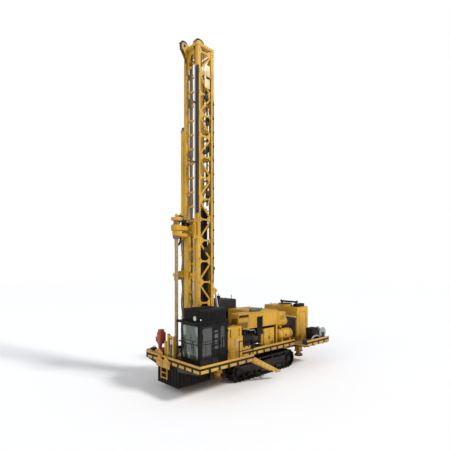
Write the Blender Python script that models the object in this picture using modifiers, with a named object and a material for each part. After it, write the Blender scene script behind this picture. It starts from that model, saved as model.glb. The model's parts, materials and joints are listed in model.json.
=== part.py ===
"""Tracked rotary blasthole drilling rig, with its long mast upright.

Metres, +Z up. X runs from the drill end (-X) to the rear (+X), and the cab is
on the -Y side, called near. The ground is at Z 0 and the origin lies under
the middle of the deck.
"""
import math

import bmesh
import bpy
from mathutils import Matrix, Vector

# Gaps
SEAT = 0.0003                 # between faces that seat on each other
DRIFT = 0.008                 # beside a rod's eye, which is not tied to its pin

# Deck
DECK_LENGTH = 11.2
DECK_WIDTH = 5.7
DECK_TOP = 1.58
DECK_THICKNESS = 0.10
CAB_PLATFORM_END = -1.9       # rear edge of the drill end's platform
REAR_PLATFORM_START = 3.0
WALKWAY_Y = 1.93              # half width of the deck between the platforms
FAR_DRILL_END_Y = 1.9
COLLECTOR_PLATFORM = (-1.25, 1.25)
DRILL_END = -DECK_LENGTH / 2
REAR = DECK_LENGTH / 2
SIDE = DECK_WIDTH / 2
DECK_UNDER = DECK_TOP - DECK_THICKNESS

# Drill line
DRILL_X = -4.9
PIPE_RADIUS = 0.095
BIT_RADIUS = 0.125
BIT_BOTTOM = 1.75
BIT_HEIGHT = 0.32
TABLE_BORE = 0.16
TABLE_RADIUS = 0.34
TABLE_RISE = 0.06

# Tracks
TRACK_LENGTH = 5.7
TRACK_HEIGHT = 1.15
TRACK_MIDDLE = 0.55
TRACK_GAUGE_Y = 1.3
SHOE_WIDTH = 0.6
SHOE_COUNT = 44
GROUSER = 0.05
SHOE_PLATE = 0.045
LINK_HEIGHT = 0.105
LINK_WIDTH = 0.30
TRACK_BEAM_WIDTH = 0.30
TRACK_BEAM_Z = (0.29 * TRACK_HEIGHT, 0.70 * TRACK_HEIGHT)
ROLLER_RADIUS = 0.11
ROLLER_COUNT = 8
CARRIER_RADIUS = 0.08
LOOP_RADIUS = TRACK_HEIGHT / 2 - GROUSER
LOOP_LENGTH = 2 * (TRACK_LENGTH - TRACK_HEIGHT) + 2 * math.pi * LOOP_RADIUS
SHOE_PITCH = LOOP_LENGTH / SHOE_COUNT
TRACK_INSIDE = GROUSER + SHOE_PLATE + LINK_HEIGHT

# Main frame
FRAME_BEAM_Y = 0.72
FRAME_BEAM_WIDTH = 0.20
FRAME_BOTTOM = 0.95
FRAME_X = (-5.2, 5.35)
CROSS_BEAM_X = (-0.9, 2.1)
CROSS_BEAM_SIZE = 0.36

# Jacks
JACK_DRILL_X = -3.05
JACK_REAR_X = 4.45
JACK_Y = 1.2
CASING_SIZE = 0.36
CASING_BOTTOM = 0.72
LEG_SIZE = 0.24
FOOT_RADIUS = 0.27
FOOT_Z = 0.42
FOOT_HEIGHT = 0.10
JACKS = (
    # name, x, y
    ("jack_drill_near", JACK_DRILL_X, -JACK_Y),
    ("jack_drill_far", JACK_DRILL_X, JACK_Y),
    ("jack_rear_near", JACK_REAR_X, -JACK_Y),
    ("jack_rear_far", JACK_REAR_X, JACK_Y),
)

# Mast
FRONT_CHORD_X = -3.85
REAR_CHORD_X = -2.9
CHORD_Y = 0.52
CHORD_SIZE = 0.20
MAST_FOOT = 1.92
MAST_TOP = 18.5
PANEL_COUNT = 14
FAR_BATTEN_STEP = 3            # the far side is open but for some battens
BRACE_SIZE = 0.09
FRONT_SLEEVE_TOP = 9.3
REAR_SLEEVE_TOP = 8.2
SLEEVE_INNER_Y = 0.22
PIVOT_X = -2.6
PIVOT_Z = 3.9
PIVOT_BOSS = 0.17
CROWN_TOP = 19.0
SHEAVE_WIDTH = 0.12
SHEAVES = (
    # name, x, y, radius
    ("near", -3.6, -0.3, 0.36),
    ("far", -4.12, 0.42, 0.25),
)

# Mast cylinders, in the plane across the pivot
CYLINDER_Y = 0.42
CYLINDER_BASE = (-1.8, 1.87)
CYLINDER_EYE = (-2.55, 5.15)
BARREL_RADIUS = 0.11
BARREL_LENGTH = 1.78
ROD_RADIUS = 0.055
ROD_LENGTH = 1.72
EYE_RADIUS = 0.1
EYE_WIDTH = 0.12
LUG = 0.035

# Rotary head
HEAD_BOTTOM = 7.95
HEAD_RADIUS = 0.29
CARRIAGE_X = (-4.25, -4.02)
CARRIAGE_Z = (8.0, 9.1)
CARRIAGE_HALF = 0.6

# Arms beside the string
STEADY_PIVOT = (-4.45, 0.75)
STEADY_Z = 5.85
STEADY_PARKED = math.radians(45)
WRENCH_PIVOT = (-5.4, 0.8)
WRENCH_PARKED = math.radians(60)
WRENCH_Z = (2.05, 2.95)

# Cab
CAB_X = (-5.1, -3.2)
CAB_Y = (-2.2, -0.66)
CAB_HEIGHT = 2.1
CAB_WALL = 0.06
ROOF_UNIT_HEIGHT = 0.68
WINDOW_SILL = 0.40
WINDOW_HEAD = CAB_HEIGHT - 0.12
GLASS = 0.012
DOOR_X = (-3.82, -3.3)
DOOR_Z = (0.10, CAB_HEIGHT - 0.12)
DOOR_GAP = 0.006
DOOR_THICKNESS = 0.045
KNUCKLE = 0.022
HINGE_HEIGHTS = (0.45, CAB_HEIGHT - 0.55)

# Stairs
STAIR_TOP = (-1.82, 1.50)
STAIR_FOOT = (0.35, 0.42)
STAIR_Y = (-2.74, -2.16)
STRINGER_THICKNESS = 0.04
TREAD_COUNT = 6

# Handrails
RAIL_HEIGHT = 1.1
RAIL_SIZE = 0.04
RAIL_INSET = 0.03

# Machinery on the deck
BAY_LOW = 1.35                 # height of the hood's underside over the deck
BAY_HIGH = 2.25
BAY_MIDDLE = -0.2              # where the narrow hood meets the wide one
BAY_X = (-1.82, 1.7)
ENGINE_X = (-0.1, 1.45)
RECEIVER_RADIUS = 0.34
RECEIVER_X = (1.75, 3.15)
RECEIVER_Y = -1.42
COOLER_X = (3.95, 5.2)
COOLER_Y = 1.45
COOLER_HEIGHT = 2.2
COOLER_FAN_X = 4.52
COOLER_FAN_RADIUS = 0.46
REEL = (5.15, -2.45, 0.5)      # x, y and height over the deck

COLOURS = {
    # name: (red, green, blue, roughness, metallic)
    "yellow_paint": (0.62, 0.35, 0.045, 0.45, 0.0),
    "black_paint": (0.018, 0.017, 0.018, 0.4, 0.0),
    "dark_grey_paint": (0.06, 0.06, 0.06, 0.55, 0.0),
    "red_paint": (0.26, 0.045, 0.03, 0.5, 0.0),
    "bare_steel": (0.32, 0.31, 0.29, 0.4, 0.9),
    "chrome_rod": (0.7, 0.7, 0.7, 0.12, 1.0),
    "cast_steel": (0.09, 0.08, 0.07, 0.6, 0.7),
    "curtain_rubber": (0.02, 0.02, 0.02, 0.85, 0.0),
    "cab_glass": (0.22, 0.28, 0.24, 0.08, 0.0),
    "seat_cloth": (0.03, 0.03, 0.035, 0.9, 0.0),
}


def collection(name):
    """New collection linked to the scene."""
    group = bpy.data.collections.new(name)
    bpy.context.scene.collection.children.link(group)
    return group


def clear_scene():
    """Remove every object of the scene."""
    for old in list(bpy.data.objects):
        bpy.data.objects.remove(old, do_unlink=True)


clear_scene()
RIG = collection("drilling_rig")
SHAPES = collection("shapes")
MATERIALS = {}
PIVOTS = {}


def material(name):
    """Principled material of that name from the table of colours."""
    if name not in MATERIALS:
        red, green, blue, roughness, metallic = COLOURS[name]
        made = bpy.data.materials.new(name)
        made.use_nodes = True
        shader = made.node_tree.nodes["Principled BSDF"]
        shader.inputs["Base Color"].default_value = (red, green, blue, 1.0)
        shader.inputs["Roughness"].default_value = roughness
        shader.inputs["Metallic"].default_value = metallic
        MATERIALS[name] = made
    return MATERIALS[name]


def pivot(name, point, parent=None):
    """Empty on a joint's axis, which carries the pieces of that body."""
    empty = bpy.data.objects.new(name + "_pivot", None)
    empty.location = point
    if parent:
        carrier, place = PIVOTS[parent]
        empty.parent = carrier
        empty.location = Vector(point) - place
    RIG.objects.link(empty)
    PIVOTS[name] = (empty, Vector(point))


def shape(maker):
    """Loose shape from a filled bmesh."""
    mesh = bpy.data.meshes.new("shape")
    maker.to_mesh(mesh)
    maker.free()
    made = bpy.data.objects.new("shape", mesh)
    SHAPES.objects.link(made)
    return made


def frame_along(start, end, side):
    """Matrix whose Z runs from start to end and whose X leans to side."""
    along = (Vector(end) - Vector(start)).normalized()
    across = Vector(side) - along * Vector(side).dot(along)
    if across.length < 1e-6:
        across = along.orthogonal()
    across.normalize()
    third = along.cross(across)
    turn = Matrix((across, third, along)).transposed().to_4x4()
    middle = (Vector(start) + Vector(end)) / 2
    return Matrix.Translation(middle) @ turn


def box(x, y, z, rounding=0.0, segments=2):
    """Box given by its ranges, with its edges rounded where asked."""
    maker = bmesh.new()
    bmesh.ops.create_cube(maker, size=1.0)
    low, high = Vector((x[0], y[0], z[0])), Vector((x[1], y[1], z[1]))
    bmesh.ops.scale(maker, vec=high - low, verts=maker.verts)
    bmesh.ops.translate(maker, vec=(low + high) / 2, verts=maker.verts)
    if rounding:
        bmesh.ops.bevel(maker, geom=maker.edges[:], offset=rounding, segments=segments,
                        profile=0.5, affect="EDGES")
    return shape(maker)


def beam(start, end, width, depth, side=(0, 1, 0)):
    """Square-cut bar between two points; its width lies along side."""
    maker = bmesh.new()
    bmesh.ops.create_cube(maker, size=1.0)
    length = (Vector(end) - Vector(start)).length
    bmesh.ops.scale(maker, vec=(width, depth, length), verts=maker.verts)
    bmesh.ops.transform(maker, matrix=frame_along(start, end, side), verts=maker.verts)
    return shape(maker)


def rod(start, end, radius, sides=10, end_radius=None):
    """Round bar or cone between two points."""
    maker = bmesh.new()
    length = (Vector(end) - Vector(start)).length
    bmesh.ops.create_cone(maker, cap_ends=True, segments=sides, radius1=radius,
                          radius2=radius if end_radius is None else end_radius, depth=length)
    bmesh.ops.transform(maker, matrix=frame_along(start, end, (0, 1, 0.3)), verts=maker.verts)
    return shape(maker)


def evaluated(source):
    """Loose shape that holds what an object looks like with its modifiers."""
    view = bpy.context.evaluated_depsgraph_get()
    mesh = bpy.data.meshes.new_from_object(source.evaluated_get(view))
    made = bpy.data.objects.new("shape", mesh)
    made.matrix_world = source.matrix_world
    mesh.transform(made.matrix_world)
    made.matrix_world = Matrix.Identity(4)
    SHAPES.objects.link(made)
    return made


def discard(*shapes):
    """Remove loose shapes that another one now holds."""
    for old in shapes:
        bpy.data.objects.remove(old, do_unlink=True)


def plate(outline, plane, low, high, holes=()):
    """Flat outline with a thickness and holes, in the plane XY, XZ or YZ."""
    curve = bpy.data.curves.new("outline", "CURVE")
    curve.dimensions = "2D"
    curve.fill_mode = "BOTH"
    curve.extrude = (high - low) / 2
    for line in (outline, *holes):
        spline = curve.splines.new("POLY")
        spline.points.add(len(line) - 1)
        for point, (first, second) in zip(spline.points, line):
            point.co = (first, second, 0, 1)
        spline.use_cyclic_u = True
    flat = bpy.data.objects.new("outline", curve)
    SHAPES.objects.link(flat)
    bpy.context.view_layer.update()
    made = evaluated(flat)
    discard(flat)
    maker = bmesh.new()
    maker.from_mesh(made.data)
    bmesh.ops.remove_doubles(maker, verts=maker.verts, dist=0.00005)
    columns = {"XY": ((1, 0, 0), (0, 1, 0)), "XZ": ((1, 0, 0), (0, 0, 1)),
               "YZ": ((0, 1, 0), (0, 0, 1))}[plane]
    first, second = Vector(columns[0]), Vector(columns[1])
    normal = first.cross(second)
    turn = Matrix((first, second, normal)).transposed().to_4x4()
    middle = (low + high) / 2
    shift = Vector([middle if abs(part) > 0.5 else 0.0 for part in normal])
    bmesh.ops.transform(maker, matrix=Matrix.Translation(shift) @ turn, verts=maker.verts)
    bmesh.ops.recalc_face_normals(maker, faces=maker.faces)
    maker.to_mesh(made.data)
    maker.free()
    return made


def turned(profile, centre, sides=24, axis="Z"):
    """Body of revolution; the profile lists (radius, height) from top to bottom."""
    mesh = bpy.data.meshes.new("profile")
    maker = bmesh.new()
    points = [maker.verts.new((radius, 0, height)) for radius, height in profile]
    for first, second in zip(points, points[1:]):
        maker.edges.new((first, second))
    maker.to_mesh(mesh)
    maker.free()
    outline = bpy.data.objects.new("profile", mesh)
    SHAPES.objects.link(outline)
    screw = outline.modifiers.new("turn", "SCREW")
    screw.axis = "Z"
    screw.steps = sides
    screw.render_steps = sides
    screw.use_merge_vertices = True
    screw.merge_threshold = 0.00005
    bpy.context.view_layer.update()
    made = evaluated(outline)
    discard(outline)
    turn = {"Z": Matrix.Identity(4), "Y": Matrix.Rotation(-math.pi / 2, 4, "X"),
            "X": Matrix.Rotation(math.pi / 2, 4, "Y")}[axis]
    maker = bmesh.new()
    maker.from_mesh(made.data)
    bmesh.ops.remove_doubles(maker, verts=maker.verts, dist=0.00005)
    bmesh.ops.transform(maker, matrix=Matrix.Translation(centre) @ turn, verts=maker.verts)
    bmesh.ops.recalc_face_normals(maker, faces=maker.faces)
    maker.to_mesh(made.data)
    maker.free()
    return made


def combined(operation, base, others):
    """One Boolean of a base shape with a group of other shapes."""
    others = [other for other in others if other is not None]
    if not others:
        return base
    group = collection("operands")
    for other in others:
        group.objects.link(other)
    step = base.modifiers.new("combine", "BOOLEAN")
    step.operation = operation
    step.operand_type = "COLLECTION"
    step.collection = group
    step.solver = "EXACT"
    bpy.context.view_layer.update()
    made = evaluated(base)
    discard(base, *others)
    bpy.data.collections.remove(group)
    return made


def fuse(*shapes):
    """Shapes that overlap, joined to one body."""
    return combined("UNION", shapes[0], shapes[1:])


def cut(base, *cutters):
    """Base shape without the cutters."""
    return combined("DIFFERENCE", base, cutters)


def turned_about(source, point, angle, axis="Z"):
    """Shape turned in place about an axis through a point."""
    place = Matrix.Translation(point)
    source.data.transform(place @ Matrix.Rotation(angle, 4, axis) @ place.inverted())
    return source


def node(name, made, finish, body=None):
    """Name a finished shape, give it its material and hang it on its body."""
    made.name = name
    made.data.name = name
    made.data.materials.clear()
    made.data.materials.append(material(finish))
    SHAPES.objects.unlink(made)
    RIG.objects.link(made)
    if body:
        empty, place = PIVOTS[body]
        made.data.transform(Matrix.Translation(-place))
        made.parent = empty
    return made


def sides_of(name):
    """Near and far side: a name with the sign of Y."""
    return ((name + "_near", -1), (name + "_far", 1))


# Undercarriage

def loop_point(distance, offset):
    """Point of the track's loop: distance along it and offset outwards."""
    radius = LOOP_RADIUS
    straight = TRACK_LENGTH - TRACK_HEIGHT
    half_turn = math.pi * radius
    distance %= LOOP_LENGTH
    front, back = TRACK_MIDDLE - straight / 2, TRACK_MIDDLE + straight / 2
    middle = TRACK_HEIGHT / 2
    if distance < straight:
        return front + distance, middle - radius - offset
    if distance < straight + half_turn:
        angle = (distance - straight) / radius
        reach = radius + offset
        return back + reach * math.sin(angle), middle - reach * math.cos(angle)
    if distance < 2 * straight + half_turn:
        return back - (distance - straight - half_turn), middle + radius + offset
    angle = (distance - 2 * straight - half_turn) / radius
    reach = radius + offset
    return front - reach * math.sin(angle), middle + reach * math.cos(angle)


def track(name, side):
    """Closed loop of shoes with one grouser each, fixed round its wheels."""
    shoe = (
        # share of the pitch, offset outwards
        (0.06, 0.0),
        (0.10, GROUSER),
        (0.24, GROUSER),
        (0.30, 0.0),
        (0.90, 0.0),
        (0.98, -0.02),
    )
    outer = [loop_point((index + share) * SHOE_PITCH, offset)
             for index in range(SHOE_COUNT) for share, offset in shoe]
    under = [loop_point((index + 0.5) * SHOE_PITCH, -SHOE_PLATE) for index in range(SHOE_COUNT)]
    inner = [loop_point((index + 0.5) * SHOE_PITCH, -(SHOE_PLATE + LINK_HEIGHT))
             for index in range(SHOE_COUNT)]
    middle = side * TRACK_GAUGE_Y
    low, high = middle - SHOE_WIDTH / 2, middle + SHOE_WIDTH / 2
    shoes = plate(outer, "XZ", low, high, (under,))
    deeper = {(round(x, 3), round(z, 3)): place for (x, z), place in zip(under, inner)}

    def below(faces):
        """Faces of the shoes' underside."""
        return [face for face in faces
                if all((round(v.co.x, 3), round(v.co.z, 3)) in deeper for v in face.verts)
                and abs(face.normal.y) < 0.5]

    maker = bmesh.new()
    maker.from_mesh(shoes.data)
    for edge in (middle - LINK_WIDTH / 2, middle + LINK_WIDTH / 2):
        faces = below(maker.faces)
        geometry = faces + list({part for face in faces for part in (*face.edges, *face.verts)})
        bmesh.ops.bisect_plane(maker, geom=geometry, plane_co=(0, edge, 0), plane_no=(0, 1, 0))
    band = [face for face in below(maker.faces)
            if abs(face.calc_center_median().y - middle) < LINK_WIDTH / 2]
    grown = bmesh.ops.extrude_face_region(maker, geom=band)["geom"]
    bmesh.ops.delete(maker, geom=band, context="FACES")
    for vertex in grown:
        if isinstance(vertex, bmesh.types.BMVert):
            x, z = deeper[(round(vertex.co.x, 3), round(vertex.co.z, 3))]
            vertex.co.x, vertex.co.z = x, z
    bmesh.ops.recalc_face_normals(maker, faces=maker.faces)
    discard(shoes)
    node(name, shape(maker), "cast_steel")


def track_frame(name, side):
    """Beam of one track with its idler, sprocket and rollers."""
    middle = side * TRACK_GAUGE_Y
    half = TRACK_BEAM_WIDTH / 2
    ends = TRACK_LENGTH / 2 - TRACK_HEIGHT / 2
    facet = math.cos(SHOE_PITCH / LOOP_RADIUS / 2)
    wheel = (TRACK_HEIGHT / 2 - TRACK_INSIDE) * facet - 2 * SEAT
    front, back = TRACK_MIDDLE - ends, TRACK_MIDDLE + ends
    pieces = [box((front, back), (middle - half, middle + half), TRACK_BEAM_Z, 0.03, 1)]
    for x, reach in ((front, 0.20), (back, 0.27)):
        pieces.append(rod((x, middle - 0.12, TRACK_HEIGHT / 2), (x, middle + 0.12, TRACK_HEIGHT / 2),
                          wheel, 24))
        pieces.append(rod((x, middle - reach, TRACK_HEIGHT / 2),
                          (x, middle + reach, TRACK_HEIGHT / 2), 0.2, 16))
    step = (back - front - 0.9) / (ROLLER_COUNT - 1)
    height = TRACK_INSIDE + ROLLER_RADIUS + SEAT
    for index in range(ROLLER_COUNT):
        x = front + 0.45 + index * step
        pieces.append(rod((x, middle - 0.20, height), (x, middle + 0.20, height), ROLLER_RADIUS, 12))
    height = TRACK_HEIGHT - TRACK_INSIDE - CARRIER_RADIUS - SEAT
    for share in (0.32, 0.68):
        x = front + share * (back - front)
        pieces.append(rod((x, middle - 0.13, height), (x, middle + 0.13, height), CARRIER_RADIUS, 12))
        pieces.append(box((x - 0.05, x + 0.05), (middle - 0.1, middle + 0.1),
                          (TRACK_BEAM_Z[1] - 0.05, height)))
    node(name, fuse(*pieces), "black_paint")


def undercarriage():
    """Tracks, their frames and the cross beams that carry the machine."""
    for name, side in sides_of("track"):
        track(name, side)
    for name, side in sides_of("track_frame"):
        track_frame(name, side)
    reach = TRACK_GAUGE_Y - TRACK_BEAM_WIDTH / 2 - SEAT
    half = CROSS_BEAM_SIZE / 2
    pieces = []
    for x in CROSS_BEAM_X:
        pieces.append(box((x - half, x + half), (-reach, reach), (0.45, 0.45 + CROSS_BEAM_SIZE)))
    for side in (-1, 1):
        y = side * FRAME_BEAM_Y
        pieces.append(box((CROSS_BEAM_X[0] - 0.4, CROSS_BEAM_X[1] + 0.4), (y - 0.09, y + 0.09),
                          (0.50, FRAME_BOTTOM - SEAT)))
    node("undercarriage_beams", fuse(*pieces), "black_paint")


# Main frame and deck

def main_frame():
    """Two long beams, their cross members and the casings of the four jacks."""
    top = DECK_UNDER - SEAT
    half = FRAME_BEAM_WIDTH / 2
    pieces = []
    for side in (-1, 1):
        y = side * FRAME_BEAM_Y
        pieces.append(box(FRAME_X, (y - half, y + half), (FRAME_BOTTOM, top)))
    for x in (-3.85, -2.2, -0.4, 1.4, 3.2, 5.2):
        pieces.append(box((x - 0.07, x + 0.07), (-FRAME_BEAM_Y, FRAME_BEAM_Y),
                          (FRAME_BOTTOM + 0.08, top - 0.03)))
    for x in (JACK_DRILL_X, JACK_REAR_X):
        pieces.append(box((x - 0.11, x + 0.11), (-JACK_Y, JACK_Y), (FRAME_BOTTOM + 0.04, top - 0.05)))
    half = CASING_SIZE / 2
    bore = LEG_SIZE / 2 + SEAT
    bores = []
    for _, x, y in JACKS:
        pieces.append(box((x - half, x + half), (y - half, y + half), (CASING_BOTTOM, top - 0.012)))
        bores.append(box((x - bore, x + bore), (y - bore, y + bore),
                         (CASING_BOTTOM - 0.1, top - 0.06)))
    node("main_frame", cut(fuse(*pieces), *bores), "yellow_paint")


def jacks():
    """Legs of the four jacks, each with its foot."""
    half = LEG_SIZE / 2
    for name, x, y in JACKS:
        pivot(name, (x, y, FOOT_Z))
        top = DECK_UNDER - 0.075
        leg = fuse(box((x - half, x + half), (y - half, y + half), (FOOT_Z + 0.02, top)),
                   rod((x, y, FOOT_Z), (x, y, FOOT_Z + FOOT_HEIGHT), FOOT_RADIUS, 16),
                   rod((x, y, FOOT_Z + FOOT_HEIGHT - 0.02), (x, y, FOOT_Z + FOOT_HEIGHT + 0.07),
                       FOOT_RADIUS * 0.8, 16, LEG_SIZE * 0.6))
        node(name, leg, "yellow_paint", name)


def deck():
    """Deck in three lengths, with the drill table at the drill end."""
    low, high = DECK_UNDER, DECK_TOP
    drill_end = plate(((DRILL_END, -SIDE), (CAB_PLATFORM_END, -SIDE),
                       (CAB_PLATFORM_END, FAR_DRILL_END_Y), (DRILL_END, FAR_DRILL_END_Y)),
                      "XY", low, high)
    table = rod((DRILL_X, 0, low + 0.01), (DRILL_X, 0, high + TABLE_RISE), TABLE_RADIUS, 24)
    bore = rod((DRILL_X, 0, low - 0.1), (DRILL_X, 0, high + TABLE_RISE + 0.1), TABLE_BORE, 24)
    x, z = STAIR_TOP
    lugs = []
    for y, outward in ((STAIR_Y[0], -1), (STAIR_Y[1], 1)):
        face = y + outward * SEAT
        back = face + outward * 0.04
        lugs.append(box((CAB_PLATFORM_END - 0.05, x + 0.05), (min(face, back), max(face, back)),
                        (z - 0.06, high - 0.012)))
    node("deck_drill_end", cut(fuse(drill_end, table, *lugs), bore), "yellow_paint")
    start, end = CAB_PLATFORM_END + SEAT, REAR_PLATFORM_START - SEAT
    left, right = COLLECTOR_PLATFORM
    middle = plate(((start, -WALKWAY_Y), (end, -WALKWAY_Y), (end, WALKWAY_Y),
                    (right, WALKWAY_Y), (right, SIDE), (left, SIDE), (left, FAR_DRILL_END_Y),
                    (start, FAR_DRILL_END_Y)), "XY", low, high)
    node("deck_middle", middle, "yellow_paint")
    rear = plate(((REAR_PLATFORM_START, -SIDE), (REAR, -SIDE), (REAR, SIDE),
                  (REAR_PLATFORM_START, SIDE)), "XY", low, high)
    node("deck_rear", rear, "yellow_paint")


# Pieces under the drill end

def dust_curtain():
    """Rubber skirt that hangs round the drilled hole, open below."""
    low, top = 0.33, DECK_UNDER - SEAT
    x0, x1, y, wall = -5.46, -3.3, 0.92, 0.03
    skirt = box((x0, x1), (-y, y), (low, top))
    inside = box((x0 + wall, x1 - wall), (wall - y, y - wall), (low - 0.1, top + 0.1))
    notch = box((x1 - wall - 0.05, x1 + 0.1), (0.05 - y, y - 0.05), (FRAME_BOTTOM - 0.01, top + 0.1))
    node("dust_curtain", cut(skirt, inside, notch), "curtain_rubber")


def step_frame():
    """Ladder rungs under the drill end of the deck."""
    x, low, top = -5.54, 0.62, DECK_UNDER - SEAT
    sides_y = (-0.07, 0.47)
    pieces = [box((x - 0.03, x + 0.03), (y - 0.025, y + 0.025), (low, top)) for y in sides_y]
    for height in (0.66, 0.93, 1.20):
        pieces.append(box((x - 0.05, x + 0.05), sides_y, (height, height + 0.04)))
    node("drill_end_step", fuse(*pieces), "yellow_paint")


# Mast tower, mast and its cylinders

def along_cylinder(distance):
    """Point at a distance from the base pin of a mast cylinder, in X and Z."""
    base, eye = Vector(CYLINDER_BASE), Vector(CYLINDER_EYE)
    return base + (eye - base).normalized() * distance


def mast_tower():
    """Base on the deck with two side frames that hold the mast's pivot."""
    floor = DECK_TOP + SEAT
    pieces = [box((-3.15, -0.9), (-0.92, 0.92), (floor, floor + 0.09)),
              box((-4.02, -3.1), (-0.63, 0.63), (floor, floor + 0.085))]
    outline = ((-3.12, floor + 0.02), (-1.1, floor + 0.02), (PIVOT_X + 0.2, PIVOT_Z + 0.1),
               (PIVOT_X - 0.2, PIVOT_Z + 0.1))
    window = ((-2.86, floor + 0.25), (-1.6, floor + 0.25), (PIVOT_X + 0.12, PIVOT_Z - 0.75),
              (PIVOT_X - 0.10, PIVOT_Z - 0.75))
    for side in (-1, 1):
        inner, outer = side * 0.70, side * 0.86
        low, high = min(inner, outer), max(inner, outer)
        frame = plate(outline, "XZ", low, high)
        pieces.append(cut(frame, plate(window, "XZ", low - 0.05, high + 0.05)))
        face = side * (CHORD_Y + CHORD_SIZE / 2 + 0.05 + SEAT)
        pieces.append(rod((PIVOT_X, face, PIVOT_Z), (PIVOT_X, side * 0.92, PIVOT_Z), PIVOT_BOSS, 20))
    x, z = CYLINDER_BASE
    for side in (-1, 1):
        for inward in (-1, 1):
            face = side * CYLINDER_Y + inward * (EYE_WIDTH / 2 + SEAT)
            back = face + inward * LUG
            lug = plate(((x - 0.16, floor + 0.05), (x + 0.16, floor + 0.05), (x + 0.09, z + 0.1),
                         (x - 0.09, z + 0.1)), "XZ", min(face, back), max(face, back))
            pieces.append(lug)
    for x in (FRONT_CHORD_X, REAR_CHORD_X):
        for side in (-1, 1):
            y = side * CHORD_Y
            pieces.append(box((x - 0.11, x + 0.11), (y - 0.11, y + 0.11),
                              (floor + 0.05, MAST_FOOT - SEAT)))
    node("mast_tower", fuse(*pieces), "dark_grey_paint")


def chord_sleeve(x, side, top):
    """Thick lower length of a chord, which widens inwards and ends in a point."""
    half = CHORD_SIZE / 2 - 0.005
    outer = side * (CHORD_Y + half)
    inner = side * SLEEVE_INNER_Y
    upper = side * (CHORD_Y - 0.06)
    outline = [(outer, MAST_FOOT + 0.01), (outer, top - 0.2), (upper, top), (inner, top - 0.75),
               (inner, MAST_FOOT + 0.01)]
    if side > 0:
        outline.reverse()
    return plate(outline, "YZ", x - half, x + half)


def mast_frame():
    """Four chords with their bracing, sleeves, pivot ears and cylinder lugs."""
    half = CHORD_SIZE / 2
    pieces = []
    for x, top in ((FRONT_CHORD_X, FRONT_SLEEVE_TOP), (REAR_CHORD_X, REAR_SLEEVE_TOP)):
        for side in (-1, 1):
            y = side * CHORD_Y
            pieces.append(box((x - half, x + half), (y - half, y + half), (MAST_FOOT, MAST_TOP)))
            pieces.append(chord_sleeve(x, side, top))
    first = MAST_FOOT + 0.3
    panel = (MAST_TOP - 0.25 - first) / PANEL_COUNT
    size = BRACE_SIZE
    for index in range(PANEL_COUNT + 1):
        z = first + index * panel
        following = z + panel
        ahead, behind = (FRONT_CHORD_X, REAR_CHORD_X) if index % 2 else (REAR_CHORD_X, FRONT_CHORD_X)
        near = -CHORD_Y
        pieces.append(beam((FRONT_CHORD_X, near, z), (REAR_CHORD_X, near, z), size, size))
        if index % FAR_BATTEN_STEP == 0 or index == PANEL_COUNT:
            pieces.append(beam((FRONT_CHORD_X, CHORD_Y, z), (REAR_CHORD_X, CHORD_Y, z), size, size))
        if index < PANEL_COUNT:
            pieces.append(beam((ahead, near, z), (behind, near, following), size * 0.9, size * 0.9))
        pieces.append(beam((REAR_CHORD_X, -CHORD_Y, z), (REAR_CHORD_X, CHORD_Y, z), size, size,
                           (1, 0, 0)))
        if index < PANEL_COUNT:
            start = CHORD_Y if index % 2 else -CHORD_Y
            pieces.append(beam((REAR_CHORD_X, start, z), (REAR_CHORD_X, -start, following),
                               size * 0.9, size * 0.9, (1, 0, 0)))
    ear = ((REAR_CHORD_X - 0.05, PIVOT_Z - 0.45), (PIVOT_X + 0.05, PIVOT_Z - 0.16),
           (PIVOT_X + 0.16, PIVOT_Z), (PIVOT_X + 0.05, PIVOT_Z + 0.16),
           (REAR_CHORD_X - 0.05, PIVOT_Z + 0.45))
    x, z = CYLINDER_EYE
    eye_lug = ((REAR_CHORD_X, z - 0.28), (x + 0.06, z - 0.09), (x + 0.1, z), (x + 0.06, z + 0.09),
               (REAR_CHORD_X, z + 0.28))
    for side in (-1, 1):
        inner, outer = side * (CHORD_Y - 0.07), side * (CHORD_Y + half + 0.05)
        low, high = min(inner, outer), max(inner, outer)
        pieces.append(plate(ear, "XZ", low, high))
        for inward in (-1, 1):
            face = side * CYLINDER_Y + inward * (EYE_WIDTH / 2 + DRIFT)
            back = face + inward * LUG
            pieces.append(plate(eye_lug, "XZ", min(face, back), max(face, back)))
    pieces.append(box((FRONT_CHORD_X - 0.05, FRONT_CHORD_X + 0.05), (-CHORD_Y, CHORD_Y),
                      (STEADY_Z + 0.12, STEADY_Z + 0.30)))
    # bracket of the steady arm
    x, y = STEADY_PIVOT
    pieces.append(box((x - 0.1, FRONT_CHORD_X), (CHORD_Y + half - 0.008, y + 0.09),
                      (STEADY_Z + 0.10 + SEAT, STEADY_Z + 0.28)))
    node("mast_frame", fuse(*pieces), "yellow_paint", "mast")


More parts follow.
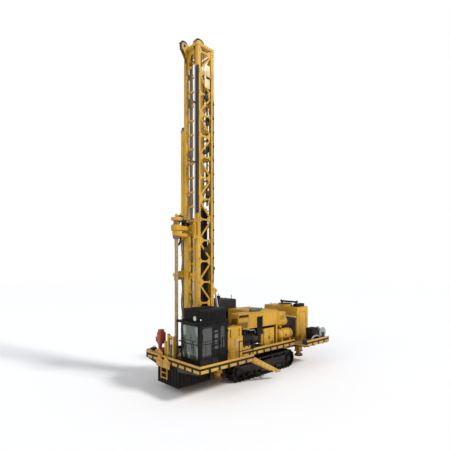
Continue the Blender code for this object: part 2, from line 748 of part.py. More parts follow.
def mast_crown():
    """Head frame of the mast with cheeks for the sheaves."""
    low, half = MAST_TOP + SEAT, CHORD_SIZE / 2
    x0, x1 = FRONT_CHORD_X - half - 0.05, REAR_CHORD_X + half
    y = CHORD_Y + half
    pieces = [box((x0, x1), (-y, y), (low, low + 0.14))]
    slots = []
    for _, sheave_x, sheave_y, radius in SHEAVES:
        z = CROWN_TOP - radius
        half_width = SHEAVE_WIDTH / 2
        outline = ((sheave_x - radius * 0.75, low + 0.02), (x1 - 0.1, low + 0.02),
                   (x1 - 0.35, low + 0.3), (sheave_x + radius * 0.35, z + radius * 0.62),
                   (sheave_x - radius * 0.45, z + radius * 0.62),
                   (sheave_x - radius * 0.75, z))
        for inward in (-1, 1):
            hub = sheave_y + inward * (half_width + SEAT)
            face = hub + inward * 0.006
            back = face + inward * 0.03
            pieces.append(plate(outline, "XZ", min(face, back), max(face, back)))
            pieces.append(rod((sheave_x, hub, z), (sheave_x, back, z), 0.07))
        slots.append(box((sheave_x - radius - 0.03, sheave_x + radius + 0.03),
                         (sheave_y - half_width - 0.005, sheave_y + half_width + 0.005),
                         (low - 0.1, low + 0.2)))
    pieces[0] = cut(pieces[0], *slots)
    node("mast_crown", fuse(*pieces), "yellow_paint", "mast")


def crown_sheaves():
    """Two grooved wheels that turn in the crown."""
    for side, x, y, radius in SHEAVES:
        name = "crown_sheave_" + side
        z = CROWN_TOP - radius
        pivot(name, (x, y, z), "mast")
        half = SHEAVE_WIDTH / 2
        rim = half - 0.012
        groove = radius - 0.05
        profile = ((0.0, half), (0.08, half), (0.09, rim), (radius, rim), (groove, 0.015),
                   (groove, -0.015), (radius, -rim), (0.09, -rim), (0.08, -half), (0.0, -half))
        node(name, turned(profile, (x, y, z), 20, "Y"), "dark_grey_paint", name)


def hose_guide():
    """Trough for the hoses on the far side of the mast."""
    y0 = CHORD_Y + CHORD_SIZE / 2 + SEAT
    x, low, high = FRONT_CHORD_X - 0.03, 9.2, 14.2
    trough = box((x - 0.1, x + 0.1), (y0, y0 + 0.17), (low, high))
    channel = box((x - 0.06, x + 0.06), (y0 + 0.03, y0 + 0.3), (low - 0.1, high + 0.1))
    node("hose_guide", cut(trough, channel), "yellow_paint", "mast")


def mast_cylinders():
    """Barrel and rod of each cylinder that raises the mast."""
    base = Vector(CYLINDER_BASE)
    reach = (Vector(CYLINDER_EYE) - base).length
    for name, side in sides_of("mast_cylinder"):
        y = side * CYLINDER_Y

        def point(distance):
            place = along_cylinder(distance)
            return place.x, y, place.y

        half = EYE_WIDTH / 2
        pivot(name + "_barrel", (base.x, y, base.y))
        barrel = fuse(rod((base.x, y - half, base.y), (base.x, y + half, base.y), EYE_RADIUS, 16),
                      rod(point(0.05), point(0.27), EYE_WIDTH / 2 - 0.005, 12),
                      rod(point(0.22), point(BARREL_LENGTH), BARREL_RADIUS, 16),
                      rod(point(BARREL_LENGTH - 0.12), point(BARREL_LENGTH + 0.01),
                          BARREL_RADIUS + 0.02, 16))
        bore = rod(point(0.27), point(BARREL_LENGTH + 0.2), ROD_RADIUS + SEAT * 1.2, 16)
        node(name + "_barrel", cut(barrel, bore), "yellow_paint", name + "_barrel")
        pivot(name + "_rod", point(reach), name + "_barrel")
        eye = point(reach)
        shaft = fuse(rod((eye[0], y - half, eye[2]), (eye[0], y + half, eye[2]), EYE_RADIUS, 16),
                     rod(point(reach - ROD_LENGTH), point(reach - 0.03), ROD_RADIUS, 16))
        node(name + "_rod", shaft, "chrome_rod", name + "_rod")


def mast_rest():
    """Rest for the lowered mast on top of the cooler."""
    top = PIVOT_Z + (PIVOT_X - REAR_CHORD_X - CHORD_SIZE / 2) - 0.02
    low = DECK_TOP + COOLER_HEIGHT + 2 * SEAT
    x = 4.98
    pieces = [box((x - 0.07, x + 0.07), (-0.74, 0.74), (top - 0.12, top), 0.01, 1)]
    for y in (-0.62, 0.62):
        pieces.append(beam((x, y, low + 0.02), (x, y, top - 0.05), 0.1, 0.1))
        pieces.append(box((x - 0.12, x + 0.12), (y - 0.12, y + 0.12), (low, low + 0.03)))
    node("mast_rest", fuse(*pieces), "dark_grey_paint")


# Rotary head, drill string, steady arm and wrench

def rotary_head():
    """Carriage on the front chords with the gearbox that turns the string."""
    face = FRONT_CHORD_X - CHORD_SIZE / 2 - SEAT
    x0, x1 = CARRIAGE_X
    z0, z1 = CARRIAGE_Z
    pieces = [box((x0 + 0.1, x1), (-CARRIAGE_HALF, CARRIAGE_HALF), (z0 + 0.3, z1 - 0.35))]
    for side in (-1, 1):
        y = side * CHORD_Y
        pieces.append(box((x0 + 0.08, x1 + 0.02), (y - 0.05, y + 0.05), (z0, z1)))
        for z in (z0 + 0.02, z1 - 0.2):
            pieces.append(box((x1 - 0.02, face), (y - 0.07, y + 0.07), (z, z + 0.18)))
    for z, tall in ((8.45, 0.22), (8.12, 0.16)):
        pieces.append(box((DRILL_X, x1 - 0.05), (-0.2, 0.2), (z, z + tall)))
    profile = ((0.0, 9.3), (0.07, 9.3), (0.07, 9.12), (HEAD_RADIUS, 9.1), (HEAD_RADIUS, 8.96),
               (0.15, 8.93), (0.15, 8.74), (HEAD_RADIUS, 8.7), (HEAD_RADIUS, 8.44), (0.22, 8.4),
               (0.22, 8.16), (0.11, 8.08), (0.11, HEAD_BOTTOM), (0.0, HEAD_BOTTOM))
    pieces.append(turned(profile, (DRILL_X, 0, 0), 18))
    node("rotary_head", fuse(*pieces), "yellow_paint", "rotary_head")


def drill_string():
    """Drill pipe with its joints and the roller bit."""
    top = HEAD_BOTTOM - SEAT
    collar = PIPE_RADIUS + 0.012
    low = BIT_BOTTOM
    profile = ((0.0, top), (collar, top), (collar, top - 0.35), (PIPE_RADIUS, top - 0.4),
               (PIPE_RADIUS, low + BIT_HEIGHT + 0.45), (collar, low + BIT_HEIGHT + 0.4),
               (collar, low + BIT_HEIGHT), (BIT_RADIUS, low + BIT_HEIGHT - 0.06),
               (BIT_RADIUS, low + 0.1), (0.06, low), (0.0, low))
    node("drill_pipe", turned(profile, (DRILL_X, 0, 0), 16), "bare_steel", "drill_string")


def jaw_arm(point, reach, low, high, hub, jaw, throat, width):
    """Arm along +X from a hub, with a jaw that opens towards +Y."""
    x, y = point
    hub_piece = rod((x, y, low), (x, y, high), hub, 16)
    bar = box((x, x + reach - throat - 0.02), (y - width / 2, y + width / 2),
              (low + 0.01, high - 0.01))
    ring = rod((x + reach, y, low + 0.005), (x + reach, y, high - 0.005), jaw, 20)
    hole = rod((x + reach, y, low - 0.1), (x + reach, y, high + 0.1), throat, 20)
    mouth = box((x + reach - throat, x + reach + throat), (y, y + jaw + 0.1),
                (low - 0.1, high + 0.1))
    return cut(fuse(hub_piece, bar, ring), hole, mouth)


def steady_arm():
    """Arm that steadies the pipe, parked beside the mast."""
    x, y = STEADY_PIVOT
    reach = math.hypot(x - DRILL_X, y)
    arm = jaw_arm((x, y), reach, STEADY_Z - 0.1, STEADY_Z + 0.1, 0.08, 0.2, 0.13, 0.11)
    turned_about(arm, (x, y, 0), STEADY_PARKED)
    node("steady_arm", arm, "yellow_paint", "steady_arm")


def breakout_wrench():
    """Powered wrench on its post beside the drill table."""
    x, y = WRENCH_PIVOT
    floor = DECK_TOP + SEAT
    low, high = WRENCH_Z
    post = fuse(box((x - 0.16, x + 0.16), (y - 0.16, y + 0.16), (floor, floor + 0.03)),
                rod((x, y, floor + 0.01), (x, y, low - SEAT), 0.09, 16),
                rod((x, y, floor + 0.02), (x, y, high + 0.1), 0.055, 16))
    node("wrench_post", post, "dark_grey_paint")
    reach = math.hypot(x - DRILL_X, y)
    arm = jaw_arm((x, y), reach, 2.3, 2.55, 0.1, 0.21, 0.14, 0.14)
    mirrored_arm = shape_flipped(arm, y)
    sleeve = rod((x, y, low), (x, y, high), 0.1, 16)
    motor = box((x + 0.02, x + 0.5), (y - 0.11, y + 0.11), (2.5, 2.85), 0.03, 1)
    whole = fuse(sleeve, mirrored_arm, motor)
    bore = rod((x, y, low - 0.1), (x, y, high + 0.2), 0.0575, 16)
    whole = cut(whole, bore)
    turned_about(whole, (x, y, 0), WRENCH_PARKED)
    node("breakout_wrench", whole, "red_paint", "breakout_wrench")


def shape_flipped(source, y):
    """Shape flipped across the plane at that Y."""
    maker = bmesh.new()
    maker.from_mesh(source.data)
    for vertex in maker.verts:
        vertex.co.y = 2 * y - vertex.co.y
    bmesh.ops.reverse_faces(maker, faces=maker.faces)
    discard(source)
    return shape(maker)


# Cab

def cab():
    """Hollow cab with its windows cut, its roof unit, panes and seat."""
    floor = DECK_TOP + SEAT
    top = floor + CAB_HEIGHT
    x0, x1 = CAB_X
    y0, y1 = CAB_Y
    wall = CAB_WALL
    sill, head = floor + WINDOW_SILL, floor + WINDOW_HEAD
    body = box(CAB_X, CAB_Y, (floor, top), 0.03, 1)
    room = box((x0 + wall, x1 - wall), (y0 + wall, y1 - wall), (floor + wall, top - wall))
    openings = {
        # name: x, y, z of the cut
        "windscreen": ((x0 - 0.1, x0 + wall + 0.02), (y0 + 0.12, y1 - 0.1), (sill - 0.08, head)),
        "side": ((-4.94, -4.22), (y0 - 0.1, y0 + wall + 0.02), (sill, head - 0.08)),
        "door": (DOOR_X, (y0 - 0.1, y0 + wall + 0.02), (floor + DOOR_Z[0], floor + DOOR_Z[1])),
        "drill": ((-4.9, -3.8), (y1 - wall - 0.02, y1 + 0.1), (sill, head - 0.08)),
        "rear": ((x1 - wall - 0.02, x1 + 0.1), (y0 + 0.4, y1 - 0.25), (sill + 0.5, head - 0.08)),
    }
    shell = cut(body, room, *[box(*ranges) for ranges in openings.values()])
    hinge_x = DOOR_X[1] + 0.05
    hinge_y = y0 - KNUCKLE - 0.004
    hinges = [shell]
    for z in (floor + height for height in HINGE_HEIGHTS):
        hinges.append(rod((hinge_x, hinge_y, z), (hinge_x, hinge_y, z + 0.07), KNUCKLE))
        hinges.append(box((hinge_x - 0.012, hinge_x + 0.06), (hinge_y, y0 + 0.01), (z + 0.005, z + 0.065)))
    node("cab_shell", fuse(*hinges), "black_paint")
    panes = (
        # name, opening, axis across the pane, middle of the wall
        ("cab_windscreen", "windscreen", 0, x0 + wall / 2),
        ("cab_side_window", "side", 1, y0 + wall / 2),
        ("cab_drill_window", "drill", 1, y1 - wall / 2),
        ("cab_rear_window", "rear", 0, x1 - wall / 2),
    )
    for name, opening, axis, middle in panes:
        ranges = [(low + SEAT, high - SEAT) for low, high in openings[opening]]
        ranges[axis] = (middle - GLASS / 2, middle + GLASS / 2)
        node(name, box(*ranges), "cab_glass")
    roof = fuse(box((x0 + 0.1, x1 - 0.05), (y0 + 0.08, y1 - 0.05),
                    (top + SEAT, top + ROOF_UNIT_HEIGHT), 0.06, 2),
                box((x0 - 0.28, x1 + 0.02), (y0 - 0.04, y1 + 0.02), (top + SEAT, top + 0.1), 0.02, 1))
    node("cab_roof_unit", roof, "black_paint")
    low = floor + wall + SEAT
    seat = fuse(box((-4.25, -3.65), (-1.75, -1.2), (low + 0.3, low + 0.48), 0.04, 2),
                box((-3.78, -3.62), (-1.73, -1.22), (low + 0.4, low + 1.15), 0.05, 2),
                box((-4.08, -3.75), (-1.62, -1.33), (low, low + 0.35)))
    node("operator_seat", seat, "seat_cloth")


def cab_door():
    """Door leaf with its hinges and its pane."""
    floor = DECK_TOP + SEAT
    y0 = CAB_Y[0]
    x0, x1 = DOOR_X[0] + DOOR_GAP, DOOR_X[1] - DOOR_GAP
    z0, z1 = floor + DOOR_Z[0] + DOOR_GAP, floor + DOOR_Z[1] - DOOR_GAP
    hinge_x = DOOR_X[1] + 0.05
    hinge_y = y0 - KNUCKLE - 0.004
    y = (y0 - 0.003, y0 - 0.003 + DOOR_THICKNESS)
    pieces = [box((x0, x1), y, (z0, z1))]
    for z in (floor + height + 0.07 + SEAT for height in HINGE_HEIGHTS):
        pieces.append(rod((hinge_x, hinge_y, z), (hinge_x, hinge_y, z + 0.07), KNUCKLE))
        pieces.append(box((x1 - 0.07, hinge_x), (hinge_y - 0.006, y0 + 0.0015 - 0.0035),
                          (z + 0.005, z + 0.065)))
    pieces.append(box((x0 + 0.03, x0 + 0.06), (y0 - 0.05, y0 + 0.01), (floor + 0.95, floor + 1.15)))
    pane = ((x0 + 0.07, x1 - 0.09), (y[0] - 0.05, y[1] + 0.05), (floor + 0.75, z1 - 0.1))
    node("cab_door", cut(fuse(*pieces), box(*pane)), "black_paint", "cab_door")
    ranges = [(low + SEAT, high - SEAT) for low, high in pane]
    middle = sum(y) / 2
    ranges[1] = (middle - GLASS / 2, middle + GLASS / 2)
    node("door_window", box(*ranges), "cab_glass", "cab_door")


# Stairs and handrails

def boarding_stairs():
    """Stairs that hang on the platform's rear edge and fold up."""
    (xt, zt), (xf, zf) = STAIR_TOP, STAIR_FOOT
    y0, y1 = STAIR_Y
    thick = STRINGER_THICKNESS
    pieces = []
    for y in (y0 + thick / 2, y1 - thick / 2):
        outline = ((xt - 0.02, zt - 0.1), (xf - 0.2, zf), (xf + 0.15, zf), (xf + 0.13, zf + 0.06),
                   (xt + 0.1, zt + 0.13), (xt - 0.02, zt + 0.08))
        pieces.append(plate(outline, "XZ", y - thick / 2, y + thick / 2))
    for index in range(1, TREAD_COUNT + 1):
        share = index / (TREAD_COUNT + 1)
        x = xt + (xf - xt) * share
        z = zt + (zf - zt) * share
        pieces.append(box((x - 0.12, x + 0.12), (y0 + 0.01, y1 - 0.01), (z - 0.02, z + 0.02)))
    pieces.append(rod((xt, y0 + 0.01, zt), (xt, y1 - 0.01, zt), 0.035))
    node("boarding_stairs", fuse(*pieces), "yellow_paint", "boarding_stairs")


def rail(name, runs, finish="yellow_paint"):
    """Handrail over the deck: each run is a list of posts, joined by two rails."""
    floor = DECK_TOP + SEAT
    pieces = []
    for run in runs:
        for x, y in run:
            pieces.append(beam((x, y, floor), (x, y, floor + RAIL_HEIGHT), RAIL_SIZE, RAIL_SIZE))
        corners = [run[0]] + [here for before, here, after in zip(run, run[1:], run[2:])
                              if (here[0] - before[0]) * (after[1] - here[1])
                              != (here[1] - before[1]) * (after[0] - here[0])] + [run[-1]]
        size = RAIL_SIZE * 0.9
        for height in (RAIL_HEIGHT * 0.52, RAIL_HEIGHT - RAIL_SIZE / 2):
            for (xa, ya), (xb, yb) in zip(corners, corners[1:]):
                a, b = Vector((xa, ya, floor + height)), Vector((xb, yb, floor + height))
                reach = (b - a).normalized() * size * 0.4
                pieces.append(beam(a - reach, b + reach, size, size, (0, 0, 1)))
    node(name, fuse(*pieces), finish)


def handrails():
    """Rails round the platforms."""
    near, far = -SIDE + RAIL_INSET, SIDE - RAIL_INSET
    back = REAR - RAIL_INSET
    edge = FAR_DRILL_END_Y - RAIL_INSET
    rail("rail_cab_side", (((-3.0, near), (CAB_PLATFORM_END - 0.06, near)),), "black_paint")
    rail("rail_far_side", (((-3.2, edge), (COLLECTOR_PLATFORM[0] - 0.2, edge)),), "black_paint")
    rail("rail_rear", (((back, -0.95), (back, 0.95), (back, far), (4.3, far),
                        (REAR_PLATFORM_START + 0.06, far)),), "black_paint")


# Machinery on the deck

def hydraulic_tank():
    """Oil tank behind the cab, on its plinth."""
    floor = DECK_TOP + SEAT
    tank = fuse(box((-2.97, -1.86), (-1.96, -1.02), (floor, floor + 0.55), 0.02, 1),
                box((-3.0, -1.85), (-1.98, -1.0), (floor + 0.45, floor + 1.13), 0.05, 2),
                box((-2.96, -1.89), (-1.94, -1.04), (floor + 1.05, floor + 1.65), 0.06, 2))
    node("hydraulic_tank", tank, "yellow_paint")
    node("tool_box", box((-1.8, -1.15), (-1.88, -1.66), (floor, floor + 0.6)), "yellow_paint")


def engine_bay():
    """Roof box of the engine bay on its posts, with engine and compressor below."""
    floor = DECK_TOP + SEAT
    low, high = floor + BAY_LOW, floor + BAY_HIGH
    pieces = [box((BAY_X[0], BAY_MIDDLE + 0.05), (-1.6, -0.97), (low, high), 0.05, 2),
              box((BAY_MIDDLE, BAY_X[1]), (-1.6, 0.98), (low - 0.01, high - 0.01), 0.05, 2)]
    for x, y in ((-1.72, -1.53), (-1.72, -1.05), (0.2, -1.53), (1.6, -1.53), (1.6, 0.9), (-0.1, 0.9)):
        pieces.append(box((x - 0.05, x + 0.05), (y - 0.05, y + 0.05), (floor, low + 0.1)))
    node("engine_bay_roof", fuse(*pieces), "yellow_paint")
    node("engine_block", box(ENGINE_X, (-0.75, 0.7), (floor, floor + 1.2), 0.04, 1),
         "cast_steel")
    compressor = fuse(box((-1.45, 0.0), (-1.5, -1.0), (floor, floor + 0.35), 0.02, 1),
                      rod((-1.4, -1.25, floor + 0.72), (-0.55, -1.25, floor + 0.72), 0.25, 20),
                      rod((-0.62, -1.25, floor + 0.66), (-0.05, -1.25, floor + 0.66), 0.3, 20),
                      box((-1.2, -0.75), (-1.45, -1.05), (floor + 0.3, floor + 0.6)),
                      box((-0.45, -0.2), (-1.4, -1.1), (floor + 0.3, floor + 0.5)),
                      rod((-1.0, -1.25, floor + 0.8), (-1.0, -1.25, floor + 1.25), 0.09, 12))
    node("air_compressor", compressor, "dark_grey_paint")
    node("control_cabinet", box((0.34, 1.34), (-1.58, -1.0), (floor, floor + 1.2), 0.03, 2),
         "yellow_paint")


def air_receiver():
    """Horizontal air tank with domed ends on two saddles, and the air cleaner above."""
    floor = DECK_TOP + SEAT
    radius, (x0, x1), y, z = RECEIVER_RADIUS, RECEIVER_X, RECEIVER_Y, floor + 0.62
    dome = 0.16
    profile = [(0.0, x1)]
    for step in range(1, 5):
        angle = step * math.pi / 8
        profile.append((radius * math.sin(angle), x1 - dome * (1 - math.cos(angle))))
    tail = [(r, x0 + x1 - h) for r, h in reversed(profile)]
    tank = turned(profile + tail, (0, y, z), 18, "X")
    pieces = [tank]
    for x in (2.05, 2.85):
        pieces.append(box((x - 0.06, x + 0.06), (y - 0.25, y + 0.25), (floor, z - 0.25)))
        pieces.append(rod((x - 0.03, y, z), (x + 0.03, y, z), radius + 0.015, 18))
    node("air_receiver", fuse(*pieces), "yellow_paint")
    cleaner = fuse(rod((1.82, -1.25, floor + 1.4), (2.75, -1.25, floor + 1.4), 0.28, 20),
                   box((2.2, 2.35), (-1.35, -0.9), (floor + 1.02, floor + 1.3)),
                   box((2.2, 2.35), (-1.0, -0.88), (floor, floor + 1.3)))
    node("air_cleaner", cleaner, "yellow_paint")


def cooler():
    """Cooler with end columns, core and a fan ring on top."""
    floor = DECK_TOP + SEAT
    top = floor + COOLER_HEIGHT
    (x0, x1), y = COOLER_X, COOLER_Y
    ring_x, radius = COOLER_FAN_X, COOLER_FAN_RADIUS
    core = box((x0 + 0.1, x1 - 0.1), (-y + 0.08, y - 0.08), (floor + 0.12, top - 0.3))
    pieces = [core, box((x0, x1), (-y, y), (top - 0.35, top), 0.02, 1),
              box((x0, x1), (-y, y), (floor, floor + 0.16))]
    for x in (x0, x1 - 0.2):
        pieces.append(box((x, x + 0.2), (-y, y), (floor + 0.1, top - 0.1)))
    shroud = rod((ring_x, 0, top - 0.05), (ring_x, 0, top + 0.12), radius + 0.03, 28)
    well = rod((ring_x, 0, top - 0.15), (ring_x, 0, top + 0.3), radius, 28)
    whole = cut(fuse(*pieces, shroud), well)
    spindle = rod((ring_x, 0, top - 0.2), (ring_x, 0, top - 0.06), 0.09, 12)
    node("cooler", fuse(whole, spindle), "yellow_paint")
    pivot("cooler_fan", (ring_x, 0, top))
    low = top - 0.06 + SEAT
    pieces = [rod((ring_x, 0, low), (ring_x, 0, low + 0.12), 0.12, 16)]
    for index in range(6):
        angle = index * math.pi / 3
        tip = radius - 0.04
        blade = box((ring_x + 0.08, ring_x + tip), (-0.1, 0.1), (low + 0.05, low + 0.065))
        turned_about(blade, (ring_x, 0, low + 0.06), math.radians(22), "X")
        turned_about(blade, (ring_x, 0, 0), angle)
        pieces.append(blade)
    node("cooler_fan", fuse(*pieces), "black_paint", "cooler_fan")


def dust_collector():
    """Ribbed filter house on the far platform, with its hopper."""
    floor = DECK_TOP + SEAT
    x0, x1, y0, y1 = -0.8, 0.8, 1.2, 2.7
    low, top = floor + 1.0, floor + 2.75
    house = box((x0, x1), (y0, y1), (low, top), 0.03, 1)
    pieces = [house, box((x0 - 0.04, x1 + 0.04), (y0 - 0.04, y1 + 0.04), (top - 0.6, top - 0.52))]
    for x in (x0 + 0.03, x1 - 0.11):
        for y in (y0 + 0.03, y1 - 0.11):
            pieces.append(box((x, x + 0.08), (y, y + 0.08), (floor, low + 0.05)))
    hopper = rod((0, 1.95, floor + 0.25), (0, 1.95, low + 0.03), 0.22, 4, 0.98)
    turned_about(hopper, (0, 1.95, 0), math.pi / 4)
    pieces.append(hopper)
    for index in range(7):
        x = x0 + 0.18 + index * 0.2
        pieces.append(box((x - 0.02, x + 0.02), (y0 - 0.03, y1 + 0.03), (low + 0.06, top - 0.62)))
    pieces.append(rod((x0 + 0.3, 1.6, top - 0.02), (x0 + 0.3, 1.6, top + 0.3), 0.16, 16))
    node("dust_collector", fuse(*pieces), "dark_grey_paint")


def rear_platform():
    """Battery box, and the hose reel on its stand."""
    floor = DECK_TOP + SEAT
    node("battery_box", box((4.0, 4.72), (-2.62, -2.1), (floor, floor + 0.86), 0.03, 2),
         "black_paint")
    (x, y), z = REEL[:2], floor + REEL[2]
    half, post = 0.24, 0.03
    pieces = [box((x - 0.3, x + 0.3), (y - half - 0.05, y + half + 0.05), (floor, floor + 0.04))]
    for side in (-1, 1):
        inner = y + side * (half + SEAT)
        outer = inner + side * post
        pieces.append(box((x - 0.05, x + 0.05), (min(inner, outer), max(inner, outer)),
                          (floor + 0.02, z + 0.05)))
    node("reel_stand", fuse(*pieces), "dark_grey_paint")
    pivot("hose_reel", (x, y, z))
    rim = half - 0.03
    profile = ((0.0, half), (0.06, half), (0.06, rim), (0.38, rim), (0.38, rim - 0.02),
               (0.24, rim - 0.02), (0.24, 0.02 - rim), (0.38, 0.02 - rim), (0.38, -rim),
               (0.06, -rim), (0.06, -half), (0.0, -half))
    node("hose_reel", turned(profile, (x, y, z), 20, "Y"), "bare_steel", "hose_reel")


pivot("mast", (PIVOT_X, 0, PIVOT_Z))
pivot("rotary_head", (DRILL_X, 0, HEAD_BOTTOM), "mast")
pivot("drill_string", (DRILL_X, 0, HEAD_BOTTOM), "rotary_head")
pivot("steady_arm", (*STEADY_PIVOT, STEADY_Z), "mast")
pivot("breakout_wrench", (*WRENCH_PIVOT, WRENCH_Z[0]))
pivot("cab_door", (DOOR_X[1] + 0.05, CAB_Y[0] - KNUCKLE - 0.004, DECK_TOP))
pivot("boarding_stairs", (STAIR_TOP[0], 0, STAIR_TOP[1]))

undercarriage()
main_frame()
jacks()
deck()
dust_curtain()
step_frame()
mast_tower()
mast_frame()
mast_crown()
crown_sheaves()
hose_guide()
mast_cylinders()
mast_rest()
rotary_head()
drill_string()
steady_arm()
breakout_wrench()
cab()
cab_door()
boarding_stairs()
handrails()
hydraulic_tank()
engine_bay()
air_receiver()
cooler()
dust_collector()
rear_platform()

discard(*SHAPES.objects)
bpy.data.collections.remove(SHAPES)
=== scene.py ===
"""Looks of a tracked rotary drilling rig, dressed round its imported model.

Metres, +Z up, ground at Z 0. The drill end is at -X and the cab is on the
-Y side, which is called near.
"""
from __future__ import annotations

import json
import logging
import math
from dataclasses import dataclass, field
from enum import Enum
from typing import Iterable, Sequence

import bmesh
import bpy
from mathutils import Matrix, Vector

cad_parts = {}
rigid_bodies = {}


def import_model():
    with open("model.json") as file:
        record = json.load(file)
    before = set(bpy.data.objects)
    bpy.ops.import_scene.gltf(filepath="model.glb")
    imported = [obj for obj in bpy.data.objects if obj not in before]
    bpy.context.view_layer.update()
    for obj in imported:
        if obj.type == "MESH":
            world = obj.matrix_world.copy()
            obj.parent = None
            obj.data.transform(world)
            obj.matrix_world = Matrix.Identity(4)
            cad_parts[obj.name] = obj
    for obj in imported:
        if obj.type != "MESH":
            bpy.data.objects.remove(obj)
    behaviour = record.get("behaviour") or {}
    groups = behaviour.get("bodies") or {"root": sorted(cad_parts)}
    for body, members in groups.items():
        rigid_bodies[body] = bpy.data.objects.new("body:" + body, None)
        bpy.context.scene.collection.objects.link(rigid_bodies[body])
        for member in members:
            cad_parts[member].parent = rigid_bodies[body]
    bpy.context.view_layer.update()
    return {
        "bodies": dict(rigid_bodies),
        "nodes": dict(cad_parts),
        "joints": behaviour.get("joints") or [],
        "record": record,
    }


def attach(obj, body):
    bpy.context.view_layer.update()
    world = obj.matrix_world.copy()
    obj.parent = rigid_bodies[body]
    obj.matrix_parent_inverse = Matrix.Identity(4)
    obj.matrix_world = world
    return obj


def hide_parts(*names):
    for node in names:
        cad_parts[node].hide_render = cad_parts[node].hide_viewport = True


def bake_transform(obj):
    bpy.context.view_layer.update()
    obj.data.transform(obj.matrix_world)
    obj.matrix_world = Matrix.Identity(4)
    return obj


LOG = logging.getLogger("drilling_rig")
Point = tuple[float, float, float]
Flat = tuple[float, float]

DECK_TOP = 1.58


class Way(Enum):
    """Main directions of the rig."""

    REARWARD = (1.0, 0.0, 0.0)
    FORWARD = (-1.0, 0.0, 0.0)
    FAR = (0.0, 1.0, 0.0)
    NEAR = (0.0, -1.0, 0.0)
    UP = (0.0, 0.0, 1.0)
    DOWN = (0.0, 0.0, -1.0)

    @property
    def vector(self) -> Vector:
        """Direction as a vector."""
        return Vector(self.value)

    @classmethod
    def out(cls, side: int) -> Way:
        """Way outwards on the near side (-1) or the far side (1)."""
        return cls.NEAR if side < 0 else cls.FAR


class Plane(Enum):
    """Plane in which a flat outline is drawn."""

    SIDE = ((1, 0, 0), (0, 0, 1))
    END = ((0, 1, 0), (0, 0, 1))


# Shader maths


class Value:
    """Output of a shader node that can be used in Python expressions."""

    def __init__(self, tree: ShaderTree, socket: bpy.types.NodeSocket) -> None:
        """Keep the socket and the tree that it belongs to."""
        self.tree = tree
        self.socket = socket

    def _maths(self, operation: str, first: Value | float, second: Value | float) -> Value:
        """Add one Math node.

        Args:
            operation: Blender's name of the operation.
            first: First operand.
            second: Second operand.

        Returns:
            The result of the node.
        """
        made = self.tree.node("ShaderNodeMath", {0: first, 1: second}, operation=operation)
        return Value(self.tree, made.outputs[0])

    def __add__(self, other: Value | float) -> Value:
        """Sum."""
        return self._maths("ADD", self, other)

    __radd__ = __add__

    def __sub__(self, other: Value | float) -> Value:
        """Difference."""
        return self._maths("SUBTRACT", self, other)

    def __rsub__(self, other: Value | float) -> Value:
        """Difference from a number."""
        return self._maths("SUBTRACT", other, self)

    def __mul__(self, other: Value | float) -> Value:
        """Product."""
        return self._maths("MULTIPLY", self, other)

    __rmul__ = __mul__

    def between(self, low: float, high: float) -> Value:
        """Ramp from 0 at low to 1 at high, clamped and smooth."""
        made = self.tree.node("ShaderNodeMapRange", {"Value": self, "From Min": low, "From Max": high},
                              interpolation_type="SMOOTHSTEP")
        return Value(self.tree, made.outputs[0])


class ShaderTree:
    """Node tree of one material, with short calls for its nodes."""

    def __init__(self, name: str) -> None:
        """Make an empty material with a Principled shader."""
        self.material = bpy.data.materials.new(name)
        self.material.use_nodes = True
        self.nodes = self.material.node_tree.nodes
        self.links = self.material.node_tree.links
        self.shader = self.nodes["Principled BSDF"]
        self.place = Value(self, self.node("ShaderNodeTexCoord").outputs["Object"])

    def node(self, kind: str, inputs: dict[int | str, object] | None = None,
             **settings: object) -> bpy.types.ShaderNode:
        """Add a node.

        Args:
            kind: Blender's type of the node.
            inputs: Values or links of its sockets, by name or index.
            **settings: Properties of the node, which are set first.

        Returns:
            The new node.
        """
        made = self.nodes.new(kind)
        for key, setting in settings.items():
            setattr(made, key, setting)
        for key, wanted in (inputs or {}).items():
            if isinstance(wanted, Value):
                self.links.new(wanted.socket, made.inputs[key])
            else:
                made.inputs[key].default_value = wanted
        return made

    def stretched(self, scale: Point, turn: Point = (0.0, 0.0, 0.0)) -> Value:
        """Object coordinates, scaled and turned."""
        made = self.node("ShaderNodeMapping", {"Vector": self.place, "Scale": scale, "Rotation": turn})
        return Value(self, made.outputs[0])

    def noise(self, scale: float, detail: float = 3.0, place: Value | None = None,
              roughness: float = 0.55) -> Value:
        """Noise from 0 to 1."""
        made = self.node("ShaderNodeTexNoise", {"Vector": place or self.place, "Scale": scale,
                                                "Detail": detail, "Roughness": roughness})
        return Value(self, made.outputs["Fac"])

    def axis(self, name: str) -> Value:
        """One coordinate of the point, in metres."""
        made = self.node("ShaderNodeSeparateXYZ", {0: self.place})
        return Value(self, made.outputs[name])

    def mix(self, share: Value | float, first: Value | Sequence[float],
            second: Value | Sequence[float]) -> Value:
        """Mix of two colours.

        Args:
            share: 0 for the first colour and 1 for the second.
            first: Colour at 0.
            second: Colour at 1.

        Returns:
            The mixed colour.
        """
        whole = [part if isinstance(part, Value) else (*part, 1.0) for part in (first, second)]
        made = self.node("ShaderNodeMix", {0: share, 6: whole[0], 7: whole[1]}, data_type="RGBA")
        return Value(self, made.outputs[2])

    def constant(self, **sockets: float | Sequence[float]) -> None:
        """Set numbers and colours that are the same all over the surface."""
        for name, wanted in sockets.items():
            self.shader.inputs[name.replace("_", " ")].default_value = wanted

    def vary(self, name: str, value: Value) -> None:
        """Link what changes over the surface to the shader."""
        self.links.new(value.socket, self.shader.inputs[name])

    def relief(self, height: Value, strength: float, depth: float) -> None:
        """Bump from a height."""
        made = self.node("ShaderNodeBump", {"Height": height, "Strength": strength, "Distance": depth})
        self.vary("Normal", Value(self, made.outputs[0]))


# Finishes

DUST = (0.36, 0.27, 0.18)
RUST = (0.16, 0.055, 0.02)
GRIME = (0.035, 0.026, 0.018)


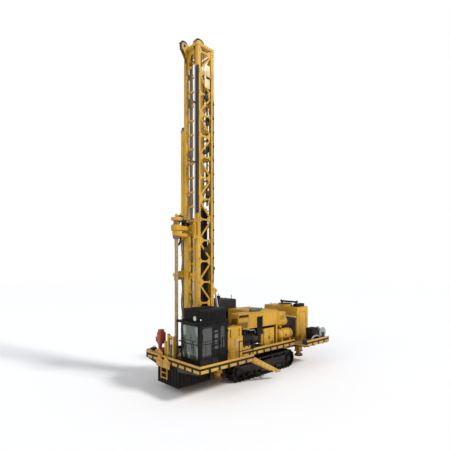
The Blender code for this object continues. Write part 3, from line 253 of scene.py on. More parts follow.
@dataclass(frozen=True)
class Paint:
    """Sprayed paint that has faded, with dust below and a little rust."""

    name: str
    colour: Point
    shade: Point
    roughness: float = 0.42
    rust: float = 0.5
    dust: float = 0.6
    grime: float = 0.5
    sheen: float = 0.5

    def material(self) -> bpy.types.Material:
        """Material of the paint."""
        tree = ShaderTree(self.name)
        tree.constant(Specular_IOR_Level=self.sheen)
        broad = tree.noise(0.55, 4.0).between(0.32, 0.7)
        fine = tree.noise(7.0, 6.0)
        streaks = tree.noise(1.0, 5.0, tree.stretched((7.0, 7.0, 0.55)))
        colour = tree.mix(broad, self.colour, self.shade)
        grime = (streaks * 0.6 + fine * 0.4).between(0.52, 0.72) * self.grime
        colour = tree.mix(grime, colour, GRIME)
        rust = tree.noise(3.2, 8.0, roughness=0.7).between(0.66, 0.72) * self.rust
        colour = tree.mix(rust, colour, RUST)
        height = 1.0 - tree.axis("Z").between(0.2, 3.4)
        dust = height * tree.noise(1.6, 6.0).between(0.3, 0.75) * self.dust
        colour = tree.mix(dust, colour, DUST)
        tree.vary("Base Color", self.finish(tree, colour))
        tree.vary("Roughness", (fine * 0.2 + dust * 0.4 + rust * 0.35) + (self.roughness - 0.08))
        tree.relief(fine * 0.6 + tree.noise(60.0, 2.0) * 0.4, 0.25, 0.004)
        return tree.material

    def finish(self, tree: ShaderTree, colour: Value) -> Value:
        """Colour after what one kind of paint adds to it."""
        return colour


@dataclass(frozen=True)
class ChordShadePaint(Paint):
    """Paint of the mast, with painted shade on the drill-end face of its near front chord."""

    def finish(self, tree: ShaderTree, colour: Value) -> Value:
        """Paint with painted shade on the near chord's face towards the drill line, from 9.3 to 17.5 metres
        up.
        """
        # The mask below marks the near front chord's drill-end face; the near-black colour laid on it is
        # painted shade.
        face = 1.0 - tree.axis("X").between(-3.9495, -3.9485)
        near = 1.0 - tree.axis("Y").between(-0.42, -0.418)
        upper = tree.axis("Z").between(9.3, 9.45) * (1.0 - tree.axis("Z").between(17.3, 17.5))
        return tree.mix(face * near * upper, colour, (0.02, 0.015, 0.012))


@dataclass(frozen=True)
class Steel:
    """Bare or cast steel."""

    name: str
    colour: Point
    roughness: float
    metallic: float
    scale: float = 14.0
    rust: float = 0.4
    relief: float = 0.004

    def material(self) -> bpy.types.Material:
        """Material of the steel."""
        tree = ShaderTree(self.name)
        tree.constant(Metallic=self.metallic)
        grain = tree.noise(self.scale, 6.0)
        patches = tree.noise(2.2, 6.0, roughness=0.7).between(0.5, 0.68) * self.rust
        darker = tuple(part * 0.55 for part in self.colour)
        colour = tree.mix(grain.between(0.3, 0.7), darker, self.colour)
        tree.vary("Base Color", tree.mix(patches, colour, RUST))
        tree.vary("Roughness", grain * 0.25 + patches * 0.3 + (self.roughness - 0.1))
        tree.relief(grain, 0.3, self.relief)
        return tree.material


@dataclass(frozen=True)
class Rubber:
    """Black rubber of hoses, flaps and seals."""

    name: str
    colour: Point = (0.017, 0.017, 0.018)
    dust: float = 0.35

    def material(self) -> bpy.types.Material:
        """Material of the rubber."""
        tree = ShaderTree(self.name)
        tree.constant(Specular_IOR_Level=0.2)
        grain = tree.noise(30.0, 4.0)
        low = 1.0 - tree.axis("Z").between(0.0, 2.6)
        dust = tree.noise(2.3, 6.0).between(0.35, 0.75) * (low * 0.7 + 0.3) * self.dust
        tree.vary("Base Color", tree.mix(dust, self.colour, DUST))
        tree.vary("Roughness", grain * 0.2 + 0.55)
        tree.relief(grain, 0.3, 0.002)
        return tree.material


@dataclass(frozen=True)
class Glass:
    """Tinted cab glass with soft pale diagonal streaks of painted reflection."""

    name: str
    colour: Point = (0.075, 0.095, 0.075)
    opacity: float = 0.82
    streak: Point = (0.30, 0.44, 0.34)
    share: float = 0.75

    def material(self) -> bpy.types.Material:
        """Material of the glass."""
        tree = ShaderTree(self.name)
        tree.constant(Alpha=self.opacity, IOR=1.5, Roughness=0.06, Coat_Weight=0.6)
        # The pale streaks laid over the tint are painted reflection.
        reflection_bands = tree.noise(1.0, 2.0, tree.stretched((2.4, 2.4, 0.9), (0.0, math.radians(14), 0.0)))
        streaks = reflection_bands.between(0.56, 0.64) * self.share
        tree.vary("Base Color", tree.mix(streaks, self.colour, self.streak))
        tree.material.surface_render_method = "BLENDED"
        return tree.material


@dataclass(frozen=True)
class Lens:
    """Lamp lens that is lit a little."""

    name: str
    colour: Point = (0.85, 0.84, 0.8)
    glow: float = 0.25

    def material(self) -> bpy.types.Material:
        """Material of the lens."""
        tree = ShaderTree(self.name)
        cells = tree.noise(45.0, 2.0).between(0.4, 0.6)
        dim = tuple(part * 0.55 for part in self.colour)
        tree.vary("Base Color", tree.mix(cells, dim, self.colour))
        tree.constant(Roughness=0.12, Coat_Weight=0.8, Emission_Color=(*self.colour, 1.0),
                      Emission_Strength=self.glow)
        return tree.material


@dataclass(frozen=True)
class Tread(Paint):
    """Painted chequer plate, worn to the steel on its lozenges."""

    def material(self) -> bpy.types.Material:
        """Material of the plate."""
        tree = ShaderTree(self.name)
        made = tree.node("ShaderNodeTexVoronoi",
                         {"Vector": tree.stretched((1.0, 1.0, 0.0), (0.0, 0.0, math.radians(45))),
                          "Scale": 17.0, "Randomness": 0.0}, distance="MANHATTAN")
        lozenge = 1.0 - Value(tree, made.outputs["Distance"]).between(0.18, 0.34)
        broad = tree.noise(0.9, 5.0).between(0.35, 0.65)
        colour = tree.mix(broad, self.colour, self.shade)
        colour = tree.mix(lozenge * tree.noise(5.0).between(0.4, 0.6) * 0.6, colour, (0.22, 0.21, 0.2))
        dust = (1.0 - lozenge) * tree.noise(1.4, 6.0).between(0.3, 0.7) * self.dust
        tree.vary("Base Color", tree.mix(dust, colour, DUST))
        tree.vary("Roughness", dust * 0.3 + self.roughness)
        tree.relief(lozenge, 0.7, 0.01)
        return tree.material


@dataclass(frozen=True)
class Core:
    """Fins and tubes of a cooler, seen as fine dark lines."""

    name: str

    def material(self) -> bpy.types.Material:
        """Material of the core."""
        tree = ShaderTree(self.name)
        made = tree.node("ShaderNodeTexWave", {"Vector": tree.stretched((0.0, 0.0, 1.0)), "Scale": 9.0},
                         wave_type="BANDS", bands_direction="Z")
        fins = Value(tree, made.outputs["Fac"])
        dust = tree.noise(2.0, 6.0).between(0.4, 0.75) * 0.5
        colour = tree.mix(fins, (0.008, 0.008, 0.008), (0.07, 0.07, 0.072))
        tree.vary("Base Color", tree.mix(dust, colour, DUST))
        tree.constant(Metallic=0.5)
        tree.vary("Roughness", dust * 0.4 + 0.45)
        tree.relief(fins, 0.8, 0.008)
        return tree.material


@dataclass(frozen=True)
class Cloth:
    """Woven seat cloth."""

    name: str
    colour: Point = (0.028, 0.028, 0.032)

    def material(self) -> bpy.types.Material:
        """Material of the cloth."""
        tree = ShaderTree(self.name)
        weave = tree.noise(160.0, 2.0, tree.stretched((1.0, 3.0, 1.0)))
        pale = tuple(part * 2.2 for part in self.colour)
        tree.vary("Base Color", tree.mix(weave.between(0.4, 0.6), self.colour, pale))
        tree.constant(Roughness=0.92, Sheen_Weight=0.3)
        tree.relief(weave, 0.4, 0.001)
        return tree.material


class Finish(Enum):
    """Every finish of the rig."""

    YELLOW = Paint("yellow_enamel", (0.60, 0.325, 0.012), (0.44, 0.215, 0.008), dust=0.35)
    # The mast enamel paints shade onto the drill-end face of the near front chord.
    MAST_YELLOW = ChordShadePaint("mast_enamel", (0.65, 0.38, 0.03), (0.49, 0.26, 0.016), rust=0.5, dust=0.15,
                           grime=0.5)
    BLACK = Paint("black_enamel", (0.005, 0.0048, 0.0055), (0.011, 0.0105, 0.0115), 0.5, 0.1, 0.1, 0.0,
                  0.15)
    DARK = Paint("slate_enamel", (0.016, 0.015, 0.017), (0.036, 0.034, 0.036), 0.5, 0.2, 0.12, 0.3, 0.25)
    TAUPE = Paint("taupe_enamel", (0.17, 0.14, 0.12), (0.10, 0.08, 0.07), 0.5, 0.2, 0.3, 0.3)
    GREY = Paint("grey_enamel", (0.10, 0.10, 0.105), (0.07, 0.07, 0.075), 0.45, 0.1, 0.1, 0.2)
    RED = Paint("oxide_red_enamel", (0.34, 0.048, 0.032), (0.20, 0.026, 0.018), 0.45, 0.3, 0.2, 0.4)
    CREAM = Paint("cream_enamel", (0.88, 0.74, 0.46), (0.62, 0.45, 0.2), 0.5, 0.5, 0.4, 0.35)
    SHOE = Steel("track_steel", (0.016, 0.015, 0.014), 0.5, 0.6, 9.0, 0.2, 0.008)
    CAST = Steel("engine_iron", (0.022, 0.020, 0.019), 0.55, 0.5, 20.0, 0.4)
    BRIGHT = Steel("bright_steel", (0.55, 0.54, 0.52), 0.34, 0.95, 25.0, 0.15, 0.001)
    PIPE = Steel("drill_steel", (0.43, 0.33, 0.17), 0.45, 0.35, 10.0, 0.5, 0.002)
    CHAIN = Steel("chain_steel", (0.018, 0.016, 0.015), 0.5, 0.7, 30.0, 0.4, 0.002)
    RACK = Steel("rack_steel", (0.022, 0.011, 0.007), 0.6, 0.2, 30.0, 0.5, 0.002)
    ROPE = Steel("wire_rope", (0.12, 0.115, 0.105), 0.45, 0.8, 60.0, 0.2, 0.002)
    RUSTY = Steel("hot_steel", (0.1, 0.06, 0.045), 0.7, 0.4, 12.0, 0.9, 0.003)
    CHROME = Steel("chrome", (0.78, 0.78, 0.78), 0.14, 1.0, 30.0, 0.0, 0.0005)
    TREAD = Tread("chequer_plate", (0.16, 0.11, 0.05), (0.10, 0.08, 0.055), 0.5, 0.0, 0.7)
    CORE = Core("cooler_fins")
    HOSE = Rubber("hose_rubber", (0.011, 0.011, 0.012), 0.2)
    MAST_HOSE = Rubber("worn_hose_rubber", (0.24, 0.17, 0.09), 0.3)
    FLAP = Rubber("flap_rubber", (0.006, 0.0055, 0.005), 0.03)
    REEL_HOSE = Rubber("grey_hose_rubber", (0.26, 0.25, 0.26), 0.3)
    # Every glass below carries pale streaks of painted reflection.
    GLASS = Glass("tinted_glass")
    SMOKE = Glass("deep_smoked_glass", (0.012, 0.012, 0.013), 0.9, (0.03, 0.032, 0.032), 0.4)
    DARK_GLASS = Glass("smoked_glass", (0.050, 0.050, 0.050), 0.86, (0.085, 0.085, 0.085), 0.25)
    LENS = Lens("lamp_lens", (0.60, 0.56, 0.54), 0.08)
    SCREEN = Lens("screen_glass", (0.05, 0.09, 0.11), 0.15)
    CLOTH = Cloth("seat_weave")


class Workshop:
    """Materials of the finishes, each made once."""

    made: dict[Finish, bpy.types.Material] = {}

    @classmethod
    def material(cls, finish: Finish) -> bpy.types.Material:
        """Material of a finish."""
        if finish not in cls.made:
            cls.made[finish] = finish.value.material()
        return cls.made[finish]


# Shapes


def turn_to(direction: Vector) -> Matrix:
    """Rotation that takes +Z to a direction."""
    return direction.to_track_quat("Z", "Y").to_matrix().to_4x4()


def around(count: int, start: float = 0.0) -> list[Flat]:
    """Cosine and sine of even turns round a centre, from a share of one turn on."""
    angles = [(index + start) * math.tau / count for index in range(count)]
    return [(math.cos(angle), math.sin(angle)) for angle in angles]


def along(start: Sequence[float], end: Sequence[float]) -> tuple[Matrix, float]:
    """Place of a bar between two points.

    Args:
        start: First end.
        end: Second end.

    Returns:
        Matrix whose Z runs along the bar from its middle, and the length.
    """
    first, second = Vector(start), Vector(end)
    return (Matrix.Translation((first + second) / 2) @ turn_to(second - first), (second - first).length)


class Piece:
    """One piece: shapes that share a mesh, a finish and a body."""

    def __init__(self, name: str, finish: Finish, body: str = "chassis", slot: str | None = None) -> None:
        """Start an empty piece."""
        self.name = name
        self.body = body
        self.finish = finish
        self.slot = slot
        self.mesh = bmesh.new()

    def __enter__(self) -> Piece:
        """Start the piece's shapes."""
        return self

    def __exit__(self, kind: type | None, *_: object) -> None:
        """Finish the piece, unless its shapes failed."""
        if kind is None:
            self.done()

    def block(self, low: Sequence[float], high: Sequence[float], rounding: float = 0.0, segments: int = 1,
              turn: Matrix | None = None) -> None:
        """Box between any two opposite corners, turned about its middle where asked."""
        first, second = Vector(map(min, low, high)), Vector(map(max, low, high))
        made = bmesh.ops.create_cube(self.mesh, size=1.0)["verts"]
        bmesh.ops.scale(self.mesh, vec=second - first, verts=made)
        if rounding:
            edges = list({edge for vertex in made for edge in vertex.link_edges})
            made = bmesh.ops.bevel(self.mesh, geom=edges, offset=rounding, segments=segments, profile=0.5,
                                   affect="EDGES", material=-1)["verts"]
        place = Matrix.Translation((first + second) / 2) @ (turn or Matrix.Identity(4))
        bmesh.ops.transform(self.mesh, matrix=place, verts=made)

    def bar(self, start: Sequence[float], end: Sequence[float], radius: float, sides: int = 12,
            end_radius: float | None = None) -> None:
        """Round bar or cone between two points."""
        place, length = along(start, end)
        bmesh.ops.create_cone(self.mesh, cap_ends=True, segments=sides, radius1=radius,
                              radius2=radius if end_radius is None else end_radius, depth=length,
                              matrix=place)

    def beam(self, start: Sequence[float], end: Sequence[float], width: float, depth: float) -> None:
        """Square-cut bar between two points; width lies level."""
        place, length = along(start, end)
        made = bmesh.ops.create_cube(self.mesh, size=1.0)["verts"]
        bmesh.ops.scale(self.mesh, vec=(width, depth, length), verts=made)
        bmesh.ops.transform(self.mesh, matrix=place, verts=made)

    def turned(self, profile: Sequence[Flat], centre: Sequence[float], way: Way | Vector = Way.UP,
               sides: int = 32, capped: bool = True) -> None:
        """Body of revolution.

        Args:
            profile: Radius and height of each point, in order.
            centre: Place of the profile's height 0.
            way: Direction of its axis.
            sides: Faces round it.
            capped: Whether a profile that is no loop is closed across to the axis.
        """
        if capped and profile[0] != profile[-1]:
            ends = [[(0.0, height)] if radius else [] for radius, height in (profile[0], profile[-1])]
            profile = [*ends[0], *profile, *ends[1]]
        made = [self.mesh.verts.new((radius, 0.0, height)) for radius, height in profile]
        edges = [self.mesh.edges.new(pair) for pair in zip(made, made[1:])]
        bmesh.ops.spin(self.mesh, geom=made + edges, cent=(0, 0, 0), axis=(0, 0, 1), dvec=(0, 0, 0),
                       angle=math.tau, steps=sides, use_merge=True, use_duplicate=False)
        faces = {face for edge in edges for face in edge.link_faces}
        reach = set(faces)
        while faces:
            faces = {other for face in faces for edge in face.edges for other in edge.link_faces} - reach
            reach |= faces
        whole = list({vertex for face in reach for vertex in face.verts})
        bmesh.ops.remove_doubles(self.mesh, verts=whole, dist=0.00005)
        reach = {face for face in reach if face.is_valid}
        bmesh.ops.recalc_face_normals(self.mesh, faces=list(reach))
        whole = list({vertex for face in reach for vertex in face.verts})
        axis = way.vector if isinstance(way, Way) else way
        bmesh.ops.transform(self.mesh, matrix=Matrix.Translation(centre) @ turn_to(axis), verts=whole)

    def ring(self, centre: Sequence[float], way: Way, radius: float, thickness: float, sides: int = 24,
             sections: int = 8) -> None:
        """Round ring about an axis."""
        step = math.tau / sections
        loop = [(radius + thickness * math.cos(index * step), thickness * math.sin(index * step))
                for index in range(sections)]
        self.turned([*loop, loop[0]], centre, way, sides)

    def line(self, points: Sequence[Sequence[float]], radius: float, sides: int = 8,
             smooth: bool = True) -> None:
        """Hose or pipe through points, with closed ends.

        Args:
            points: Route in the frame of the rig.
            radius: Radius of the hose.
            sides: Faces round it.
            smooth: Whether it bends smoothly between its points.
        """
        curve = bpy.data.curves.new("route", "CURVE")
        curve.dimensions = "3D"
        curve.bevel_depth = radius
        curve.bevel_resolution = max(0, sides // 4)
        curve.resolution_u = 5
        curve.use_fill_caps = True
        if smooth:
            spline = curve.splines.new("BEZIER")
            spline.bezier_points.add(len(points) - 1)
            for knot, place in zip(spline.bezier_points, points):
                knot.co = place
                knot.handle_left_type = knot.handle_right_type = "AUTO"
        else:
            spline = curve.splines.new("POLY")
            spline.points.add(len(points) - 1)
            for knot, place in zip(spline.points, points):
                knot.co = (*place, 1.0)
        route = bpy.data.objects.new("route", curve)
        bpy.context.scene.collection.objects.link(route)
        bpy.context.view_layer.update()
        tube = bpy.data.meshes.new_from_object(route.evaluated_get(bpy.context.evaluated_depsgraph_get()))
        self.mesh.from_mesh(tube)
        bpy.data.objects.remove(route)
        bpy.data.curves.remove(curve)
        bpy.data.meshes.remove(tube)

    def outline(self, points: Sequence[Flat], plane: Plane, low: float, high: float,
                rounding: float = 0.0) -> None:
        """Flat outline with a thickness from low to high across its plane."""
        first, second = (Vector(column) for column in plane.value)
        normal = Vector([1 - abs(first[i]) - abs(second[i]) for i in range(3)])
        ring = [self.mesh.verts.new(first * a + second * b + normal * low) for a, b in points]
        face = self.mesh.faces.new(ring)
        grown = bmesh.ops.extrude_face_region(self.mesh, geom=[face])["geom"]
        top = [item for item in grown if isinstance(item, bmesh.types.BMVert)]
        bmesh.ops.translate(self.mesh, vec=normal * (high - low), verts=top)
        faces = list({near for vertex in ring + top for near in vertex.link_faces})
        bmesh.ops.recalc_face_normals(self.mesh, faces=faces)
        if rounding:
            edges = list({edge for near in faces for edge in near.edges})
            bmesh.ops.bevel(self.mesh, geom=edges, offset=rounding, segments=1, profile=0.5, affect="EDGES",
                            material=-1)

    def frame(self, low: Flat, high: Flat, plane: Plane, start: float, end: float, width: float = 0.032,
              corner: float = 0.09) -> None:
        """Frame round an opening, with rounded inner corners.

        Args:
            low: Lowest corner of the opening in its plane.
            high: Highest corner of the opening in its plane.
            plane: Plane of the opening.
            start: Lowest place of the frame across the plane.
            end: Highest place of the frame across the plane.
            width: Width of the frame outside the opening.
            corner: Radius of the inner corners.
        """
        (a0, b0), (a1, b1) = low, high
        inner = 0.012
        for first, second in (((a0 - width, b0 - width), (a1 + width, b0 + inner)),
                              ((a0 - width, b1 - inner), (a1 + width, b1 + width)),
                              ((a0 - width, b0), (a0 + inner, b1)), ((a1 - inner, b0), (a1 + width, b1))):
            self.outline((first, (second[0], first[1]), second, (first[0], second[1])), plane, start, end)
        for a, b, right, up in ((a0, b0, 1, 1), (a1, b0, -1, 1), (a0, b1, 1, -1), (a1, b1, -1, -1)):
            if corner:
                arc = [(a + right * corner * (1 - math.cos(angle)), b + up * corner * (1 - math.sin(angle)))
                       for angle in (math.pi / 2 * step / 5 for step in range(6))]
                self.outline([(a, b), *arc], plane, start, end)

    def bolts(self, places: Iterable[Sequence[float]], way: Way | Vector, size: float = 0.03) -> None:
        """Bolt heads that stand on a surface."""
        direction = way.vector if isinstance(way, Way) else way
        turn = turn_to(direction)
        for place in places:
            centre = Vector(place) + direction * size * 0.3
            bmesh.ops.create_cone(self.mesh, cap_ends=True, segments=6, radius1=size * 0.58,
                                  radius2=size * 0.55, depth=size * 0.62,
                                  matrix=Matrix.Translation(centre) @ turn)

    def bolt_circle(self, centre: Sequence[float], way: Way, radius: float, count: int,
                    size: float = 0.03) -> None:
        """Bolts evenly round a centre."""
        turn = turn_to(way.vector)
        places = [Vector(centre) + turn @ Vector((radius * across, radius * over, 0))
                  for across, over in around(count)]
        self.bolts(places, way, size)

    def finished(self, sharp: float = 34.0) -> bpy.types.Object:
        """Turn the shapes into an object that rides on nothing yet.

        Args:
            sharp: Angle in degrees above which an edge stays sharp.

        Returns:
            The finished object.
        """
        mesh = bpy.data.meshes.new(self.name)
        self.mesh.to_mesh(mesh)
        self.mesh.free()
        mesh.shade_smooth()
        mesh.set_sharp_from_angle(angle=math.radians(sharp))
        mesh.materials.append(Workshop.material(self.finish))
        made = bpy.data.objects.new(self.name, mesh)
        bpy.context.scene.collection.objects.link(made)
        LOG.info("%s: %d triangles", self.name, sum(len(face.vertices) - 2 for face in mesh.polygons))
        return made

    def done(self) -> bpy.types.Object:
        """Finish the object and let it ride on its body."""
        made = self.finished()
        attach(made, self.body)
        return made


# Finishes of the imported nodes


@dataclass
class PackedNodes:
    """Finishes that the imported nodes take, and their smooth shading."""

    frame: dict[str, object]
    finishes: dict[Finish, tuple[str, ...]] = field(default_factory=lambda: {
        Finish.MAST_YELLOW: ("mast_frame", "mast_crown", "hose_guide", "steady_arm"),
        Finish.YELLOW: ("deck_drill_end", "deck_middle", "deck_rear", "main_frame",
                        "jack_drill_near", "jack_drill_far", "jack_rear_near", "jack_rear_far",
                        "drill_end_step", "rotary_head", "mast_cylinder_near_barrel",
                        "mast_cylinder_far_barrel", "boarding_stairs", "hydraulic_tank",
                        "tool_box", "engine_bay_roof", "control_cabinet", "air_receiver",
                        "air_cleaner", "cooler"),
        Finish.BLACK: ("cab_shell", "cab_roof_unit", "cab_door", "cooler_fan", "battery_box",
                       "rail_cab_side", "rail_far_side", "rail_rear",
                       "undercarriage_beams", "track_frame_near", "track_frame_far"),
        Finish.DARK: ("mast_tower", "crown_sheave_near", "crown_sheave_far", "mast_rest",
                      "wrench_post", "air_compressor", "dust_collector", "reel_stand"),
        Finish.RED: ("breakout_wrench",),
        Finish.SHOE: ("track_near", "track_far"),
        Finish.CAST: ("engine_block",),
        Finish.PIPE: ("drill_pipe",),
        Finish.BRIGHT: ("hose_reel",),
        Finish.CHROME: ("mast_cylinder_near_rod", "mast_cylinder_far_rod"),
        Finish.FLAP: ("dust_curtain",),
        Finish.GLASS: ("cab_windscreen",),
        Finish.DARK_GLASS: ("cab_side_window", "cab_drill_window", "cab_rear_window"),
        Finish.SMOKE: ("door_window",),
        Finish.CLOTH: ("operator_seat",),
    })

    def shading(self) -> bpy.types.NodeTree:
        """Geometry nodes that merge loose triangles and shade rounds smooth."""
        tree = bpy.data.node_groups.new("smooth_rounds", "GeometryNodeTree")
        tree.interface.new_socket("Geometry", in_out="INPUT", socket_type="NodeSocketGeometry")
        tree.interface.new_socket("Geometry", in_out="OUTPUT", socket_type="NodeSocketGeometry")
        start, end = tree.nodes.new("NodeGroupInput"), tree.nodes.new("NodeGroupOutput")
        merge = tree.nodes.new("GeometryNodeMergeByDistance")
        merge.inputs["Distance"].default_value = 0.0001
        smooth = tree.nodes.new("GeometryNodeSetShadeSmooth")
        smooth.domain = "FACE"
        crease = tree.nodes.new("GeometryNodeSetShadeSmooth")
        crease.domain = "EDGE"
        crease.inputs["Shade Smooth"].default_value = False
        angle = tree.nodes.new("GeometryNodeInputMeshEdgeAngle")
        steep = tree.nodes.new("FunctionNodeCompare")
        steep.data_type = "FLOAT"
        steep.operation = "GREATER_THAN"
        steep.inputs[1].default_value = math.radians(34)
        for source, target in ((start.outputs[0], merge.inputs[0]), (merge.outputs[0], smooth.inputs[0]),
                               (smooth.outputs[0], crease.inputs[0]),
                               (angle.outputs["Unsigned Angle"], steep.inputs[0]),
                               (steep.outputs[0], crease.inputs["Selection"]),
                               (crease.outputs[0], end.inputs[0])):
            tree.links.new(source, target)
        return tree

    def build(self) -> None:
        """Give every node its finish and its shading."""
        group = self.shading()
        nodes = self.frame["nodes"]
        given = {name: finish for finish, names in self.finishes.items() for name in names}
        for name, made in nodes.items():
            material = Workshop.material(given[name])
            if made.material_slots:
                for slot in made.material_slots:
                    slot.material = material
            else:
                made.data.materials.append(material)
            made.modifiers.new("shading", "NODES").node_group = group
        LOG.info("packed nodes: %d", len(nodes))


# Undercarriage


@dataclass(frozen=True)
class Track:
    """Shoe bolts, chain links, hubs and guards of one track."""

    side: int
    length: float = 5.7
    height: float = 1.15
    middle: float = 0.55
    gauge: float = 1.3
    grouser: float = 0.05
    shoes: int = 44

    @property
    def name(self) -> str:
        """Side of the track in words."""
        return "near" if self.side < 0 else "far"

    def point(self, share: float, offset: float) -> Flat:
        """Point of the loop.

        Args:
            share: Distance along the loop, in shoes.
            offset: Distance outwards from the faces of the shoes.

        Returns:
            X and Z of the point.
        """
        radius = self.height / 2 - self.grouser
        straight = self.length - self.height
        turn = math.pi * radius
        distance = (share * (2 * straight + 2 * turn) / self.shoes) % (2 * straight + 2 * turn)
        front, back = self.middle - straight / 2, self.middle + straight / 2
        reach = radius + offset
        if distance < straight:
            return front + distance, self.height / 2 - reach
        if distance < straight + turn:
            angle = (distance - straight) / radius
            return back + reach * math.sin(angle), self.height / 2 - reach * math.cos(angle)
        if distance < 2 * straight + turn:
            return back - (distance - straight - turn), self.height / 2 + reach
        angle = (distance - 2 * straight - turn) / radius
        return front - reach * math.sin(angle), self.height / 2 + reach * math.cos(angle)

    def build(self) -> None:
        """Dress the loop, the wheels and the beam."""
        self.shoe_bolts()
        self.chain()
        self.hubs()
        self.beam()

    def shoe_bolts(self) -> None:
        """Four bolts on each shoe and a dark seam between shoes."""
        y = self.side * self.gauge
        with Piece(f"shoe_bolts_{self.name}", Finish.CAST) as bolts:
            for index in range(self.shoes):
                for share in (0.5, 0.72):
                    (x, z), (out_x, out_z) = self.point(index + share, 0), self.point(index + share, 0.1)
                    normal = Vector((out_x - x, 0, out_z - z)).normalized()
                    bolts.bolts([(x, y + shift, z) for shift in (-0.1, 0.1)], normal)

    def chain(self) -> None:
        """Link plates and pins along both edges of the chain."""
        y = self.side * self.gauge
        with Piece(f"chain_links_{self.name}", Finish.CHAIN) as links:
            for index in range(self.shoes):
                first, second = self.point(index + 0.12, -0.105), self.point(index + 0.88, -0.105)
                pin = self.point(index, -0.1)
                for edge in (-0.158, 0.158):
                    links.beam((first[0], y + edge, first[1]), (second[0], y + edge, second[1]), 0.016,
                               0.062)
                    links.bar((pin[0], y + edge * 0.97, pin[1]), (pin[0], y + edge * 1.14, pin[1]), 0.026,
                              8)

    def hubs(self) -> None:
        """Covers of the wheels and rollers."""
        y, z = self.side * self.gauge, self.height / 2
        ends = (self.length - self.height) / 2
        with Piece(f"wheel_hubs_{self.name}", Finish.BLACK) as hubs:
            for x, reach, wheel in ((self.middle - ends, 0.2, 0.3), (self.middle + ends, 0.27, 0.31)):
                for way, out in ((Way.NEAR, -1), (Way.FAR, 1)):
                    hubs.turned(((0.06, 0.035), (0.075, 0.022), (0.165, 0.018), (0.18, 0)),
                                (x, y + out * reach, z), way, 24)
                    hubs.bolt_circle((x, y + out * (reach + 0.018), z), way, 0.13, 10, 0.028)
                    hubs.ring((x, y + out * 0.121, z), way, wheel, 0.014, 28, 6)
                    hubs.bolt_circle((x, y + out * 0.12, z), way, 0.25, 14, 0.032)
            for index in range(8):
                x = self.middle - ends + 0.45 + index * (2 * ends - 0.9) / 7
                for way, out in ((Way.NEAR, -1), (Way.FAR, 1)):
                    hubs.turned(((0.035, 0.03), (0.045, 0.012), (0.085, 0.01), (0.09, 0)),
                                (x, y + out * 0.2, 0.31), way, 16)

    def beam(self) -> None:
        """Covers, guards and lifting eyes of the track's beam."""
        middle = self.side * self.gauge
        out = middle + self.side * 0.15
        way = Way.out(self.side)
        with Piece(f"track_covers_{self.name}", Finish.BLACK) as covers:
            for x0, x1 in ((-1.35, -0.55), (0.1, 1.0), (1.35, 2.25)):
                covers.block((x0, out - 0.004, 0.44), (x1, out + 0.014, 0.7), 0.008)
                covers.bolts([(x, out + self.side * 0.014, z) for x in (x0 + 0.05, (x0 + x1) / 2, x1 - 0.05)
                              for z in (0.48, 0.66)], way, 0.026)
            for x in (-0.75, 0.55, 1.85):
                covers.block((x - 0.26, middle + self.side * 0.215, 0.2),
                             (x + 0.26, middle + self.side * 0.245, 0.37), 0.01)
                covers.block((x - 0.2, middle + self.side * 0.14, 0.335),
                             (x + 0.2, middle + self.side * 0.23, 0.4), 0.01)
            for x in (-1.75, 2.35):
                covers.ring((x, middle, 0.82), Way.FAR, 0.035, 0.012, 12, 6)


@dataclass(frozen=True)
class Undercarriage:
    """Drive motors, flanges and hoses between the tracks."""

    drive_x: float = 2.825
    drive_z: float = 0.575
    beams_x: tuple[float, float] = (-0.9, 2.1)

    def build(self) -> None:
        """Dress both tracks and what lies between them."""
        for side in (-1, 1):
            Track(side).build()
            self.drive(side)
        self.flanges()

    def drive(self, side: int) -> None:
        """Travel motor with its ports and hoses."""
        name = "near" if side < 0 else "far"
        way = Way.out(-side)
        face = side * 1.03
        x, z = self.drive_x, self.drive_z
        with Piece(f"travel_motor_{name}", Finish.CAST) as motor:
            motor.turned(((0.07, 0.3), (0.085, 0.28), (0.085, 0.2), (0.13, 0.19), (0.145, 0.17),
                          (0.145, 0.06), (0.18, 0.05), (0.185, 0)), (x, face, z), way, 20)
            motor.bolt_circle((x, face - side * 0.05, z), way, 0.162, 10, 0.024)
            motor.block((x - 0.06, face - side * 0.1, z + 0.12), (x + 0.06, face - side * 0.24, z + 0.2),
                        0.01)
        with Piece(f"travel_hoses_{name}", Finish.HOSE) as hoses:
            for shift in (-0.035, 0.035):
                y = face - side * 0.17
                hoses.line(((x + shift, y, z + 0.19), (x + shift - 0.05, y, z + 0.34),
                            (x - 0.3 + shift, side * 0.86, z + 0.5),
                            (x - 0.6 + shift, side * 0.835, z + 0.55)), 0.018)

    def flanges(self) -> None:
        """Frames where the cross beams meet the tracks' beams, with bolts."""
        with Piece("cross_beam_flanges", Finish.BLACK) as flanges:
            for x in self.beams_x:
                for side in (-1, 1):
                    low, high = side * 1.118, side * 1.149
                    for edge in (-1, 1):
                        flanges.block((x - 0.24, low, 0.63 + edge * 0.21 - 0.03),
                                      (x + 0.24, high, 0.63 + edge * 0.21 + 0.03), 0.006)
                        flanges.block((x + edge * 0.215 - 0.03, low, 0.44),
                                      (x + edge * 0.215 + 0.03, high, 0.82), 0.006)
                    way = Way.out(-side)
                    flanges.bolts([(x + dx * 0.2, side * 1.118, 0.63 + dz * 0.2) for dx in (-1, 0, 1)
                                   for dz in (-1, 1)], way)
        with Piece("frame_pipes", Finish.BRIGHT) as pipes:
            for side in (-1, 1):
                for index in range(4):
                    y, z = side * 0.845, 1.08 + index * 0.06
                    pipes.line(((-2.75, y, z), (4.15, y, z)), 0.014, 8, False)
        with Piece("pipe_clamps", Finish.BLACK) as clamps:
            for side in (-1, 1):
                for index in range(8):
                    x = -2.4 + index * 0.9
                    low, high = side * 0.818, side * 0.87
                    clamps.block((x - 0.025, low, 1.05), (x + 0.025, high, 1.29), 0.006)
                    clamps.bolts([(x, side * 0.87, z) for z in (1.11, 1.17, 1.23)], Way.out(side), 0.016)


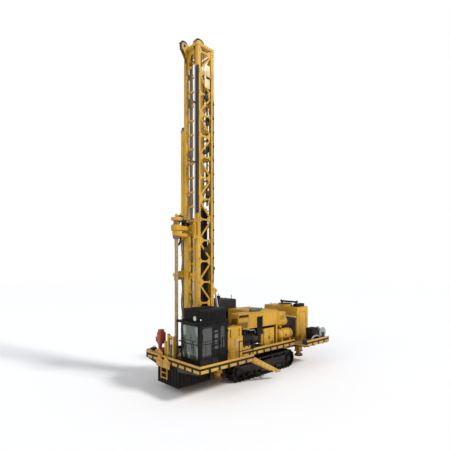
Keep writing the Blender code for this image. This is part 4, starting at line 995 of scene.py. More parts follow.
@dataclass(frozen=True)
class Jacks:
    """Collars, ports and foot pads of the four jacks."""

    places: tuple[tuple[str, float, float], ...] = (("jack_drill_near", -3.05, -1.2),
                                                    ("jack_drill_far", -3.05, 1.2),
                                                    ("jack_rear_near", 4.45, -1.2),
                                                    ("jack_rear_far", 4.45, 1.2))

    def build(self) -> None:
        """Dress the casings and the feet."""
        with Piece("jack_collars", Finish.YELLOW) as collars:
            for _, x, y in self.places:
                for edge in (-1, 1):
                    for low, high in (((x - 0.21, y + edge * 0.195 - 0.015),
                                       (x + 0.21, y + edge * 0.195 + 0.015)),
                                      ((x + edge * 0.195 - 0.015, y - 0.21),
                                       (x + edge * 0.195 + 0.015, y + 0.21))):
                        for z, tall in ((0.725, 0.075), (1.05, 0.04)):
                            collars.block((*low, z), (*high, z + tall), 0.006)
                for way, dx, dy in ((Way.NEAR, 0, -1), (Way.FAR, 0, 1), (Way.REARWARD, 1, 0),
                                    (Way.FORWARD, -1, 0)):
                    collars.bolts([(x + dx * 0.21 + dy * t, y + dy * 0.21 + dx * t, 0.765)
                                   for t in (-0.14, 0, 0.14)], way, 0.022)
        with Piece("jack_ports", Finish.HOSE) as ports:
            for _, x, y in self.places:
                side = -1 if y < 0 else 1
                face = y - side * 0.185
                for dx in (-0.06, 0.06):
                    ports.line(((x + dx, face, 0.92), (x + dx, face - side * 0.06, 0.94),
                                (x + dx, face - side * 0.09, 1.1), (x + dx * 2, side * 0.83, 1.36)), 0.014)
        for name, x, y in self.places:
            with Piece(f"{name}_pad", Finish.SHOE, name) as pad:
                pad.turned(((0, 0.012), (0.255, 0.012), (0.282, 0.03), (0.282, 0.075), (0.268, 0.085),
                            (0.268, 0.1)), (x, y, 0.41), capped=False)
                for across, down in around(4, 0.5):
                    pad.beam((x + across * 0.11, y + down * 0.11, 0.6),
                             (x + across * 0.25, y + down * 0.25, 0.525), 0.02, 0.03)
                    pad.bolts([(x + across * 0.235, y + down * 0.235, 0.52)], Way.UP)


# Deck and frame


@dataclass(frozen=True)
class Deck:
    """Edge panels, toe line, tread plates, brackets and lamps of the deck."""

    near_runs: tuple[tuple[float, float, float], ...] = ((-5.56, -1.98, -2.85), (-1.82, 2.96, -1.93),
                                                         (3.04, 5.56, -2.85))
    far_runs: tuple[tuple[float, float, float], ...] = ((-5.56, -1.3, 1.9), (-1.21, 1.21, 2.85),
                                                        (1.3, 2.96, 1.93), (3.04, 5.56, 2.85))
    panel: float = 0.5
    space: float = 0.15

    def build(self) -> None:
        """Dress the deck."""
        self.edge_panels()
        self.toe_line()
        self.tread_plates()
        self.brackets()

    def edge_panels(self) -> None:
        """Row of separate yellow panels along every edge."""
        with Piece("edge_panels", Finish.YELLOW) as panels, \
                Piece("edge_backs", Finish.BLACK) as backs, \
                Piece("edge_bolts", Finish.CAST) as bolts:
            for side, runs in ((-1, self.near_runs), (1, self.far_runs)):
                for start, end, y in runs:
                    count = max(1, round((end - start + self.space) / (self.panel + self.space)))
                    step = (end - start + self.space) / count
                    low, high = y + side * 0.002, y + side * 0.03
                    backs.block((start - 0.04, y + side * 0.0005, 1.475),
                                (end + 0.04, y + side * 0.006, 1.76))
                    for index in range(count):
                        x = start + index * step
                        panels.block((x, low, 1.5), (x + step - self.space, high, 1.645), 0.02, 2)
                        bolts.bolts([(x + 0.07, y + side * 0.03, 1.57),
                                     (x + step - self.space - 0.07, y + side * 0.03, 1.57)], Way.out(side),
                                    0.024)
            for x, way in ((-5.6, -1), (5.6, 1)):
                low, high = x + way * 0.002, x + way * 0.03
                backs.block((x + way * 0.0005, -2.85, 1.475), (x + way * 0.006, 1.9 if x < 0 else 2.85,
                                                               1.76))
                last = 1.84 if x < 0 else 2.8
                count = 8 if x < 0 else 9
                step = (last + 2.82) / count
                for index in range(count):
                    y = -2.82 + index * step
                    panels.block((low, y, 1.5), (high, y + step - self.space, 1.645), 0.02, 2)

    def toe_line(self) -> None:
        """Continuous yellow line above the panels, on short posts."""
        with Piece("toe_line", Finish.YELLOW) as line, \
                Piece("toe_posts", Finish.BLACK) as posts:
            line.block((-5.628, -2.86, 1.755), (-5.602, 1.9, 1.865), 0.01, 2)
            for start, end, y in ((-5.6, -1.93, -2.866), (3.02, 5.6, -2.866), (-1.85, 2.97, -1.946)):
                line.block((start, y - 0.014, 1.755), (end, y + 0.014, 1.865), 0.01, 2)
                count = round((end - start) / 0.62) + 1
                for index in range(count):
                    x = start + 0.04 + index * (end - start - 0.08) / (count - 1)
                    posts.block((x - 0.02, y + 0.005, 1.5), (x + 0.02, y + 0.022, 1.85))

    def tread_plates(self) -> None:
        """Chequered plates on the walkways."""
        sheets = (
            # x and y of two corners
            (-5.54, -2.79, -1.96, -2.24), (-5.54, -2.2, -5.14, -0.7), (-4.4, 0.95, -3.2, 1.85),
            (-3.12, 0.95, -1.96, 1.85), (-1.86, 1.2, -1.3, 1.86), (-1.86, -1.9, 0.5, -1.64),
            (0.52, -1.9, 2.94, -1.62), (1.75, 0.2, 2.94, 1.86), (3.06, -2.79, 3.9, -0.2),
            (3.06, -0.16, 3.9, 2.79), (3.94, 1.5, 5.54, 2.79), (4.78, -2.05, 5.54, -1.5),
            (5.24, -1.44, 5.54, 1.44), (-1.2, 1.25, 1.2, 2.8),
        )
        with Piece("tread_plates", Finish.TREAD) as plates:
            for x0, y0, x1, y1 in sheets:
                plates.block((x0, y0, DECK_TOP + 0.001), (x1, y1, DECK_TOP + 0.009), 0.003)
        with Piece("tread_screws", Finish.CAST) as screws:
            for x0, y0, x1, y1 in sheets:
                screws.bolts([(x, y, DECK_TOP + 0.008) for x in (x0 + 0.05, x1 - 0.05)
                              for y in (y0 + 0.05, y1 - 0.05)], Way.UP, 0.022)

    def brackets(self) -> None:
        """Triangular plates that carry the overhanging deck."""
        groups = (
            # x of the plates, inner and outer y on both sides, lowest z
            ((-1.5, -0.5, 0.5, 1.5, 2.5), 0.83, 1.86, 1.26),
            ((3.35, 4.0, 5.0, 5.5), 0.83, 2.78, 1.22),
        )
        with Piece("deck_brackets", Finish.DARK) as brackets:
            for places, inner, outer, low in groups:
                for x in places:
                    for side in (-1, 1):
                        brackets.outline(((side * inner, 1.478), (side * outer, 1.478), (side * outer, 1.4),
                                          (side * inner, low)), Plane.END, x - 0.01, x + 0.01)
            for x in (-5.5, -4.6, -3.6, -2.7, -2.05):
                brackets.outline(((-0.94, 1.478), (-2.78, 1.478), (-2.78, 1.4), (-0.94, 1.2)), Plane.END,
                                 x - 0.01, x + 0.01)
                brackets.outline(((0.94, 1.478), (1.84, 1.478), (1.84, 1.4), (0.94, 1.24)), Plane.END,
                                 x - 0.01, x + 0.01)
            for x0, x1, y in ((-5.55, -1.95, -1.75), (3.05, 5.55, -1.75), (-5.55, -1.95, -2.6),
                              (3.05, 5.55, -2.6), (3.05, 5.55, 2.6), (-1.2, 1.2, 2.6)):
                brackets.block((x0, y - 0.04, 1.4), (x1, y + 0.04, 1.478), 0.01)


# Cab


@dataclass(frozen=True)
class Cab:
    """Window gaskets, lamps, wipers, grab rails and fittings of the cab."""

    x: tuple[float, float] = (-5.1, -3.2)
    y: tuple[float, float] = (-2.2, -0.66)
    top: float = 4.36

    def build(self) -> None:
        """Dress the cab outside and inside."""
        self.gaskets()
        self.wipers()
        self.lamps()
        self.grab_rails()
        self.roof_unit()
        self.fittings()
        self.inside()

    def gaskets(self) -> None:
        """Rubber frames with rounded corners round the panes."""
        x0, x1 = self.x
        y0, y1 = self.y
        with Piece("window_gaskets", Finish.HOSE) as gaskets:
            gaskets.frame((y0 + 0.12, 1.9), (y1 - 0.1, 3.56), Plane.END, x0 - 0.014, x0 + 0.004)
            gaskets.frame((-4.93, 1.99), (-4.23, 3.47), Plane.SIDE, y0 - 0.014, y0 + 0.004, 0.05, 0.2)
            gaskets.frame((-4.9, 1.98), (-3.8, 3.48), Plane.SIDE, y1 - 0.004, y1 + 0.014)
            gaskets.frame((y0 + 0.4, 2.48), (y1 - 0.25, 3.48), Plane.END, x1 - 0.004, x1 + 0.014)
        with Piece("door_gasket", Finish.HOSE, "cab_door") as gasket:
            gasket.frame((-3.744, 2.33), (-3.396, 3.454), Plane.SIDE, y0 - 0.013, y0 - 0.002, 0.018, 0.06)
        with Piece("door_panel", Finish.BLACK, "cab_door") as panel:
            panel.block((-3.74, y0 - 0.012, 1.76), (-3.4, y0 - 0.002, 2.24), 0.004)
            panel.bolts([(x, y0 - 0.012, z) for x in (-3.71, -3.43) for z in (1.8, 2.2)], Way.NEAR, 0.016)

    def wipers(self) -> None:
        """Arms and blades on the windscreen and the drill-side window."""
        x = self.x[0] - 0.03
        with Piece("wipers", Finish.HOSE) as wipers:
            for y, lean in ((-1.85, 0.3), (-1.1, 0.28)):
                wipers.turned(((0, 0.04), (0.03, 0.035), (0.035, 0)), (self.x[0] - 0.002, y, 1.93),
                              Way.FORWARD, 14)
                wipers.beam((x - 0.01, y, 1.93), (x - 0.01, y + lean, 2.75), 0.012, 0.02)
                wipers.beam((x + 0.012, y + lean - 0.06, 2.36), (x + 0.012, y + lean + 0.06, 3.1), 0.012,
                            0.014)

    def lamps(self) -> None:
        """Work lamps on the front of the roof."""
        spots = (
            # x, y, z, radius
            (-5.36, -2.17, 4.0, 0.14),
        )
        with Piece("lamp_bodies", Finish.BLACK) as bodies, \
                Piece("lamp_lenses", Finish.LENS) as lenses:
            for x, y, z, radius in spots:
                bodies.turned(((0, -0.13), (radius * 0.55, -0.12), (radius * 0.95, -0.04), (radius, 0),
                               (radius, 0.02), (radius * 0.9, 0.022), (radius * 0.88, 0.005), (0, 0)),
                              (x, y, z), Way.FORWARD, 24)
                lenses.turned(((0, 0.025), (radius * 0.5, 0.02), (radius * 0.86, 0.006), (0, 0.004)),
                              (x, y, z), Way.FORWARD, 24)
                bodies.block((x + 0.02, y - 0.02, 3.775), (x + 0.08, y + 0.02, z - radius * 0.6), 0.004)
                bodies.block((x, y - 0.07, 3.775), (x + 0.1, y + 0.07, 3.79), 0.004)
        with Piece("side_lamp_rims", Finish.BLACK) as rims, \
                Piece("side_lamp_lenses", Finish.CREAM) as amber:
            for x, z in ((-4.98, 3.88),):
                rims.turned(((0.05, 0.02), (0.055, 0)), (x, self.y[0] + 0.075, z), Way.NEAR, 16)
                amber.turned(((0, 0.045), (0.03, 0.04), (0.042, 0.02), (0, 0.018)),
                             (x, self.y[0] + 0.075, z), Way.NEAR, 16)

    def grab_rails(self) -> None:
        """Black rail round the cab, handles beside the door and steps."""
        z = 2.72
        with Piece("grab_rails", Finish.BLACK) as rails:
            rails.line(((-5.11, -0.72, z), (-5.27, -0.74, z), (-5.3, -0.9, z), (-5.3, -2.2, z),
                        (-5.22, -2.36, z), (-5.05, -2.4, z), (-4.05, -2.4, z), (-3.93, -2.36, z),
                        (-3.92, -2.2, z)), 0.021, 10)
            for x, y in ((-5.3, -1.4), (-5.26, -2.31), (-4.5, -2.4)):
                rails.bar((x, y, 1.585), (x, y, z), 0.017, 10)
                rails.turned(((0.05, 0.012), (0.055, 0)), (x, y, 1.588), Way.UP, 14)
            for height in (3.12, 2.82, 2.52):
                rails.block((-4.19, -2.25, height), (-3.88, -2.215, height + 0.07), 0.012, 2)
                for x in (-4.17, -3.9):
                    rails.line(((x, -2.195, height + 0.035), (x, -2.235, height + 0.035)), 0.02)
            rails.line(((-3.875, -2.19, 2.0), (-3.875, -2.26, 2.03), (-3.875, -2.26, 2.37),
                        (-3.875, -2.19, 2.4)), 0.013, 8, False)

    def roof_unit(self) -> None:
        """Grilles, filter covers and seams of the cooling unit."""
        y0, y1 = self.y
        with Piece("roof_grilles", Finish.BLACK) as grilles:
            for x in range(3):
                low = -4.9 + x * 0.55
                grilles.frame((low, 3.9), (low + 0.42, 4.24), Plane.SIDE, y0 + 0.066, y0 + 0.082, 0.02, 0)
                for slat in range(7):
                    z = 3.925 + slat * 0.045
                    grilles.beam((low, y0 + 0.072, z), (low + 0.42, y0 + 0.072, z), 0.024, 0.008)
            grilles.frame((-1.95, 3.92), (-0.95, 4.22), Plane.END, self.x[0] + 0.085, self.x[0] + 0.1, 0.02,
                          0)
            for slat in range(8):
                z = 3.94 + slat * 0.037
                grilles.beam((self.x[0] + 0.092, -1.95, z), (self.x[0] + 0.092, -0.95, z), 0.008, 0.02)
            for x in (-4.65, -3.75):
                grilles.ring((x, -1.42, self.top + 0.012), Way.UP, 0.26, 0.016, 28, 6)
                grilles.ring((x, -1.42, self.top + 0.012), Way.UP, 0.15, 0.009, 24, 6)
                for across, over in around(12)[:6]:
                    reach = Vector((across, over, 0)) * 0.26
                    centre = Vector((x, -1.42, self.top + 0.014))
                    grilles.bar(centre - reach, centre + reach, 0.007, 6)
        with Piece("roof_seams", Finish.BLACK) as seams:
            for x in (-4.35, -4.25):
                seams.block((x - 0.012, y0 + 0.08, 3.79), (x + 0.012, y1 - 0.05, self.top + 0.008), 0.003)
            seams.bolts([(x, y, self.top - 0.001) for x in (-4.93, -3.35) for y in (-2.02, -1.4, -0.8)],
                        Way.UP)
            for x in (-5.3, -3.3):
                for y in (-2.16, -0.72):
                    seams.ring((x, y, 3.8), Way.REARWARD, 0.03, 0.009, 14, 6)

    def fittings(self) -> None:
        """Mirror, vent panel, mounts and bolts of the shell."""
        y0 = self.y[0]
        with Piece("side_vent", Finish.GREY) as vent:
            vent.block((-4.16, y0 - 0.008, 2.36), (-3.89, y0 + 0.004, 3.3), 0.05, 3)
        with Piece("cab_mirror", Finish.BLACK) as mirror:
            mirror.line(((-5.04, y0, 3.4), (-5.12, y0 - 0.16, 3.44), (-5.16, y0 - 0.24, 3.3),
                         (-5.16, y0 - 0.25, 3.12)), 0.012)
            mirror.block((-5.19, y0 - 0.34, 2.95), (-5.14, y0 - 0.16, 3.25), 0.014, 2)
        with Piece("mirror_glass", Finish.CHROME) as glass:
            glass.block((-5.139, y0 - 0.325, 2.965), (-5.136, y0 - 0.175, 3.235), 0.001)
        with Piece("cab_mounts", Finish.DARK) as mounts:
            for x in (-4.9, -3.4):
                for y in (y0 + 0.15, self.y[1] - 0.15):
                    mounts.turned(((0.1, 0.05), (0.12, 0.03), (0.1, 0)), (x, y, 1.585), Way.UP, 18)
            mounts.block((-5.06, y0 - 0.012, 1.64), (-3.9, y0 + 0.004, 1.9), 0.006)
            mounts.bolts([(-5.0 + index * 0.21, y0 - 0.012, z) for index in range(6) for z in (1.68, 1.86)],
                         Way.NEAR, 0.018)
            for index in range(5):
                z = 2.05 + index * 0.05
                mounts.beam((-3.26, y0 + 0.5, z - 0.35), (-3.26, y0 + 0.9, z - 0.35), 0.02, 0.02)

    def inside(self) -> None:
        """Console, screens, pedals and seat trim."""
        with Piece("cab_console", Finish.DARK) as console:
            for y0, y1 in ((-1.97, -1.8), (-1.15, -0.98)):
                console.block((-4.36, y0, 2.06), (-3.84, y1, 2.2), 0.025, 2)
                console.block((-4.2, y0 + 0.03, 1.642), (-3.95, y1 - 0.03, 2.08), 0.02)
                console.bar((-4.28, (y0 + y1) / 2, 2.19), (-4.29, (y0 + y1) / 2, 2.33), 0.011, 10)
                console.turned(((0, 0.09), (0.02, 0.085), (0.03, 0.05), (0.022, 0)),
                               (-4.29, (y0 + y1) / 2, 2.31), Way.UP, 14)
            for y, post in ((-1.9, -1.72), (-1.35, -1.18)):
                console.block((-4.97, y, 2.12), (-4.9, y + 0.35, 2.42), 0.015, 2)
                console.beam((-4.93, post, 1.66), (-4.93, post, 2.14), 0.04, 0.04)
            for y in (-1.62, -1.33):
                console.block((-4.86, y - 0.05, 1.7), (-4.62, y + 0.05, 1.72), 0.006, 1,
                              Matrix.Rotation(math.radians(24), 4, "Y"))
        with Piece("console_screens", Finish.SCREEN) as screens:
            for y in (-1.9, -1.35):
                screens.block((-4.899, y + 0.03, 2.15), (-4.894, y + 0.32, 2.39), 0.002)


@dataclass(frozen=True)
class OperatorSeat:
    """Sprung seat with crowned cloth cushions, on its bellows."""

    voxel: float = 0.012
    limit: float = 0.018
    middle: float = -1.475
    pressure: float = 4.0
    seam_depth: float = 0.009
    seam_width: float = 0.008

    def build(self) -> None:
        """Make the cushions, the shell, the arm rests and the bellows."""
        across = (self.middle - 0.14, self.middle + 0.14)
        for name, low, high, seams in (("seat_cushion", (-4.23, self.middle - 0.25, 1.99),
                                        (-3.77, self.middle + 0.25, 2.1),
                                        ((1, across[0]), (1, across[1]), (0, -4.08))),
                                       ("seat_back", (-3.76, self.middle - 0.24, 2.12),
                                        (-3.65, self.middle + 0.24, 2.74),
                                        ((1, across[0]), (1, across[1]), (2, 2.34), (2, 2.55))),
                                       ("seat_headrest", (-3.755, self.middle - 0.13, 2.8),
                                        (-3.665, self.middle + 0.13, 2.98), ((2, 2.89),))):
            self.cushion(name, low, high, seams)
        with Piece("seat_shell", Finish.BLACK) as shell:
            shell.block((-4.22, self.middle - 0.24, 1.955), (-3.66, self.middle + 0.24, 1.992), 0.015, 2)
            shell.block((-3.66, self.middle - 0.22, 1.97), (-3.63, self.middle + 0.22, 2.76), 0.012, 2)
            for y in (self.middle - 0.07, self.middle + 0.07):
                shell.bar((-3.7, y, 2.7), (-3.7, y, 2.86), 0.008, 10)
            for y in (self.middle - 0.29, self.middle + 0.29):
                shell.line(((-4.12, y, 2.27), (-3.9, y, 2.28), (-3.66, y, 2.28)), 0.028, 12)
                shell.line(((-3.66, y, 2.28), (-3.65, y * 0.9 + self.middle * 0.1, 2.2)), 0.02, 10)
            shell.block((-4.12, self.middle - 0.17, 1.645), (-3.76, self.middle + 0.17, 1.68), 0.01)
            for index in range(6):
                z = 1.69 + index * 0.044
                inset = 0.02 * (index % 2)
                shell.block((-4.08 + inset, self.middle - 0.15 + inset, z),
                            (-3.78 - inset, self.middle + 0.15 - inset, z + 0.046), 0.016, 2)

    def cushion(self, name: str, low: Point, high: Point, seams: tuple) -> None:
        """One cushion, swollen by cloth, with its sewn channels.

        Args:
            name: Name of the piece.
            low: Lowest corner before it swells.
            high: Highest corner before it swells.
            seams: Axis and place of each sewn channel.
        """
        piece = Piece(name, Finish.CLOTH)
        piece.block(low, high, 0.03, 3)
        made = piece.finished()
        voxels = made.modifiers.new("voxels", "REMESH")
        voxels.mode = "VOXEL"
        voxels.voxel_size = self.voxel
        self.settle(made)
        self.swell(made)
        maker = bmesh.new()
        maker.from_mesh(made.data)
        bmesh.ops.smooth_vert(maker, verts=maker.verts, factor=0.5, use_axis_x=True, use_axis_y=True,
                              use_axis_z=True)
        maker.normal_update()
        for vert in maker.verts:
            depth = sum(math.exp(-((vert.co[axis] - place) / self.seam_width) ** 2)
                        for axis, place in seams if abs(vert.normal[axis]) < 0.6)
            vert.co -= vert.normal * self.seam_depth * min(depth, 1.0)
        for face in maker.faces:
            face.smooth = True
        maker.to_mesh(made.data)
        maker.free()
        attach(made, "chassis")
        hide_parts("operator_seat")

    def settle(self, made: bpy.types.Object) -> None:
        """Apply what the modifiers of a piece give."""
        graph = bpy.context.evaluated_depsgraph_get()
        mesh = bpy.data.meshes.new_from_object(made.evaluated_get(graph))
        made.modifiers.clear()
        made.data = mesh

    def swell(self, made: bpy.types.Object) -> None:
        """Blow a cushion up as cloth, no point further than the limit."""
        before = [vert.co.copy() for vert in made.data.vertices]
        cloth = made.modifiers.new("cloth", "CLOTH")
        cloth.settings.use_pressure = True
        cloth.settings.uniform_pressure_force = self.pressure
        cloth.settings.effector_weights.gravity = 0
        for frame in range(1, 16):
            bpy.context.scene.frame_set(frame)
        self.settle(made)
        bpy.context.scene.frame_set(1)
        for vert, start in zip(made.data.vertices, before):
            step = vert.co - start
            if step.length > self.limit:
                vert.co = start + step.normalized() * self.limit


# Mast


@dataclass(frozen=True)
class Mast:
    """Gussets, sleeves' bolts, ropes, hoses and lamps of the mast."""

    front: float = -3.85
    rear: float = -2.9
    chord_y: float = 0.52
    foot: float = 1.92
    top: float = 18.5
    panels: int = 14
    trough: tuple[float, float] = (9.2, 14.2)

    def build(self) -> None:
        """Dress the mast from foot to crown."""
        self.gussets()
        self.sleeves()
        self.feed_chain()
        self.hose_bundle()
        self.trough_hoses()
        self.ropes()
        self.plates()
        self.crown()
        self.lamps()
        self.pins()

    def levels(self) -> list[float]:
        """Heights of the battens."""
        first = self.foot + 0.3
        step = (self.top - 0.25 - first) / self.panels
        return [first + index * step for index in range(self.panels + 1)]

    def gussets(self) -> None:
        """Corner plates where braces meet the chords."""
        with Piece("mast_gussets", Finish.MAST_YELLOW, "mast") as gussets:
            for index, z in enumerate(self.levels()):
                meets_front = index % 2 == 1
                for x, out in ((self.front + 0.1, 1), (self.rear - 0.1, -1)):
                    wide = 0.26 if (out == 1) == meets_front else 0.14
                    low, high = max(z - wide, self.foot + 0.02), min(z + wide, self.top - 0.02)
                    gussets.outline(((x - out * 0.02, low), (x + out * 0.05, low),
                                     (x + out * wide, z - 0.05), (x + out * wide, z + 0.05),
                                     (x + out * 0.05, high), (x - out * 0.02, high)), Plane.SIDE,
                                    -self.chord_y - 0.062, -self.chord_y - 0.048)
                for side in (-1, 1):
                    wide = 0.24 if (index % 2 == 1) == (side == 1) else 0.13
                    y = side * (self.chord_y - 0.1)
                    low, high = max(z - wide, self.foot + 0.02), min(z + wide, self.top - 0.02)
                    gussets.outline(((y + side * 0.02, low), (y - side * 0.05, low),
                                     (y - side * wide, z - 0.05), (y - side * wide, z + 0.05),
                                     (y - side * 0.05, high), (y + side * 0.02, high)), Plane.END,
                                    self.rear + 0.048, self.rear + 0.06)
        with Piece("gusset_bolts", Finish.CAST, "mast") as bolts:
            for z in self.levels():
                bolts.bolts([(x, -self.chord_y - 0.1, z + lift) for x in (self.front, self.rear)
                             for lift in (-0.06, 0.06)], Way.NEAR)

    def sleeves(self) -> None:
        """Edge beads and bolts of the sleeves on the lower chords."""
        with Piece("sleeve_bolts", Finish.CAST, "mast") as bolts:
            for x, top in ((self.front, 9.0), (self.rear, 7.9)):
                for side in (-1, 1):
                    way = Way.out(side)
                    count = int((top - 2.3) / 0.42)
                    bolts.bolts([(x + dx, side * (self.chord_y + 0.1), 2.3 + index * 0.42)
                                 for index in range(count) for dx in (-0.055, 0.055)], way, 0.026)
        with Piece("sleeve_beads", Finish.MAST_YELLOW, "mast") as beads:
            for x, top in ((self.front, 9.3), (self.rear, 8.2)):
                for side in (-1, 1):
                    for edge in (-1, 1):
                        beads.beam((x + edge * 0.085, side * 0.228, 1.98),
                                   (x + edge * 0.085, side * 0.228, top - 0.8), 0.018, 0.03)
                    beads.block((x - 0.11, side * 0.5, top - 0.26), (x + 0.11, side * 0.632, top - 0.2),
                                0.006)
                    beads.block((x - 0.112, side * 0.23, 1.93), (x + 0.112, side * 0.634, 2.0), 0.008)

    def feed_chain(self) -> None:
        """Feed rack of the near front chord, and a dark strip of painted shade on its near face."""
        with Piece("feed_rack_and_shade_strip", Finish.RACK, "mast") as racks:
            low, high = -0.425, -0.38
            racks.block((-3.947, low, 2.15), (-3.925, high, self.top - 0.1), 0.004)
            # Thin dark strip at the front of the near face: painted shade, beside the shaded drill-end
            # face.
            racks.block((-3.946, -0.636, 9.4), (-3.87, -0.6205, 17.4), 0.006)
            count = 128
            step = (self.top - 2.4) / count
            for index in range(count):
                z = 2.2 + index * step
                racks.block((-3.928, low + 0.004, z), (-3.88, high - 0.003, z + step * 0.5))

    def hose_bundle(self) -> None:
        """Hoses down the inner side of the far front chord, in clamps."""
        with Piece("mast_hoses", Finish.MAST_HOSE, "mast") as hoses:
            for index, radius in enumerate((0.032, 0.026, 0.032, 0.026, 0.022)):
                x = -3.7 + 0.012 * (index % 2)
                y = 0.395 - index * 0.062
                wave = [(x + 0.012 * math.sin(step * 1.7 + index), y + 0.008 * math.cos(step * 1.3 + index),
                         17.9 - step * 0.8) for step in range(20)]
                hoses.line([(x - 0.02, y + 0.01, 18.35)] + wave + [(x + 0.15, y, 2.15)], radius)
        with Piece("hose_clamps", Finish.MAST_YELLOW, "mast") as clamps:
            for index in range(20):
                z = 2.6 + index * 0.8
                clamps.block((-3.752, 0.1, z), (-3.645, 0.435, z + 0.12), 0.014, 2)
                clamps.bolts([(-3.698, y, z + 0.12) for y in (0.13, 0.4)], Way.UP, 0.022)
        with Piece("hose_wraps", Finish.TAUPE, "mast") as wraps:
            for z, tall in ((4.2, 0.5), (6.9, 0.36), (9.9, 0.6), (12.6, 0.42), (15.4, 0.5), (17.0, 0.3)):
                wraps.block((-3.775, 0.13, z), (-3.635, 0.43, z + tall), 0.05, 3)

    def trough_hoses(self) -> None:
        """Hoses in the trough and its grey cap."""
        x, (low, high) = self.front - 0.03, self.trough
        with Piece("trough_hoses", Finish.HOSE, "mast") as hoses:
            for index in range(3):
                y = 0.685 + index * 0.035
                hoses.line([(x - 0.028 + index * 0.028, y, low - 0.08 + step * 0.62) for step in range(9)],
                           0.026)
        with Piece("cable_tray", Finish.MAST_YELLOW, "mast") as tray:
            tray.block((x - 0.085, 0.8, low + 0.02), (x + 0.085, 0.895, high - 0.1), 0.012, 2)
        with Piece("hanging_hoses", Finish.MAST_HOSE, "mast") as hanging:
            for x0, out, sway in ((-3.95, 0.7, 0.03), (-3.88, 0.75, -0.035), (-3.98, 0.77, 0.05)):
                for top, low_end, count in ((9.16, 6.14, 9), (5.94, 2.3, 11)):
                    hanging.line([(x0, out + sway * math.sin(step * 1.35 + x0 * 9),
                                   top + (low_end - top) * step / count) for step in range(count + 1)],
                                 0.036, 10)
        with Piece("hanging_clamps", Finish.MAST_YELLOW, "mast") as clamps:
            for z in (8.3, 7.1, 4.9, 3.6, 2.4):
                clamps.block((-4.03, 0.622, z), (-3.83, 0.835, z + 0.07), 0.012, 2)
        with Piece("trough_cap", Finish.GREY, "mast") as cap:
            cap.block((x - 0.115, 0.622, high - 0.03), (x + 0.115, 0.8, high + 0.16), 0.02, 2)
            cap.block((x - 0.095, 0.79, high - 0.12), (x + 0.095, 0.905, high + 0.06), 0.03, 3)
        with Piece("trough_bands", Finish.MAST_YELLOW, "mast") as bands:
            for index in range(9):
                z = low + 0.3 + index * 0.56
                bands.block((x - 0.108, 0.63, z), (x + 0.108, 0.81, z + 0.06), 0.006)
            bands.bolts([(x - 0.108, 0.72, low + 0.33 + index * 0.56) for index in range(9)], Way.FORWARD,
                        0.022)
        with Piece("hoist_rope_eye", Finish.DARK, "mast") as eye:
            eye.block((-4.36, 0.67, 9.3), (-3.98, 0.73, 9.36), 0.008)
            eye.block((-4.36, 0.39, 9.3), (-4.29, 0.73, 9.36), 0.008)
            eye.ring((-4.332, 0.42, 9.42), Way.FAR, 0.036, 0.012, 16, 6)

    def ropes(self) -> None:
        """Hoist ropes over the crown sheaves."""
        with Piece("hoist_ropes", Finish.ROPE, "mast") as ropes:
            for x, y, radius, front_end, rear_end in ((-3.6, -0.3, 0.325, 6.3, 2.75),
                                                      (-4.12, 0.42, 0.213, 18.02, 18.3)):
                z = 19.0 - {0.325: 0.36, 0.213: 0.25}[radius]
                arc = [(x - radius * math.cos(math.pi * step / 12), y,
                        z + radius * math.sin(math.pi * step / 12)) for step in range(13)]
                tail = [(x - radius, y, front_end)] if y < 0 else [(-3.99, y, 18.12), (-4.22, y, 18.5)]
                ropes.line([*tail, *arc, (x + radius, y, rear_end)], 0.011, 8, False)
        with Piece("rope_sockets", Finish.CAST, "mast") as sockets:
            for x, y, z in ((-3.925, -0.3, 6.15), (-3.99, 0.42, 17.94)):
                sockets.turned(((0.03, 0), (0.032, 0.09), (0.02, 0.2), (0, 0.21)), (x, y, z), Way.UP, 12)
            sockets.block((-3.95, -0.34, 6.12), (-3.88, -0.26, 6.17), 0.008)
            sockets.block((-4.02, 0.39, 17.89), (-3.945, 0.45, 17.95), 0.012)
        with Piece("hoist_winch", Finish.DARK, "mast") as winch:
            winch.turned(((0.2, -0.2), (0.2, -0.18), (0.12, -0.17), (0.12, 0.17), (0.2, 0.18), (0.2, 0.2)),
                         (-3.3, -0.18, 2.62), Way.FAR, 24)
            for y in (-0.42, 0.03):
                winch.block((-3.52, y, 2.36), (-3.08, y + 0.035, 2.8), 0.02)
            winch.block((-3.82, -0.42, 2.3), (-2.95, 0.09, 2.37), 0.01)
        with Piece("winch_rope", Finish.ROPE, "mast") as wound:
            for index in range(13):
                wound.ring((-3.3, -0.33 + index * 0.025, 2.62), Way.FAR, 0.13, 0.0125, 24, 6)

